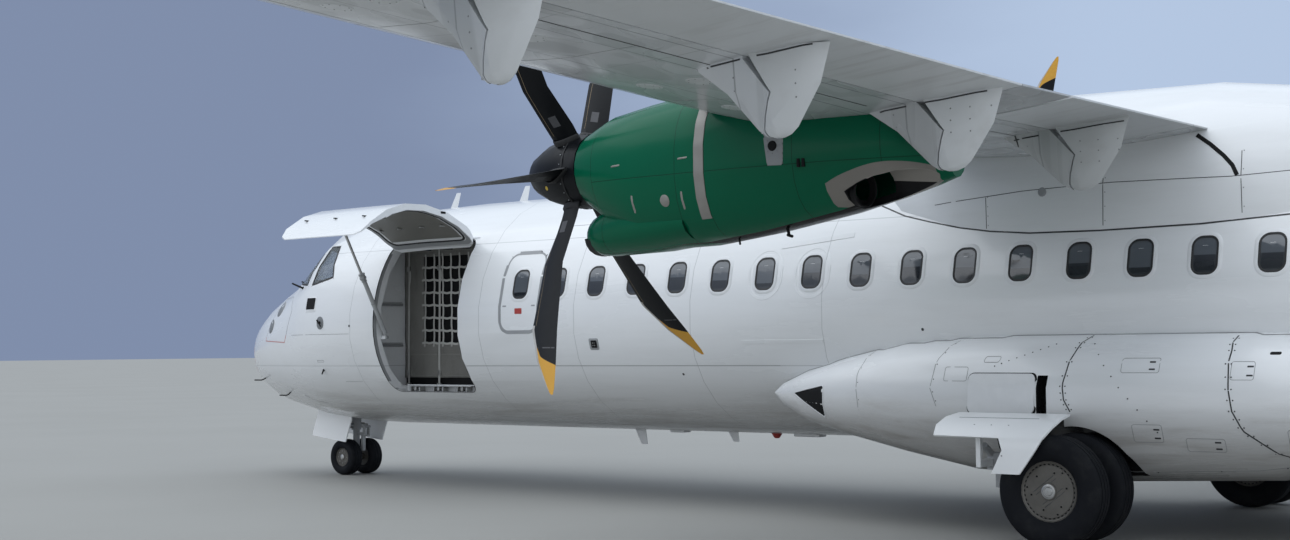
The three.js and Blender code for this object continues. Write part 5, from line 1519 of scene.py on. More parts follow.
# %% [markdown]
# ## Nacelle details
# The intake under the spinner has a black heated lip with a bright line behind it. A bare metal fire band
# crosses the cowl, latches and drain grilles sit along its lower joint, and the exhaust leaves through a
# dark pipe set in a scorched steel panel. The bands and plates are laid on the cowl by rays that come from
# the nacelle's own axis, outside in, so they wrap it closely.


# %% Rays round a nacelle
COWL_SKINS = {word: Skin(f"nacelle_{word}") for word, _ in SIDES}
COWL_Z = 2.93  # height of a cowl's middle


def cowl_point(word, station, turn, lift):
    """A point on the cowl: turn is measured from the outboard side up over the top, in radians."""
    side = dict(SIDES)[word]
    middle = Vector((side * HUB_X, at_station(station), COWL_Z))
    out = Vector((side * math.cos(turn), 0, math.sin(turn)))
    return lifted(COWL_SKINS[word].meet(middle + out * 2.0, -out), lift)


def cowl_side(word, station, z, lift=0.0):
    side = dict(SIDES)[word]
    found, normal = COWL_SKINS[word].meet((side * (HUB_X + 2), at_station(station), z), (-side, 0, 0))
    return found + normal * lift, normal


def cowl_patch(word, corners, lift, cells=(8, 8)):
    """A raised sheet over a four-cornered patch of (station, z), with its edges turned down."""
    rows = []
    (s0, z0), (s1, z1), (s2, z2), (s3, z3) = corners
    for i in range(cells[0] + 1):
        a = i / cells[0]
        row = []
        for k in range(cells[1] + 1):
            b = k / cells[1]
            station = (s0 * (1 - a) + s1 * a) * (1 - b) + (s3 * (1 - a) + s2 * a) * b
            z = (z0 * (1 - a) + z1 * a) * (1 - b) + (z3 * (1 - a) + z2 * a) * b
            edge = i in (0, cells[0]) or k in (0, cells[1])
            row.append(cowl_side(word, station, z, -0.002 if edge else lift)[0])
        rows.append(row)
    return lofted(rows, closed_ring=False)


# %% Fire band, latches, plate, slots and drain
band_metal = metal_finish("fire_band_metal", (0.27, 0.255, 0.235), (0.36, 0.345, 0.32), 0.35, 0.5,
                          fixed={"Metallic": 0.35})
for word, side in SIDES:
    rows = []
    for k in range(41):
        turn = math.radians(-52 + 146 * k / 40)
        rows.append([cowl_point(word, s, turn, lift) for s, lift in
                     ((11.083, -0.002), (11.086, 0.003), (11.108, 0.0035), (11.13, 0.0035), (11.152, 0.0035),
                      (11.174, 0.003), (11.177, -0.002))])
    shape = lofted(rows, closed_ring=False)
    new_piece(f"cowl_fire_band_{word}", *shape, band_metal,
              outward=lambda p, s=side: Vector((p.x - s * HUB_X, 0, p.z - COWL_Z)))

    plates = [cowl_patch(word, ((s - 0.055, z - 0.011), (s + 0.055, z - 0.007), (s + 0.055, z + 0.011),
                                (s - 0.055, z + 0.007)), 0.004, (4, 3))
              for s, z in ((10.301, 2.966), (10.978, 2.973))]
    plates += [cowl_patch(word, ((s - 0.013, 2.585), (s + 0.013, 2.585), (s + 0.005, 2.735),
                                 (s - 0.021, 2.735)),
                          0.004, (3, 6)) for s in (10.46, 10.955)]
    joined(f"cowl_latches_{word}", plates, band_metal,
              outward=lambda p, s=side: Vector((s, 0, 0)))

    disc = plate_on(COWL_SKINS[word], side, 10.780, 2.668, (0.045, 0.045), 0.0449, 0.003, 8)
    new_piece(f"cowl_oil_door_{word}", *disc, band_metal)

    plate = cowl_patch(word, ((11.735, 2.842), (11.885, 2.842), (11.895, 3.13), (11.69, 3.13)), 0.003, (6, 8))
    new_piece(f"cowl_fitting_plate_{word}", *plate, trim_grey, outward=lambda p, s=side: Vector((s, 0, 0)))
    place, normal = cowl_side(word, 11.79, 3.00)
    core = rod_mesh(place, place + normal * 0.014, 0.038, 0.034, 20)
    new_piece(f"cowl_round_fitting_{word}", *core, black_parts_and_recess_shade)
    bolts = [cowl_side(word, 11.79 + 0.056 * math.cos(t), 3.00 + 0.056 * math.sin(t), 0.002)
             for t in full_turn(8)]
    bolts += [cowl_side(word, 11.872, 2.87 + 0.035 * k, 0.002) for k in range(7)]
    studs(f"cowl_plate_bolts_{word}", bolts, 0.006, 0.006, steel)

    # Painted shade: the drain slots are black plates on the cowl.
    slots = []
    for s in (12.005, 12.045):
        middle = cowl_side(word, s, 2.862)[0] + Vector((0.0015 * side, 0, 0))
        slots.append(box_at(middle, (-0.0115, -0.011, -0.030), (0.0115, 0.011, 0.030)))
    joined(f"cowl_drain_slots_{word}", slots, black_parts_and_recess_shade)

    place, _ = COWL_SKINS[word].meet((side * (HUB_X + 0.05), at_station(11.66), 1.0), (0, 0, 1))
    masts = [rod_mesh(place + Vector((0, 0.0, 0.02)), place + Vector((0, 0.02, -0.055)), 0.014, 0.010),
             rod_mesh(place + Vector((0, 0.0, -0.045)), place + Vector((0, 0.05, -0.06)), 0.011)]
    place, _ = COWL_SKINS[word].meet((side * (HUB_X + 0.05), at_station(11.22), 1.0), (0, 0, 1))
    masts.append(rod_mesh(place + Vector((0, 0.0, 0.02)), place + Vector((0, 0.008, -0.04)), 0.008))
    joined(f"cowl_drain_mast_{word}", masts, black_parts_and_recess_shade)
print("cowls dressed")

# %% [markdown]
# The intake's lip is a smooth ring swept round the mouth. Its outline comes from rays that meet the chin
# from all round, a little behind the front, and the ring then rolls over the edge into the duct.

# %% Intake lip
chrome_line = metal_finish("lip_bright_line", (0.62, 0.63, 0.64), (0.74, 0.75, 0.76), 0.2, 0.35)
LIP = ((0.030, -0.002), (0.028, 0.004), (0.0, 0.005), (-0.030, 0.004), (-0.048, -0.004), (-0.052, -0.016),
       (-0.044, -0.030), (-0.02, -0.036))
LIP_LINE = ((0.032, -0.001), (0.034, 0.0045), (0.048, 0.0045), (0.050, -0.001))


def lip_rows(outline, stops):
    """Rows along the mouth's outline, each moved aft by a shift and out by a lift."""
    flats = [(place, Vector((normal.x, 0, normal.z)).normalized()) for place, normal in outline]
    return [[place + Vector((0, shift, 0)) + flat * lift for place, flat in flats] for shift, lift in stops]


for word, side in SIDES:
    middle = Vector((side * HUB_X, at_station(9.83), 2.50))
    outline = []
    for k in range(40):
        turn = math.radians(200 + 140 * k / 39)
        out = Vector((math.cos(turn), 0, math.sin(turn)))
        outline.append(COWL_SKINS[word].meet(middle + out * 1.2, -out))
    new_piece(f"intake_lip_{word}", *lofted(lip_rows(outline, LIP), closed_ring=False), seal_black)
    new_piece(f"intake_lip_line_{word}", *lofted(lip_rows(outline, LIP_LINE), closed_ring=False), chrome_line)
print("intake lips laid")

# %% [markdown]
# The exhaust's oval mouth is cut slantwise through the outboard flank, and deep inside it stands the
# engine's own jet pipe, with a rolled rim and a blackened bore. The pipe starts at the bore's closed end
# and stops short of the cowl's skin.

# %% Jet pipe
for word, side in SIDES:
    start = Vector((side * EXHAUST[0], at_station(EXHAUST[1]), EXHAUST[2]))
    end = Vector((side * (HUB_X + 0.250), at_station(13.400), 2.580))
    way = (end - start).normalized()
    wide = way.cross(Vector((0, 0, 1))).normalized()
    tall = wide.cross(way)
    turns = full_turn(48)
    pipe_rows = []
    for along, radius in ((0.01, 0.118), (0.045, 0.118), (0.055, 0.124), (0.062, 0.124), (0.067, 0.118),
                          (0.062, 0.110), (0.01, 0.102)):
        middle = start + way * along
        pipe_rows.append([middle + (wide * math.cos(t) + tall * math.sin(t)) * radius for t in turns])
    new_piece(f"jet_pipe_{word}", *lofted(pipe_rows), black_parts_and_recess_shade)
print("jet pipes set")

# %% [markdown]
# ## Wheels and tyres
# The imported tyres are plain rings. A real aircraft tyre has a rounded shoulder, four straight grooves round
# its tread and a moulded line on its sidewall. A profile swept round the axle says all of that, so each
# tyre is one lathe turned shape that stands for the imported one. The wheel gets the same treatment: a dished
# cover with a ring of ventilation slots, tie bolts grown round it, and a bright axle cap in the middle.


# %% Lathe about the axle
def spoke(turn):
    """The direction out from an axle at an angle."""
    return Vector((0, math.cos(turn), math.sin(turn)))


def lathe_x(profile, x, station, z, sides=64, face=1):
    """Rings of (radius, along) about an axle at a station and height: along points out of the aircraft."""
    rows = []
    for radius, along in profile:
        middle = Vector((x + face * along, at_station(station), z))
        rows.append([middle + spoke(t) * radius for t in full_turn(sides)])
    return lofted(rows)


def tyre_profile(radius, width, rim, grooves):
    half = width / 2
    profile = [(rim * 0.97, -half * 0.62), (rim, -half * 0.74), (rim * 1.05, -half * 0.80)]
    for share in (0.15, 0.3, 0.45, 0.6, 0.75, 0.88):
        bulge = math.sin(math.pi * min(1.0, share * 0.95 + 0.05)) * 0.16 + 0.84
        profile.append((rim * 1.05 + (radius * 0.955 - rim * 1.05) * share, -half * min(1.0, bulge)))
    profile += [(radius * 0.955, -half * 0.80), (radius * 0.978, -half * 0.67)]
    crown = []
    for place in grooves:
        crown += [(place - 0.052, 0.0), (place - 0.045, 0.0), (place - 0.036, 0.022), (place + 0.036, 0.022),
                  (place + 0.045, 0.0), (place + 0.052, 0.0)]
    for share, depth in crown:
        profile.append((radius * (1.0 - 0.010 * (share / 0.6) ** 2 - depth), half * share))
    mirrored = [(r, -a) for r, a in profile[:11]][::-1]
    return profile + mirrored


MAIN_STATION, NOSE_STATION = 12.84, 2.07
MAIN_Z, NOSE_Z = 0.432, 0.225  # heights of the axles
NOSE_X = 0.165
MAIN_X = (("outer", 2.26), ("inner", 1.84))
main_shape = tyre_profile(0.4315, 0.253, 0.236, (-0.54, -0.18, 0.18, 0.54))
nose_shape = tyre_profile(0.2245, 0.189, 0.118, (-0.45, 0.0, 0.45))
for word, side in SIDES:
    for place, x in MAIN_X:
        shape = lathe_x(main_shape, side * x, MAIN_STATION, MAIN_Z, 80, side)
        middle = Vector((side * x, at_station(MAIN_STATION), MAIN_Z))
        tyre = new_piece(f"grooved_main_tyre_{place}_{word}", *shape, tyre_rubber, f"main_wheels_{word}",
                         outward=lambda p, m=middle: p - m)
        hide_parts(f"main_tyre_{place}_{word}")
    shape = lathe_x(nose_shape, side * NOSE_X, NOSE_STATION, NOSE_Z, 64, side)
    middle = Vector((side * NOSE_X, at_station(NOSE_STATION), NOSE_Z))
    tyre = new_piece(f"grooved_nose_tyre_{word}", *shape, tyre_rubber, "nose_wheels", outward=lambda p,
                     m=middle: p - m)
    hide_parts(f"nose_tyre_{word}")
print("tyres turned")

# %% Wheel covers, slots, bolts and axle caps
def wheel_cover(x, station, z, rim, face, deep):
    """A dished cover on one face of a wheel."""
    profile = [(rim * 1.01, deep - 0.030), (rim * 1.012, deep - 0.004), (rim * 0.985, deep + 0.002),
               (rim * 0.955, deep), (rim * 0.93, deep - 0.008), (rim * 0.90, deep - 0.009),
               (rim * 0.88, deep - 0.003),
               (rim * 0.60, deep - 0.001), (rim * 0.30, deep), (rim * 0.285, deep + 0.006),
               (rim * 0.16, deep + 0.007),
               (0.002, deep + 0.007)]
    return lathe_x(profile, x, station, z, 64, face)


def ring_places(x, station, z, radius, count, face, along, start=0.0):
    """(point, outward direction) pairs for bolts in a ring round an axle."""
    middle = Vector((x + face * along, at_station(station), z))
    return [(middle + spoke(start + t) * radius, Vector((face, 0, 0))) for t in full_turn(count)]


def slot_ring(x, station, z, radius, count, face, along, long, tall):
    """Thin rounded plates in a ring round an axle, each bent to the ring."""
    parts = []
    for turn in full_turn(count):
        rows = []
        for depth in (along - 0.006, along):
            middle = Vector((x + face * depth, at_station(station), z))
            rows.append([middle + spoke(turn + a / radius) * (radius + b)
                         for a, b in rounded(long, tall, tall * 0.95, 3)])
        parts.append(lofted(rows, cap_first=True, cap_last=True))
    return merge_meshes(parts)


RIB_TURN = math.radians(38)
for word, side in SIDES:
    rides = f"main_wheels_{word}"
    for place, x in MAIN_X:
        face = side if place == "outer" else -side
        hub = (side * x, MAIN_STATION, MAIN_Z)
        deep = 0.0875
        new_piece(f"wheel_cover_{place}_{word}", *wheel_cover(*hub, 0.228, face, deep), hub_metal, rides,
                  outward=lambda p, f=face: Vector((f, 0, 0)))
        # Painted shade: the ventilation slots are thin black plates on the cover.
        slots = slot_ring(*hub, 0.2085, 36, face, deep - 0.006, 0.0095, 0.0045)
        new_piece(f"wheel_slots_{place}_{word}", *slots, black_parts_and_recess_shade, rides)
        places = ring_places(*hub, 0.150, 6, face, deep + 0.001, 0.2)
        places += ring_places(*hub, 0.185, 3, face, deep, 0.9)
        studs(f"wheel_bolts_{place}_{word}", places, 0.0075, 0.007, black_parts_and_recess_shade, rides)
        cap = lathe_x([(0.058, deep), (0.057, deep + 0.013), (0.046, deep + 0.016), (0.044, deep + 0.011),
                       (0.036, deep + 0.011), (0.030, deep + 0.018), (0.002, deep + 0.019)], *hub, 36, face)
        new_piece(f"axle_cap_{place}_{word}", *cap, fitting_steel, rides, outward=lambda p,
                  f=face: Vector((f, 0, 0)))
        ribs = []
        base = Vector((side * x + face * (deep + 0.0005), at_station(MAIN_STATION), MAIN_Z))
        along_rib = Vector((0, math.cos(RIB_TURN), math.sin(RIB_TURN)))
        across_rib = Vector((0, -math.sin(RIB_TURN), math.cos(RIB_TURN)))
        for across in (-0.075, -0.045, 0.045, 0.075):
            middle = base + across_rib * across
            line = [(middle + along_rib * run, Vector((face, 0, 0))) for run in (-0.105, 0, 0.105)]
            ribs.append(strip_along(line, 0.0022, 0.0016))
        joined(f"wheel_ribs_{place}_{word}", ribs, crew_grey, rides)

for word, side in SIDES:
    hub = (side * NOSE_X, NOSE_STATION, NOSE_Z)
    for face, name in ((side, "outer"), (-side, "inner")):
        new_piece(f"nose_wheel_cover_{name}_{word}", *wheel_cover(*hub, 0.112, face, 0.060), hub_metal,
                  "nose_wheels",
                  outward=lambda p, f=face: Vector((f, 0, 0)))
    places = ring_places(*hub, 0.075, 8, side, 0.060)
    studs(f"nose_wheel_bolts_{word}", places, 0.006, 0.007, fitting_steel, "nose_wheels")
    cap = lathe_x([(0.034, 0.060), (0.033, 0.072), (0.024, 0.076), (0.002, 0.078)], *hub, 28, side)
    new_piece(f"nose_axle_cap_{word}", *cap, fitting_steel, "nose_wheels", outward=lambda p,
              s=side: Vector((s, 0, 0)))
print("wheels dressed")

# %% [markdown]
# ## Landing gear fittings
# Brake pipes run down the main leg, a shock absorber stands between the arm and the body, and the nose leg
# has its torque links and a steering jack. These are what makes a leg look like a machine. Pipes are short
# and clipped to the leg along their whole run, so none of them hangs free.

# %% Legs, pipes and links
for word, side in SIDES:
    leg = Skin(f"main_leg_{word}")
    pipes = []
    for shift in (-0.03, 0.0, 0.028):
        starts = [(side * (2.05 + shift), at_station(12.40 + 0.40 * k / 8), 1.4) for k in range(9)]
        pipes.append(pipe_mesh([lifted(leg.meet(start, (0, 0, -1)), 0.010) for start in starts], 0.0075, 8))
    joined(f"brake_pipes_{word}", pipes, black_parts_and_recess_shade)
    clamps = []
    for station in (12.44, 12.56, 12.68, 12.77):
        place, _ = leg.meet((side * 2.05, at_station(station), 1.4), (0, 0, -1))
        clamps.append(box_at(place, (-0.045, -0.010, -0.004), (0.045, 0.010, 0.022), 0.003))
    joined(f"brake_pipe_clamps_{word}", clamps, fitting_steel)
    jack = [
        rod_mesh((side * 2.05, at_station(12.28), 0.86), (side * 2.05, at_station(12.40), 0.62), 0.034,
                 0.034, 20),
        rod_mesh((side * 2.05, at_station(12.39), 0.64), (side * 2.05, at_station(12.44), 0.54), 0.022,
                 0.022, 16),
    ]
    joined(f"main_shock_strut_{word}", jack, gear_paint)
    profile = [(0.05, 0.030), (0.150, 0.030), (0.168, 0.040), (0.168, 0.070), (0.150, 0.078), (0.05, 0.078)]
    brakes = [lathe_x(profile, side * 2.05, MAIN_STATION, MAIN_Z, 40, face) for face in (1, -1)]
    joined(f"brake_packs_{word}", brakes, crew_grey)



def cross_rod(half, station, z, radius, sides=14):
    """A round bar across the nose gear."""
    return rod_mesh((-half, at_station(station), z), (half, at_station(station), z), radius, radius, sides)


links = [block((x - 0.008, x + 0.008), (2.235, 2.285), (0.49, 0.60), 0.003) for x in (-0.034, 0.034)]
links += [cross_rod(0.06, 2.262, 0.60, 0.016), cross_rod(0.05, 2.262, 0.495, 0.014)]
joined("nose_torque_links", links, gear_paint)
steering = [cross_rod(0.14, 2.06, 0.615, 0.034, 20), cross_rod(0.19, 2.06, 0.615, 0.018, 16)]
joined("nose_steering_jack", steering, fitting_steel)
lamps = [rod_mesh((x, at_station(1.935), 0.70), (x, at_station(1.985), 0.70), 0.050, 0.034,
                  24) for x in (-0.10, 0.10)]
joined("nose_taxi_lamps", lamps, fitting_steel)
print("legs dressed")

# %% [markdown]
# ## Sponson skin
# The pods that house the main gear are made of removable panels, screwed down along dark joints. Two long
# joints curve down the flank, a seam closes the pod onto the hull, and small access doors with flush
# latches sit between them. Each joint is a narrow strip laid on the pod by rays, with its screws grown
# beside it.

# %% Sponson joints, doors and screws
seam_dark = metal_finish("joint_dark_sealant", (0.022, 0.023, 0.025), (0.045, 0.046, 0.048), 0.4, 0.6, 30.0)
seam_soft = metal_finish("joint_grey_sealant", (0.22, 0.225, 0.23), (0.30, 0.305, 0.31), 0.4, 0.6, 30.0)
POD_JOINTS = (
    ((12.819, 1.628), (12.79, 1.53), (12.747, 1.253), (12.76, 1.12), (12.815, 1.026)),
    ((14.009, 1.614), (14.04, 1.50), (14.070, 1.253), (14.10, 1.05), (14.183, 0.90), (14.40, 0.74),
     (14.62, 0.66)),
)
POD_LIGHT_JOINTS = (
    ((10.70, 1.515), (10.66, 1.30), (10.70, 1.00)),
    ((11.60, 1.60), (11.52, 1.45), (11.50, 1.20), (11.56, 1.05)),
    ((15.40, 1.55), (15.45, 1.30), (15.42, 1.00), (15.36, 0.80)),
    ((16.30, 1.40), (16.33, 1.15), (16.30, 0.92)),
    ((12.20, 0.60), (13.20, 0.55), (14.20, 0.60), (15.20, 0.74)),
)
POD_DOORS = (
    (13.37, 1.39, 0.155, 0.058), (14.165, 1.35, 0.090, 0.070), (11.74, 1.32, 0.115, 0.060),
    (12.06, 1.44, 0.075, 0.026),
    (13.44, 0.87, 0.120, 0.070), (13.88, 0.79, 0.150, 0.052), (14.62, 0.86, 0.130, 0.060),
    (15.00, 1.30, 0.120, 0.060),
)
for word, side in SIDES:
    pod = Skin(f"sponson_{word}")
    dark, soft, screws = [], [], []
    for paths, joints, half, lift, every, shifts in (
        (POD_JOINTS, dark, 0.0065, 0.0014, 4, (-0.022, 0.022)),
        (POD_LIGHT_JOINTS, soft, 0.0035, 0.0010, 5, (0.016,)),
    ):
        for path in paths:
            run = side_trace(pod, side, path, 10)
            joints.append(strip_along(run, half, lift))
            screws += [(place + Vector((0, shift, 0)) + normal * 0.001, normal)
                       for place, normal in run[2::every] for shift in shifts]
    for station, z, half_s, half_z in POD_DOORS:
        soft.append(outline_on(pod, side, station, z, (half_s, half_z), 0.02))
    for k in range(9):
        for station, z in ((12.92 + 0.075 * k, 1.56 - 0.085 * k), (12.10 + 0.060 * k, 1.385 + 0.022 * k)):
            place, normal = pod.side(side, station, z)
            screws.append((place + normal * 0.001, normal))
    joined(f"sponson_dark_joints_{word}", dark, seam_dark)
    joined(f"sponson_fine_joints_{word}", soft, seam_soft)
    studs(f"sponson_screws_{word}", screws, 0.0065, 0.003, seam_dark)

    latches = []
    for station, z, half_s, half_z in POD_DOORS[:2] + POD_DOORS[4:]:
        for shift in (-half_z * 0.5, half_z * 0.45):
            latches.append(plate_on(pod, side, station + half_s * 0.62, z + shift, (0.024, 0.006), 0.003,
                                    0.002))
    joined(f"sponson_latches_{word}", latches, seam_dark)
    # Painted shade: the vent's opening is a black plate.
    vent = plate_on(pod, side, 14.372, 1.478, (0.040, 0.011), 0.0105, 0.0015, 5)
    new_piece(f"sponson_vent_{word}", *vent, black_parts_and_recess_shade)

    run = []
    for k in range(90):
        station = 9.70 + 7.55 * k / 89
        for z in [0.7 + 1.1 * j / 60 for j in range(60, -1, -1)]:
            place, _ = pod.side(side, station, z, 3)
            if abs(place.z - z) < 0.004 and abs(place.y - at_station(station)) < 0.004:
                run.append((place + Vector((0, 0, 0.001)), Vector((side * 0.5, 0, 0.87))))
                break
    new_piece(f"sponson_top_seal_{word}", *strip_along(run, 0.008, 0.002, 0.004), seam_soft)
print("sponsons dressed")

# %% [markdown]
# At the front of each pod a dark triangular inlet feeds the air packs, and over the wheel well an upper
# gear door stands half open. The door is a curved white shell with rounded corners, a little off the pod,
# and the well behind it is dark. The inlet and the gap round the door are black plates, as painted shade.

# %% Inlet and upper gear door
INLET = ((9.885, 1.137), (10.10, 1.178), (10.247, 1.205), (10.262, 1.19), (10.262, 0.95), (10.247, 0.933),
         (10.05, 1.045))
INLET_MID, UPPER_DOOR_MID = (10.15, 1.10), (12.19, 1.16)


def closed_path(corners, between_corners):
    """Points along straight runs through the corners, back to the first one."""
    path = []
    for first, last in zip(corners, corners[1:] + corners[:1]):
        path += [(first[0] + (last[0] - first[0]) * i / between_corners,
                  first[1] + (last[1] - first[1]) * i / between_corners) for i in range(between_corners)]
    return path + path[:1]


def drawn_in(skin, side, offsets, middle, levels):
    """Rings laid on the skin: offsets from a middle times each level's share, lifted by its lift."""
    return [[lifted(skin.side(side, middle[0] + a * share, middle[1] + b * share), lift) for a, b in offsets]
            for share, lift in levels]


for word, side in SIDES:
    pod = Skin(f"sponson_{word}")
    # Painted shade: the inlet is a shallow black dish.
    loop = [(station - INLET_MID[0], z - INLET_MID[1]) for station, z in closed_path(INLET, 5)[:-1]]
    levels = ((1.0, -0.002), (1.0, 0.0015), (0.8, 0.0018), (0.6, 0.002), (0.4, 0.002), (0.2, 0.002),
              (0.04, 0.002))
    rows = drawn_in(pod, side, loop, INLET_MID, levels)
    new_piece(f"sponson_inlet_{word}", *lofted(rows, cap_last=True), black_parts_and_recess_shade)
    rim = drawn_in(pod, side, loop, INLET_MID, ((1.0, 0.001), (1.01, 0.006), (1.06, 0.006), (1.075, -0.001)))
    new_piece(f"sponson_inlet_rim_{word}", *lofted(rim), trim_white)

    rows = drawn_in(pod, side, rounded(0.308, 0.158, 0.05), UPPER_DOOR_MID, ((1.0, 0.004),))
    levels = ((1.0, 0.014), (0.99, 0.020), (0.9, 0.020), (0.6, 0.020), (0.25, 0.020))
    rows += drawn_in(pod, side, rounded(0.310, 0.160, 0.05), UPPER_DOOR_MID, levels)
    new_piece(f"upper_gear_door_{word}", *lofted(rows, cap_first=True, cap_last=True), trim_white)
    # Painted shade: a black ring round the upper gear door stands for the dark well behind it.
    rows = []
    for grow, lift in ((-0.003, 0.0012), (0.012, 0.0012), (0.0125, -0.001)):
        rows += drawn_in(pod, side, rounded(0.310 + grow, 0.160 + grow, 0.055), UPPER_DOOR_MID,
                         ((1.0, lift),))
    new_piece(f"upper_gear_door_gap_{word}", *lofted(rows), black_parts_and_recess_shade)
print("inlets and gear doors set")

# %% [markdown]
# ## Leg door
# The door on the main leg is a thin shell. A grey rub strip runs along it near its top and a few bolts
# stand below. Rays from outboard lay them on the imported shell.

# %% Leg door edges
for word, side in SIDES:
    shell = Skin(f"main_leg_door_{word}")
    run = [shell.side(side, 12.00 + 0.70 * k / 14, 0.98, 3.0) for k in range(15)]
    new_piece(f"leg_door_rub_strip_{word}", *strip_along(run, 0.004, 0.002), trim_grey)
    spots = ((12.20, 0.93), (12.35, 0.93), (12.50, 0.93), (12.42, 0.80), (12.50, 0.70))
    studs(f"leg_door_bolts_{word}", [shell.side(side, station, z, 3.0) for station, z in spots], 0.007,
          0.003, trim_grey)
print("leg doors dressed")

# %% [markdown]
# ## Hull fittings
# Along the belly stand the blade and box aerials. Two stiff aerials and a beacon stand on the roof. Thin
# doublers frame some windows, a raised rail runs over them, and small sockets, ports and a sill strip break
# the plain white. They are small, but a bare hull looks like a toy without them.


# %% Aerials
def blade_aerial(base, height, chord, thick, rake, way):
    """A swept fin with a pointed section: base is the middle of its foot."""
    section = ((-0.5, 0.0), (-0.35, 0.42), (0.0, 0.5), (0.3, 0.3),
               (0.5, 0.0), (0.3, -0.3), (0.0, -0.5), (-0.35, -0.42))
    rows = []
    for share, shrink in ((0.0, 1.12), (0.03, 1.0), (0.5, 0.8), (0.96, 0.58), (1.0, 0.50)):
        middle = Vector(base) + Vector((0, rake * share, way * height * share))
        rows.append([middle + Vector((b * thick, a * chord, 0)) * shrink for a, b in section])
    return lofted(rows, cap_first=True, cap_last=True)


for name, find, way, specs in (
    ("roof_aerials", hull_skin.above, 1, ((3.85, 0.20, 0.13, 0.10), (5.02, 0.19, 0.14, 0.08))),
    ("belly_aerials", hull_skin.below, -1, ((6.78, 0.17, 0.16, 0.07), (8.05, 0.11, 0.14, 0.05))),
):
    fins = []
    for station, height, chord, rake in specs:
        foot = find(0.0, station)[0] - Vector((0, 0, 0.02 * way))
        fins.append(blade_aerial(foot, height + 0.02, chord, 0.030, rake, way))
    joined(name, fins, trim_white)
boxes = [
    box_at(hull_skin.below(0.0, 7.35)[0], (-0.06, -0.10, -0.030), (0.06, 0.10, 0.03), 0.012),
    box_at(hull_skin.below(0.0, 9.03)[0], (-0.07, -0.16, -0.034), (0.07, 0.16, 0.03), 0.016),
]
joined("belly_aerial_boxes", boxes, trim_white)
beacons = []
for foot, low, high in ((hull_skin.above(0.0, 17.9)[0], -0.01, 0.07),
                        (hull_skin.below(0.0, 8.62)[0], 0.01, -0.06)):
    beacons.append(rod_mesh(foot + Vector((0, 0, low)), foot + Vector((0, 0, high)), 0.06, 0.035, 24))
joined("beacon_lamps", beacons, placard_red)

# %% Doublers, rail, sill strip, socket and ports
for word, side in SIDES:
    raised = []
    for number in (6, 7):
        station = FIRST_WINDOW + WINDOW_PITCH * number
        levels = ((-0.090, -0.001), (-0.088, 0.0022), (-0.060, 0.0024), (-0.058, -0.001))
        raised.append(laid_rings(hull_skin, side, station, WINDOW_Z, WINDOW_HALF, 0.13, levels))
    raised.append(strip_along(side_trace(hull_skin, side, ((9.608, 2.497), (10.394, 2.575)), 20), 0.028,
                              0.004))
    joined(f"window_doublers_{word}", raised, hull_paint)
    sill = strip_along(side_trace(hull_skin, side, ((9.22, 1.608), (10.14, 1.608)), 20), 0.022, 0.003)
    new_piece(f"skin_scuff_strip_{word}", *sill, hull_paint)
    socket = plate_on(hull_skin, side, 7.349, 1.606, (0.062, 0.058), 0.018, 0.004, 4)
    new_piece(f"service_socket_rim_{word}", *socket, trim_grey)
    # Painted shade: the socket's hole is a black plate.
    hole = plate_on(hull_skin, side, 7.352, 1.606, (0.040, 0.038), 0.008, 0.0055, 3)
    new_piece(f"service_socket_{word}", *hole, black_parts_and_recess_shade)
    pins = []
    for ds, dz in ((-0.014, 0.012), (0.010, 0.012), (-0.014, -0.012), (0.010, -0.012)):
        place, normal = hull_skin.side(side, 7.352 + ds, 1.606 + dz)
        pins.append((place + normal * 0.0065, normal))
    studs(f"service_socket_pins_{word}", pins, 0.006, 0.006, fitting_steel)
    spots = ((3.586, 1.847), (8.40, 1.30), (11.2, 1.70), (15.9, 1.75))
    ports = [hull_skin.side(side, *spot) for spot in spots]
    studs(f"hull_ports_{word}", ports, 0.014, 0.003, seam_dark, sides=16)
    lines = []
    for path in (((3.62, 1.384), (4.00, 1.384)), ((5.41, 1.384), (9.60, 1.384)),
                 ((6.70, 2.86), (9.80, 2.86))):
        lines.append(strip_along(side_trace(hull_skin, side, path, 30), 0.003, 0.0009))
    joined(f"hull_lap_joints_{word}", lines, seam_soft)
print("hull fittings set")

# %% [markdown]
# ## Wing to body fairing
# The fairing that blends the wing into the hull is bonded on with a dark sealant line that sweeps along the
# cabin roof, and its panels meet in dark joints with screw rows. A curved slot seal shows behind the flap.

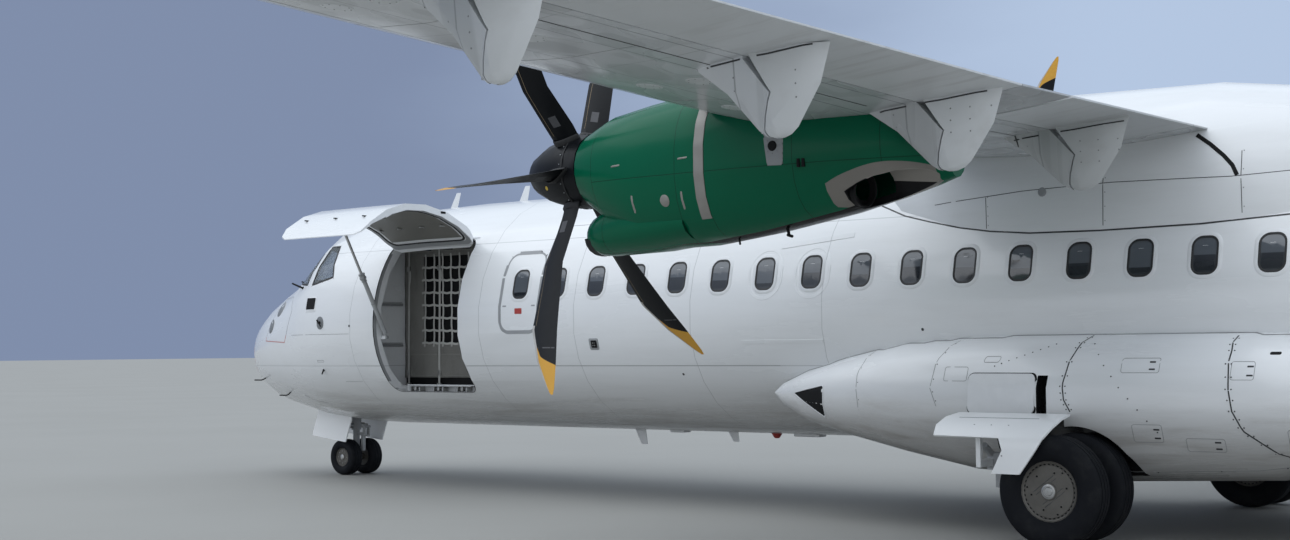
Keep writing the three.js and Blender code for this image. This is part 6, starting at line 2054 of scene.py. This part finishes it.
# %% Fairing seal, joints and fittings
body_skin = Skin("cabin_section", "wing_fairing", "rear_section")
for word, side in SIDES:
    path = ((10.10, 2.965), (10.50, 2.865), (10.861, 2.726), (11.151, 2.654), (11.480, 2.582),
            (11.782, 2.535),
            (12.169, 2.500), (12.801, 2.490), (13.643, 2.500), (14.341, 2.539), (15.2, 2.63), (16.0, 2.78))
    new_piece(f"fairing_seal_{word}", *strip_along(side_trace(body_skin, side, path), 0.008, 0.0022),
              seam_dark)
    fine = []
    screws = []
    for path in (((11.745, 2.56), (11.742, 2.83)), ((12.828, 2.53), (12.834, 2.92)),
                 ((13.975, 2.57), (13.970, 3.06)),
                 ((11.2, 2.80), (12.1, 2.86), (12.9, 2.88), (13.9, 2.86), (15.0, 2.90))):
        run = side_trace(body_skin, side, path, 10)
        fine.append(strip_along(run, 0.0035, 0.0012))
        screws += [(place + Vector((0, 0.018, 0.0)) + normal * 0.0008, normal) for place, normal in run[1::3]]
    joined(f"fairing_joints_{word}", fine, seam_dark)
    studs(f"fairing_screws_{word}", screws, 0.005, 0.0025, seam_soft)
    place, normal = body_skin.side(side, 12.288, 2.840)
    fitting = rod_mesh(place - normal * 0.004, place + normal * 0.010, 0.040, 0.034, 24)
    new_piece(f"fairing_round_fitting_{word}", *fitting, trim_grey)
    arc = ((13.610, 3.213), (13.72, 3.13), (13.83, 3.03), (13.90, 2.95), (13.942, 2.866))
    new_piece(f"flap_slot_seal_{word}", *strip_along(side_trace(body_skin, side, arc), 0.018, 0.004),
              black_parts_and_recess_shade)
print("wing to body fairing dressed")

# %% [markdown]
# ## Flight deck windows
# Each pane of the flight deck sits in a dark rubber seal under a bolted metal frame. The panes' outlines
# are known, so rays from ahead find the windscreens' edges and rays from the side find the side windows'. A
# wiper rests at the foot of each windscreen, on a short arm from the nose.


# %% Pane seals, frames and wipers
SCREEN_EDGE = ((0.035, 2.455), (1.000, 2.388), (1.228, 2.349), (1.140, 2.560), (0.925, 2.790), (0.035, 2.900))
SIDE_PANE_EDGE = ((2.776, 2.343), (3.143, 2.424), (2.966, 2.812), (2.800, 2.812))


def about_middle(corners, share):
    mid = (sum(c[0] for c in corners) / len(corners), sum(c[1] for c in corners) / len(corners))
    return tuple((mid[0] + (a - mid[0]) * share, mid[1] + (b - mid[1]) * share) for a, b in corners)


def pane_point(side, a, b, from_ahead):
    """The nose's skin at a pane's edge: met from ahead for a windscreen, from the side for a side window."""
    if from_ahead:
        return nose_skin.meet((side * a, at_station(-1), b), (0, 1, 0))
    return nose_skin.side(side, a, b)


for word, side in SIDES:
    seals, bolts = [], []
    for corners, from_ahead in ((SCREEN_EDGE, True), (SIDE_PANE_EDGE, False)):
        run = [pane_point(side, *spot, from_ahead) for spot in closed_path(about_middle(corners, 0.985), 8)]
        seals.append(strip_along(run, 0.012, 0.004))
        for a, b in closed_path(about_middle(corners, 1.055), 4)[:-1]:
            if not from_ahead or a > 0.02:
                bolts.append(pane_point(side, a, b, from_ahead))
    joined(f"flight_deck_seals_{word}", seals, seal_black)
    studs(f"flight_deck_frame_screws_{word}", bolts, 0.006, 0.0025, fitting_steel)

    foot, normal = nose_skin.meet((side * 0.60, at_station(-1), 2.36), (0, 1, 0))
    route = []
    for i in range(9):
        x = 0.60 + 0.40 * i / 8
        place, out = nose_skin.meet((side * x, at_station(-1), 2.385 + 0.02 * math.sin(i * 0.3)), (0, 1, 0))
        route.append(place + out * 0.016)
    arm = pipe_mesh([foot, foot + normal * 0.020] + route[1:], 0.008, 8)
    rubber = strip_along([(place, Vector((0, -0.5, 0.8))) for place in route], 0.007, 0.008)
    joined(f"windscreen_wiper_{word}", [arm, rubber], black_parts_and_recess_shade)
    place, out = nose_skin.side(side, 2.46, 2.325)
    start = place + out * 0.01
    probe = [rod_mesh(place - out * 0.01, start, 0.020, 0.016),
             rod_mesh(start + Vector((0, 0.015, -0.01)), start + Vector((side * 0.03, -0.16, 0.055)), 0.013,
                      0.010)]
    joined(f"ice_probe_{word}", probe, black_parts_and_recess_shade)
print("flight deck windows framed")

# %% [markdown]
# ## Nose panels and probes
# A big hatch on each side of the nose opens the electronics bay. It is outlined by a fine joint, reddish
# along its lower edge where a warning line is painted, and carries two grey oval vents. Behind it come a
# square port, a vane on a round plate, and the air data probes low on the nose.

# %% Hatch, vents, port, vane and probes
HATCH = ((1.495, 1.693), (2.141, 1.669), (2.221, 1.820), (2.287, 2.062), (2.153, 2.225), (1.718, 2.216))
vent_grey = metal_finish("vent_mid_grey", (0.16, 0.17, 0.18), (0.22, 0.23, 0.24), 0.4, 0.6)
warning_pink = metal_finish("warning_line_red", (0.45, 0.16, 0.15), (0.55, 0.22, 0.21), 0.35, 0.5)
for word, side in SIDES:
    joint = strip_along(side_trace(nose_skin, side, HATCH[1:] + HATCH[:1]), 0.0045, 0.0012)
    new_piece(f"nose_hatch_joint_{word}", *joint, seam_soft)
    path = ((1.515, 1.74), (1.495, 1.693), (2.141, 1.669), (2.19, 1.76))
    line = strip_along(side_trace(nose_skin, side, path, 12), 0.006, 0.0016)
    new_piece(f"nose_hatch_warning_line_{word}", *line, warning_pink)
    vents = []
    for station, z, half in ((1.795, 2.080, (0.085, 0.090)), (1.660, 1.871, (0.072, 0.086))):
        vents.append(plate_on(nose_skin, side, station, z, half, half[0] * 0.98, 0.004, 8))
    joined(f"nose_oval_vents_{word}", vents, vent_grey)
    rim = plate_on(nose_skin, side, 2.828, 2.112, (0.098, 0.090), 0.020, 0.003, 4)
    new_piece(f"nose_port_rim_{word}", *rim, trim_white)
    port = plate_on(nose_skin, side, 2.828, 2.122, (0.082, 0.068), 0.012, 0.005, 4)
    new_piece(f"nose_square_port_{word}", *port, black_parts_and_recess_shade)
    disc = plate_on(nose_skin, side, 3.046, 1.890, (0.064, 0.076), 0.063, 0.003, 8)
    new_piece(f"vane_plate_{word}", *disc, vent_grey)
    place, out = nose_skin.side(side, 3.046, 1.895)
    vane = [rod_mesh(place, place + out * 0.035, 0.016, 0.012),
            rod_mesh(place + out * 0.028 + Vector((0, -0.022, 0.03)),
                     place + out * 0.034 + Vector((0, 0.055, -0.05)), 0.011, 0.006)]
    joined(f"angle_vane_{word}", vane, black_parts_and_recess_shade)
    probes = []
    for station, z in ((1.119, 1.224), (1.75, 1.05)):
        place, out = nose_skin.side(side, station, z)
        stem = place + out * 0.055
        probes.append(pipe_mesh([place - out * 0.01, place + out * 0.04, stem + Vector((0, -0.02, 0)),
                                 stem + Vector((0, -0.15, 0))], 0.008, 8))
    place, out = nose_skin.side(side, 2.994, 1.341)
    probes.append(rod_mesh(place - out * 0.005, place + out * 0.05 + Vector((0, 0.02, -0.03)), 0.012, 0.007))
    joined(f"air_data_probes_{word}", probes, black_parts_and_recess_shade)
    fine = [outline_on(nose_skin, side, 2.99, 1.44, (0.06, 0.012), 0.004)]
    fine.append(strip_along(side_trace(nose_skin, side, ((2.16, 1.02), (2.38, 0.955), (2.60, 0.93))), 0.005,
                            0.0014))
    for path in (((2.35, 1.755), (3.58, 1.755)), ((3.30, 1.20), (3.58, 1.20)), ((0.36, 1.46), (0.36, 1.62))):
        fine.append(strip_along(side_trace(nose_skin, side, path, 12), 0.003, 0.0009))
    joined(f"nose_fine_joints_{word}", fine, seam_soft)
    ring = []
    for k in range(25):
        turn = math.radians(-86 + 172 * k / 24)
        out_way = Vector((side * math.cos(turn), 0, math.sin(turn)))
        middle = Vector((0, at_station(0.62), 1.42))
        ring.append(nose_skin.meet(middle + out_way * 2.0, -out_way))
    new_piece(f"radome_joint_{word}", *strip_along(ring, 0.004, 0.0014), warning_pink)
    studs(f"radome_screws_{word}", [(p + Vector((0, 0.028, 0)), n) for p, n in ring[1::2]], 0.006, 0.0022,
          seam_soft)
print("nose dressed")

# %% [markdown]
# ## Wing underside
# Under the wing the skin's joints are sealed dark along the flap shroud and at the main spar, round
# inspection covers sit between the ribs, and each flap track fairing is bonded on with a dark bead. The
# beads follow the fairings' own upper edges: a ray is sent sideways at many stations, just under the wing's
# skin, and where it meets the fairing the bead is laid.


# %% Spanwise joints and inspection covers
wing_skin = Skin("wing")


def under_wing(x, station):
    return wing_skin.below(x, station, 1.0)


def wing_edge(x):
    """Station of the wing's leading edge and its chord at a distance from the middle."""
    beyond = max(0.0, abs(x) - WING_KINK)
    return WING_FRONT + FRONT_SLOPE * beyond, WING_CHORD - CHORD_SLOPE * beyond


COVER_LEVELS = ((-0.001, 0.082), (0.0025, 0.080), (0.003, 0.070), (0.003, 0.030), (0.003, 0.002))


def cover_ring(side, x, share, radius, count, start=0.0):
    """Places round an inspection cover, which is longer along the span than along the chord."""
    front, chord = wing_edge(x)
    return [under_wing(side * (x + math.cos(t) * radius * 1.25), front + chord * share + math.sin(t) * radius)
            for t in full_turn(count, start)]


for word, side in SIDES:
    dark, fine, covers, cover_screws = [], [], [], []
    for share, joints, half in ((0.62, dark, 0.006), (0.18, fine, 0.004)):
        for low, high in ((1.35, 3.50), (4.60, 13.0)):
            line = []
            for i in range(40):
                x = side * (low + (high - low) * i / 39)
                front, chord = wing_edge(x)
                line.append(under_wing(x, front + chord * share))
            joints.append(strip_along(line, half, 0.0012))
    for rib in (1.9, 3.0, 5.35, 6.9, 8.0, 9.1, 10.2, 11.4, 12.6):
        front, chord = wing_edge(rib)
        line = [under_wing(side * rib, front + chord * (0.10 + 0.52 * i / 20)) for i in range(21)]
        fine.append(strip_along(line, 0.003, 0.0011))
    for x in (2.4, 5.0, 5.9, 7.4, 8.5, 9.6, 10.7, 11.9):
        for share in (0.30, 0.47):
            rows = [[lifted(spot, lift) for spot in cover_ring(side, x, share, radius, 24)]
                    for lift, radius in COVER_LEVELS]
            covers.append(lofted(rows))
            cover_screws += [(place + normal * 0.003, normal)
                             for place, normal in cover_ring(side, x, share, 0.066, 8, 0.5)]
    joined(f"wing_dark_joints_{word}", dark, seam_dark)
    joined(f"wing_fine_joints_{word}", fine, seam_soft)
    joined(f"wing_inspection_covers_{word}", covers, fairing_paint,
              outward=lambda p: Vector((0, 0, -1)))
    studs(f"wing_cover_screws_{word}", cover_screws, 0.005, 0.002, seam_soft)
print("wing underside dressed")

# %% [markdown]
# Each flap fairing is in two parts: the front one is fixed under the wing and the rear one moves with the
# flap. Small screws run down both, on the side that shows.

# %% Flap fairing beads and screws
FAIRINGS = ((2.45, "inner_flap"), (4.39, "outer_flap"), (6.2, "outer_flap"), (8.4, "outer_flap"))


def fairing_bead(skin, x, face, first, last):
    """Pairs along a fairing's upper edge, from rays sent sideways just under the wing's skin."""
    run = []
    for i in range(18):
        station = first + (last - first) * i / 17
        roof, _ = skin.below(x + face * 0.34, station, 1.0)
        start = Vector((x + face * 0.34, at_station(station), roof.z - 0.030))
        found, normal, _, gap = skin.tree.ray_cast(start, Vector((-face, 0, 0)))
        if found is not None and gap <= 0.33 and normal.x * face >= 0.3:
            run.append((found, normal))
        elif len(run) > 3:
            break
        else:
            run = []
    return run


def fairing_screws(skin, side, x, face, first, last):
    """Screws in three rows down a fairing's side."""
    made = []
    for drop in (0.08, 0.16, 0.24):
        for k in range(3):
            station = first + (last - first) * (0.42 + 0.22 * k)
            start = Vector((side * x + face * 0.4, at_station(station), 3.16 + 0.05 * (x - 2.4) / 2 - drop))
            found, normal, _, gap = skin.tree.ray_cast(start, Vector((-face, 0, 0)))
            if found is not None and gap < 0.40 and normal.x * face > 0.4:
                made.append((found, normal))
    return made


for word, side in SIDES:
    parts = {"airframe": ([], []), f"inner_flap_{word}": ([], []), f"outer_flap_{word}": ([], [])}
    skins = {body: wing_skin if body == "airframe" else Skin(body) for body in parts}
    for x, flap in FAIRINGS:
        for face in (1, -1):
            for body, span in (("airframe", (12.10, 12.90)), (f"{flap}_{word}", (12.98, 13.60))):
                run = fairing_bead(skins[body], side * x, face, *span)
                if len(run) > 3:
                    parts[body][0].append(strip_along(run, 0.006, 0.0022))
                parts[body][1].extend(fairing_screws(skins[body], side, x, face, *span))
    for body, (beads, screws) in parts.items():
        flap = "" if body == "airframe" else body[:11]
        if beads:
            joined(f"{flap}fairing_beads_{word}", beads, seam_dark, body)
        if screws:
            title = f"{flap}fairing_screws_{word}" if flap else f"fairing_side_screws_{word}"
            studs(title, screws, 0.006, 0.002, seam_soft, body)
print("flap fairings dressed")

# %% [markdown]
# ## Wing tips, wicks and tabs
# Coloured lights stand at the wing tips, red on the left and green on the right. Thin static wicks trail
# from the ailerons, and a trim tab's outline shows on each. Everything on a control surface rides on that
# surface.

# %% Tip lights, wicks and tab lines
light_green = metal_finish("tip_light_green", (0.01, 0.20, 0.10), (0.02, 0.28, 0.15), 0.08, 0.15)
light_red = metal_finish("tip_light_red", (0.35, 0.01, 0.01), (0.45, 0.02, 0.02), 0.08, 0.15)


def end_of(skin, x, heights, way, far, best=None, slack=0.0):
    """Of the points where rays along Y meet a skin at several heights, the one met soonest."""
    for z in heights:
        found = skin.tree.ray_cast(Vector((x, at_station(far), z)), Vector((0, way, 0)))[0]
        if found is not None and (best is None or (best.y - found.y) * way > -slack):
            best = found
    return best


def wick(foot, length, drop):
    """A thin static wick that trails from a surface's rear edge."""
    return rod_mesh(foot, foot + Vector((0, length, -drop)), 0.0028, 0.0016, 8)


for word, side in SIDES:
    place, _ = wing_skin.meet((side * 15.0, at_station(11.62), 3.72), (-side, 0, 0))
    turns = full_turn(20)
    lamp = []
    for share, shrink in ((0.0, 1.0), (0.35, 0.94), (0.7, 0.72), (0.92, 0.40), (1.0, 0.10)):
        lamp.append([place + Vector((side * (0.030 * share - 0.006), math.cos(t) * 0.11 * shrink,
                                     math.sin(t) * 0.030 * shrink)) for t in turns])
    new_piece(f"wing_tip_lamp_{word}", *lofted(lamp, cap_first=True, cap_last=True),
              light_red if side > 0 else light_green)
    aileron = Skin(f"aileron_{word}")
    wicks = []
    for x in (10.4, 11.2, 12.0, 12.8):
        foot, _ = aileron.meet((side * x, at_station(15.0), 3.62), (0, -1, 0))
        best = end_of(aileron, side * x, [3.50 + 0.30 * k / 19 for k in range(20)], -1, 15, foot, 0.001)
        wicks.append(rod_mesh(best - Vector((0, 0.01, 0)), best + Vector((0, 0.012, 0)), 0.006))
        wicks.append(wick(best, 0.13, 0.010))
    joined(f"aileron_wicks_{word}", wicks, black_parts_and_recess_shade, f"aileron_{word}")
    lines = []
    for (x0, share0), (x1, share1) in (((10.1, 0.70), (10.1, 0.97)), ((10.1, 0.70), (11.4, 0.70)),
                                       ((11.4, 0.70), (11.4, 0.97))):
        run = []
        for i in range(12):
            share = share0 + (share1 - share0) * i / 11
            run.append(aileron.below(side * (x0 + (x1 - x0) * i / 11), 12.62 + 0.43 * share, 1.0))
        lines.append(strip_along(run, 0.003, 0.0010))
    joined(f"aileron_tab_lines_{word}", lines, seam_dark, f"aileron_{word}")
print("wing tips dressed")

# %% [markdown]
# ## Rear doors
# Passengers board at the left rear, through a door that folds down with its steps, and the crew service
# door is opposite. Neither shows in the photograph, so both follow the type: a grey band on the door's
# skin, a handle in a shallow dish, and a small round window. What sits on the passenger door rides on it.

# %% Passenger door and service door
rear_skin = Skin("rear_section", "passenger_door", "service_door")
for name, side, body, low, high, bottom, top, corner in (
    ("passenger_door", 1, "passenger_door", 20.662, 21.478, 1.10, 2.84, 0.12),
    ("service_door", -1, "airframe", 20.735, 21.365, 1.165, 2.395, 0.10),
):
    door = Skin(name)
    mid = ((low + high) / 2, (bottom + top) / 2)
    half = ((high - low) / 2 - 0.012, (top - bottom) / 2 - 0.012)
    band = laid_rings(door, side, *mid, half, corner,
                      ((0.004, 0.0002), (0.005, 0.0016), (0.030, 0.0018), (0.052, 0.0016), (0.053, 0.0002)),
                      steps=8)
    new_piece(f"{name}_band", *band, trim_grey, body)
    dish = plate_on(door, side, mid[0], bottom + 0.55, (0.095, 0.050), 0.030, 0.002, 5)
    new_piece(f"{name}_handle_dish", *dish, trim_grey, body)
    place, normal = door.side(side, mid[0], bottom + 0.55)
    base = place + normal * 0.010
    grip = [rod_mesh(base + Vector((0, -0.070, 0)), base + Vector((0, 0.070, 0)), 0.009),
            rod_mesh(place, base + normal * 0.004, 0.018)]
    joined(f"{name}_handle", grip, fitting_steel, body)
    window = laid_rings(door, side, mid[0], 2.14, (0.075, 0.075), 0.0745,
                        ((0.0, 0.0005), (0.003, 0.005), (0.014, 0.005), (0.017, 0.001)), steps=8)
    new_piece(f"{name}_window_seal", *window, seal_black, body)
    glass = plate_on(door, side, mid[0], 2.14, (0.060, 0.060), 0.0595, 0.0025, 8)
    new_piece(f"{name}_window_pane", *glass, pane_glass, body)
hinges = []
for shift in (-0.24, 0.24):
    hinges.append(plate_on(rear_skin, 1, 21.07 + shift, 1.045, (0.055, 0.018), 0.008, 0.004, 3))
joined("passenger_door_hinge_covers", hinges, trim_white)
print("rear doors dressed")

# %% [markdown]
# ## Tail
# The fin and tailplane carry black rubber boots on their leading edges, like the outer wings. Here they are
# thin sheets wrapped round the edge: rays from ahead find the edge itself, and rays from the side, or from
# above and below, find the skin behind it. Trim tabs are outlined on the rudder and elevators, wicks trail
# from them, and a white light closes the tail cone.


# %% Boots on fin and tailplane
boot_rubber = metal_finish("boot_black_rubber", (0.008, 0.008, 0.009), (0.020, 0.020, 0.022), 0.5, 0.7, 14.0,
                           {"Specular IOR Level": 0.25})
BOOT_THICK = 0.0018
tail_skin = Skin("tailplane")
fin_skin = Skin("fin")
rudder_skin = Skin("rudder")


def boot_rows(skin, edges, away, backs):
    """Rows round a leading edge: up one side to the edge, its front, and back along the other side."""
    rows = []
    for edge in edges:
        first, last = [[lifted(skin.meet(edge + Vector((0, back, 0)) + away * face, away * -face), BOOT_THICK)
                        for back in backs] for face in (1, -1)]
        rows.append(first + [edge - Vector((0, BOOT_THICK, 0))] + last[::-1])
    return rows


heights = [7.38 + 0.22 * k / 40 for k in range(41)]
for word, side in SIDES:
    edges = [end_of(tail_skin, side * (0.55 + 2.85 * i / 16), heights, 1, 15) for i in range(17)]
    rows = boot_rows(tail_skin, edges, Vector((0, 0, 1.6)), (0.16, 0.11, 0.065, 0.03, 0.010))
    new_piece(f"tailplane_boot_{word}", *lofted(rows, closed_ring=False), boot_rubber,
              outward=lambda p: Vector((0, -1, 0)))
edges = [end_of(fin_skin, 0.0, [4.30 + 2.75 * i / 20], 1, 15) for i in range(21)]
rows = boot_rows(fin_skin, edges, Vector((2.0, 0, 0)), (0.17, 0.12, 0.07, 0.03, 0.010))
new_piece("fin_boot", *lofted(rows, closed_ring=False), boot_rubber, outward=lambda p: Vector((0, -1, 0)))

# %% Fin joints, tabs, wicks and tail light
fin_lines = []
for side in (1, -1):
    for z in (3.75, 4.55, 5.45, 6.35):
        edge = end_of(fin_skin, 0.0, [z], 1, 15)
        back = end_of(rudder_skin, 0.0, [z], 1, 15)
        last = (back.y if back is not None else edge.y + 1.5) - 0.12
        starts = [(side * 2.0, edge.y + 0.20 + (last - edge.y - 0.20) * i / 15, z) for i in range(16)]
        fin_lines.append(strip_along([fin_skin.meet(start, (-side, 0, 0)) for start in starts], 0.003,
                                     0.0010))
joined("fin_joints", fin_lines, seam_soft)

tab_lines = []
for side in (1, -1):
    for z0, z1, last_inset in ((3.55, 5.60, 0.16), (3.55, 3.55, 0.02), (5.60, 5.60, 0.02)):
        run = []
        for i in range(14):
            z = z0 + (z1 - z0) * i / 13
            rear = end_of(rudder_skin, 0.0, [z], -1, 30)
            if rear is not None:
                y = rear.y - (0.16 + (last_inset - 0.16) * i / 13)
                run.append(rudder_skin.meet((side * 2.0, y, z), (-side, 0, 0)))
        tab_lines.append(strip_along(run, 0.004, 0.0011))
joined("rudder_tab_lines", tab_lines, seam_dark, "rudder")
before_edge = Vector((0, -0.01, 0))  # wicks start this far inside the rear edge
rears = [end_of(rudder_skin, 0.0, [z], -1, 30) for z in (4.4, 5.2, 6.0, 6.8)]
wicks = [wick(rear + before_edge, 0.14, 0.010) for rear in rears]
joined("rudder_wicks", wicks, black_parts_and_recess_shade, "rudder")
heights = [7.41 + 0.14 * k / 29 for k in range(30)]
for word, side in SIDES:
    elevator = Skin(f"elevator_{word}")
    lines = []
    for face in (1, -1):
        for x0, x1, s0, s1 in ((0.55, 1.75, 26.98, 26.98), (0.55, 0.55, 26.98, 27.25),
                               (1.75, 1.75, 26.98, 27.19)):
            starts = [(side * (x0 + (x1 - x0) * i / 9), at_station(s0 + (s1 - s0) * i / 9), 7.48 + face * 1.5)
                      for i in range(10)]
            lines.append(strip_along([elevator.meet(start, (0, 0, -face)) for start in starts], 0.003,
                                     0.0010))
    rears = [end_of(elevator, side * x, heights, -1, 30) for x in (2.0, 2.6, 3.2)]
    wicks = [wick(rear + before_edge, 0.13, 0.008) for rear in rears]
    joined(f"elevator_tab_lines_{word}", lines, seam_dark, f"elevator_{word}")
    joined(f"elevator_wicks_{word}", wicks, black_parts_and_recess_shade, f"elevator_{word}")

rear = end_of(Skin("tail_cone"), 0.0, [1.2 + 2.0 * k / 39 for k in range(40)], -1, 30)
tail_lamp = rod_mesh(rear - Vector((0, 0.012, 0)), rear + Vector((0, 0.045, 0)), 0.045, 0.026, 24)
new_piece("tail_lamp", *tail_lamp, trim_white)
print("tail dressed at", [round(v, 2) for v in rear])

# %% [markdown]
# ## Rear hull
# Behind the cabin the skin has access panels, an outflow valve, a few static ports and a tail bumper shoe
# under the cone. They are small and sit in the shade, so simple shapes laid on the skin are enough.

# %% Rear hull fittings
hull_rear = Skin("cabin_section", "rear_section", "tail_cone")
for word, side in SIDES:
    plates = [outline_on(hull_rear, side, 23.3, 2.05, (0.20, 0.13), 0.03),
              outline_on(hull_rear, side, 24.9, 2.35, (0.16, 0.12), 0.03)]
    joined(f"tail_access_joints_{word}", plates, seam_soft)
    places = [hull_rear.side(side, station, 1.9) for station in (22.2, 22.35, 22.9)]
    studs(f"tail_static_ports_{word}", places, 0.018, 0.003, trim_grey, sides=16)
valve, _ = hull_rear.below(0.25, 22.9)
disc = rod_mesh(valve + Vector((0, 0, 0.01)), valve - Vector((0, 0, 0.010)), 0.085, 0.078, 28)
new_piece("outflow_valve", *disc, trim_grey)
run = [hull_rear.below(0.0, 23.1 + 0.5 * i / 8) for i in range(9)]
shoe = strip_along(run, 0.045, 0.022, 0.004)
new_piece("tail_bumper_shoe", *shoe, gear_paint)
print("rear hull dressed")

# %% [markdown]
# ## Floor, light and sky
# The aircraft stands on a plain pale floor under a broad soft light from above, as on an overcast day: the
# top of the hull is bright and the belly falls off to grey. A large even sky does most of it, with one very
# soft sun for a little direction. The floor is part of the stage, not of the aircraft.

# %% Floor, light and sky
floor_mesh = bpy.data.meshes.new("floor")
floor_mesh.from_pydata([(-400, -400, 0), (400, -400, 0), (400, 400, 0), (-400, 400, 0)], [], [(0, 1, 2, 3)])


def floor_recipe(point):
    cloud = grain(point, 0.25, 5.0)
    fine = grain(point, 30.0, 3.0)
    colour = blend_colour(cloud, (0.322, 0.318, 0.298, 1), (0.370, 0.366, 0.346, 1))
    return {"Base Color": colour, "Roughness": 0.7 + 0.2 * fine, "Normal": bump(fine, 0.003, 0.4)}


floor_mesh.materials.append(new_finish("pale_floor", floor_recipe, {"Specular IOR Level": 0.3}))
floor = bpy.data.objects.new("floor", floor_mesh)
bpy.context.scene.collection.objects.link(floor)

world = bpy.data.worlds.new("soft_sky")
bpy.context.scene.world = world
world.use_nodes = True
sky_tree = world.node_tree
look = sky_tree.nodes.new("ShaderNodeTexCoord")
aim = Socket(sky_tree, look.outputs["Generated"])
sky_x, sky_y, sky_z = parts_of(aim)
sideways = sky_y * 0.768 - sky_x * 0.64
clouds = grain(stretched(aim, 1.0, 1.0, 3.0), 3.2, 5.0, 0.5)
haze = blend_colour(fade(sideways + clouds * 0.30, -0.02, 0.42), (0.235, 0.295, 0.44, 1),
                    (0.50, 0.62, 0.82, 1))
behind = sky_x * 0.768 + sky_y * 0.64
open_side = blend_colour(fade(behind, 0.0, 0.55), haze, (1.06, 1.12, 1.19, 1))
dome = blend_colour(fade(sky_z, 0.20, 0.62), open_side, (0.86, 0.95, 1.06, 1))
dome = blend_colour(1 - fade(sky_z, -0.05, 0.0), dome, (0.30, 0.31, 0.32, 1))
sky_tree.links.new(dome.socket, sky_tree.nodes["Background"].inputs["Color"])
sky_tree.nodes["Background"].inputs["Strength"].default_value = 0.92

sun_data = bpy.data.lights.new("soft_sun", "SUN")
sun_data.energy = 1.0
sun_data.angle = math.radians(70)
sun_data.color = (0.97, 0.985, 1.0)
sun = bpy.data.objects.new("soft_sun", sun_data)
sun.rotation_euler = (math.radians(22), math.radians(24), 0)
bpy.context.scene.collection.objects.link(sun)
bpy.context.scene.view_settings.view_transform = "Standard"
print("stage set,", len(pieces_made), "pieces added")

# %% Sizes and finish
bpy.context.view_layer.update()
triangles = {p.name: sum(len(f.vertices) - 2 for f in p.data.polygons) for p in pieces_made}
print("added triangles", sum(triangles.values()), "most in", max(triangles, key=triangles.get, default=None))
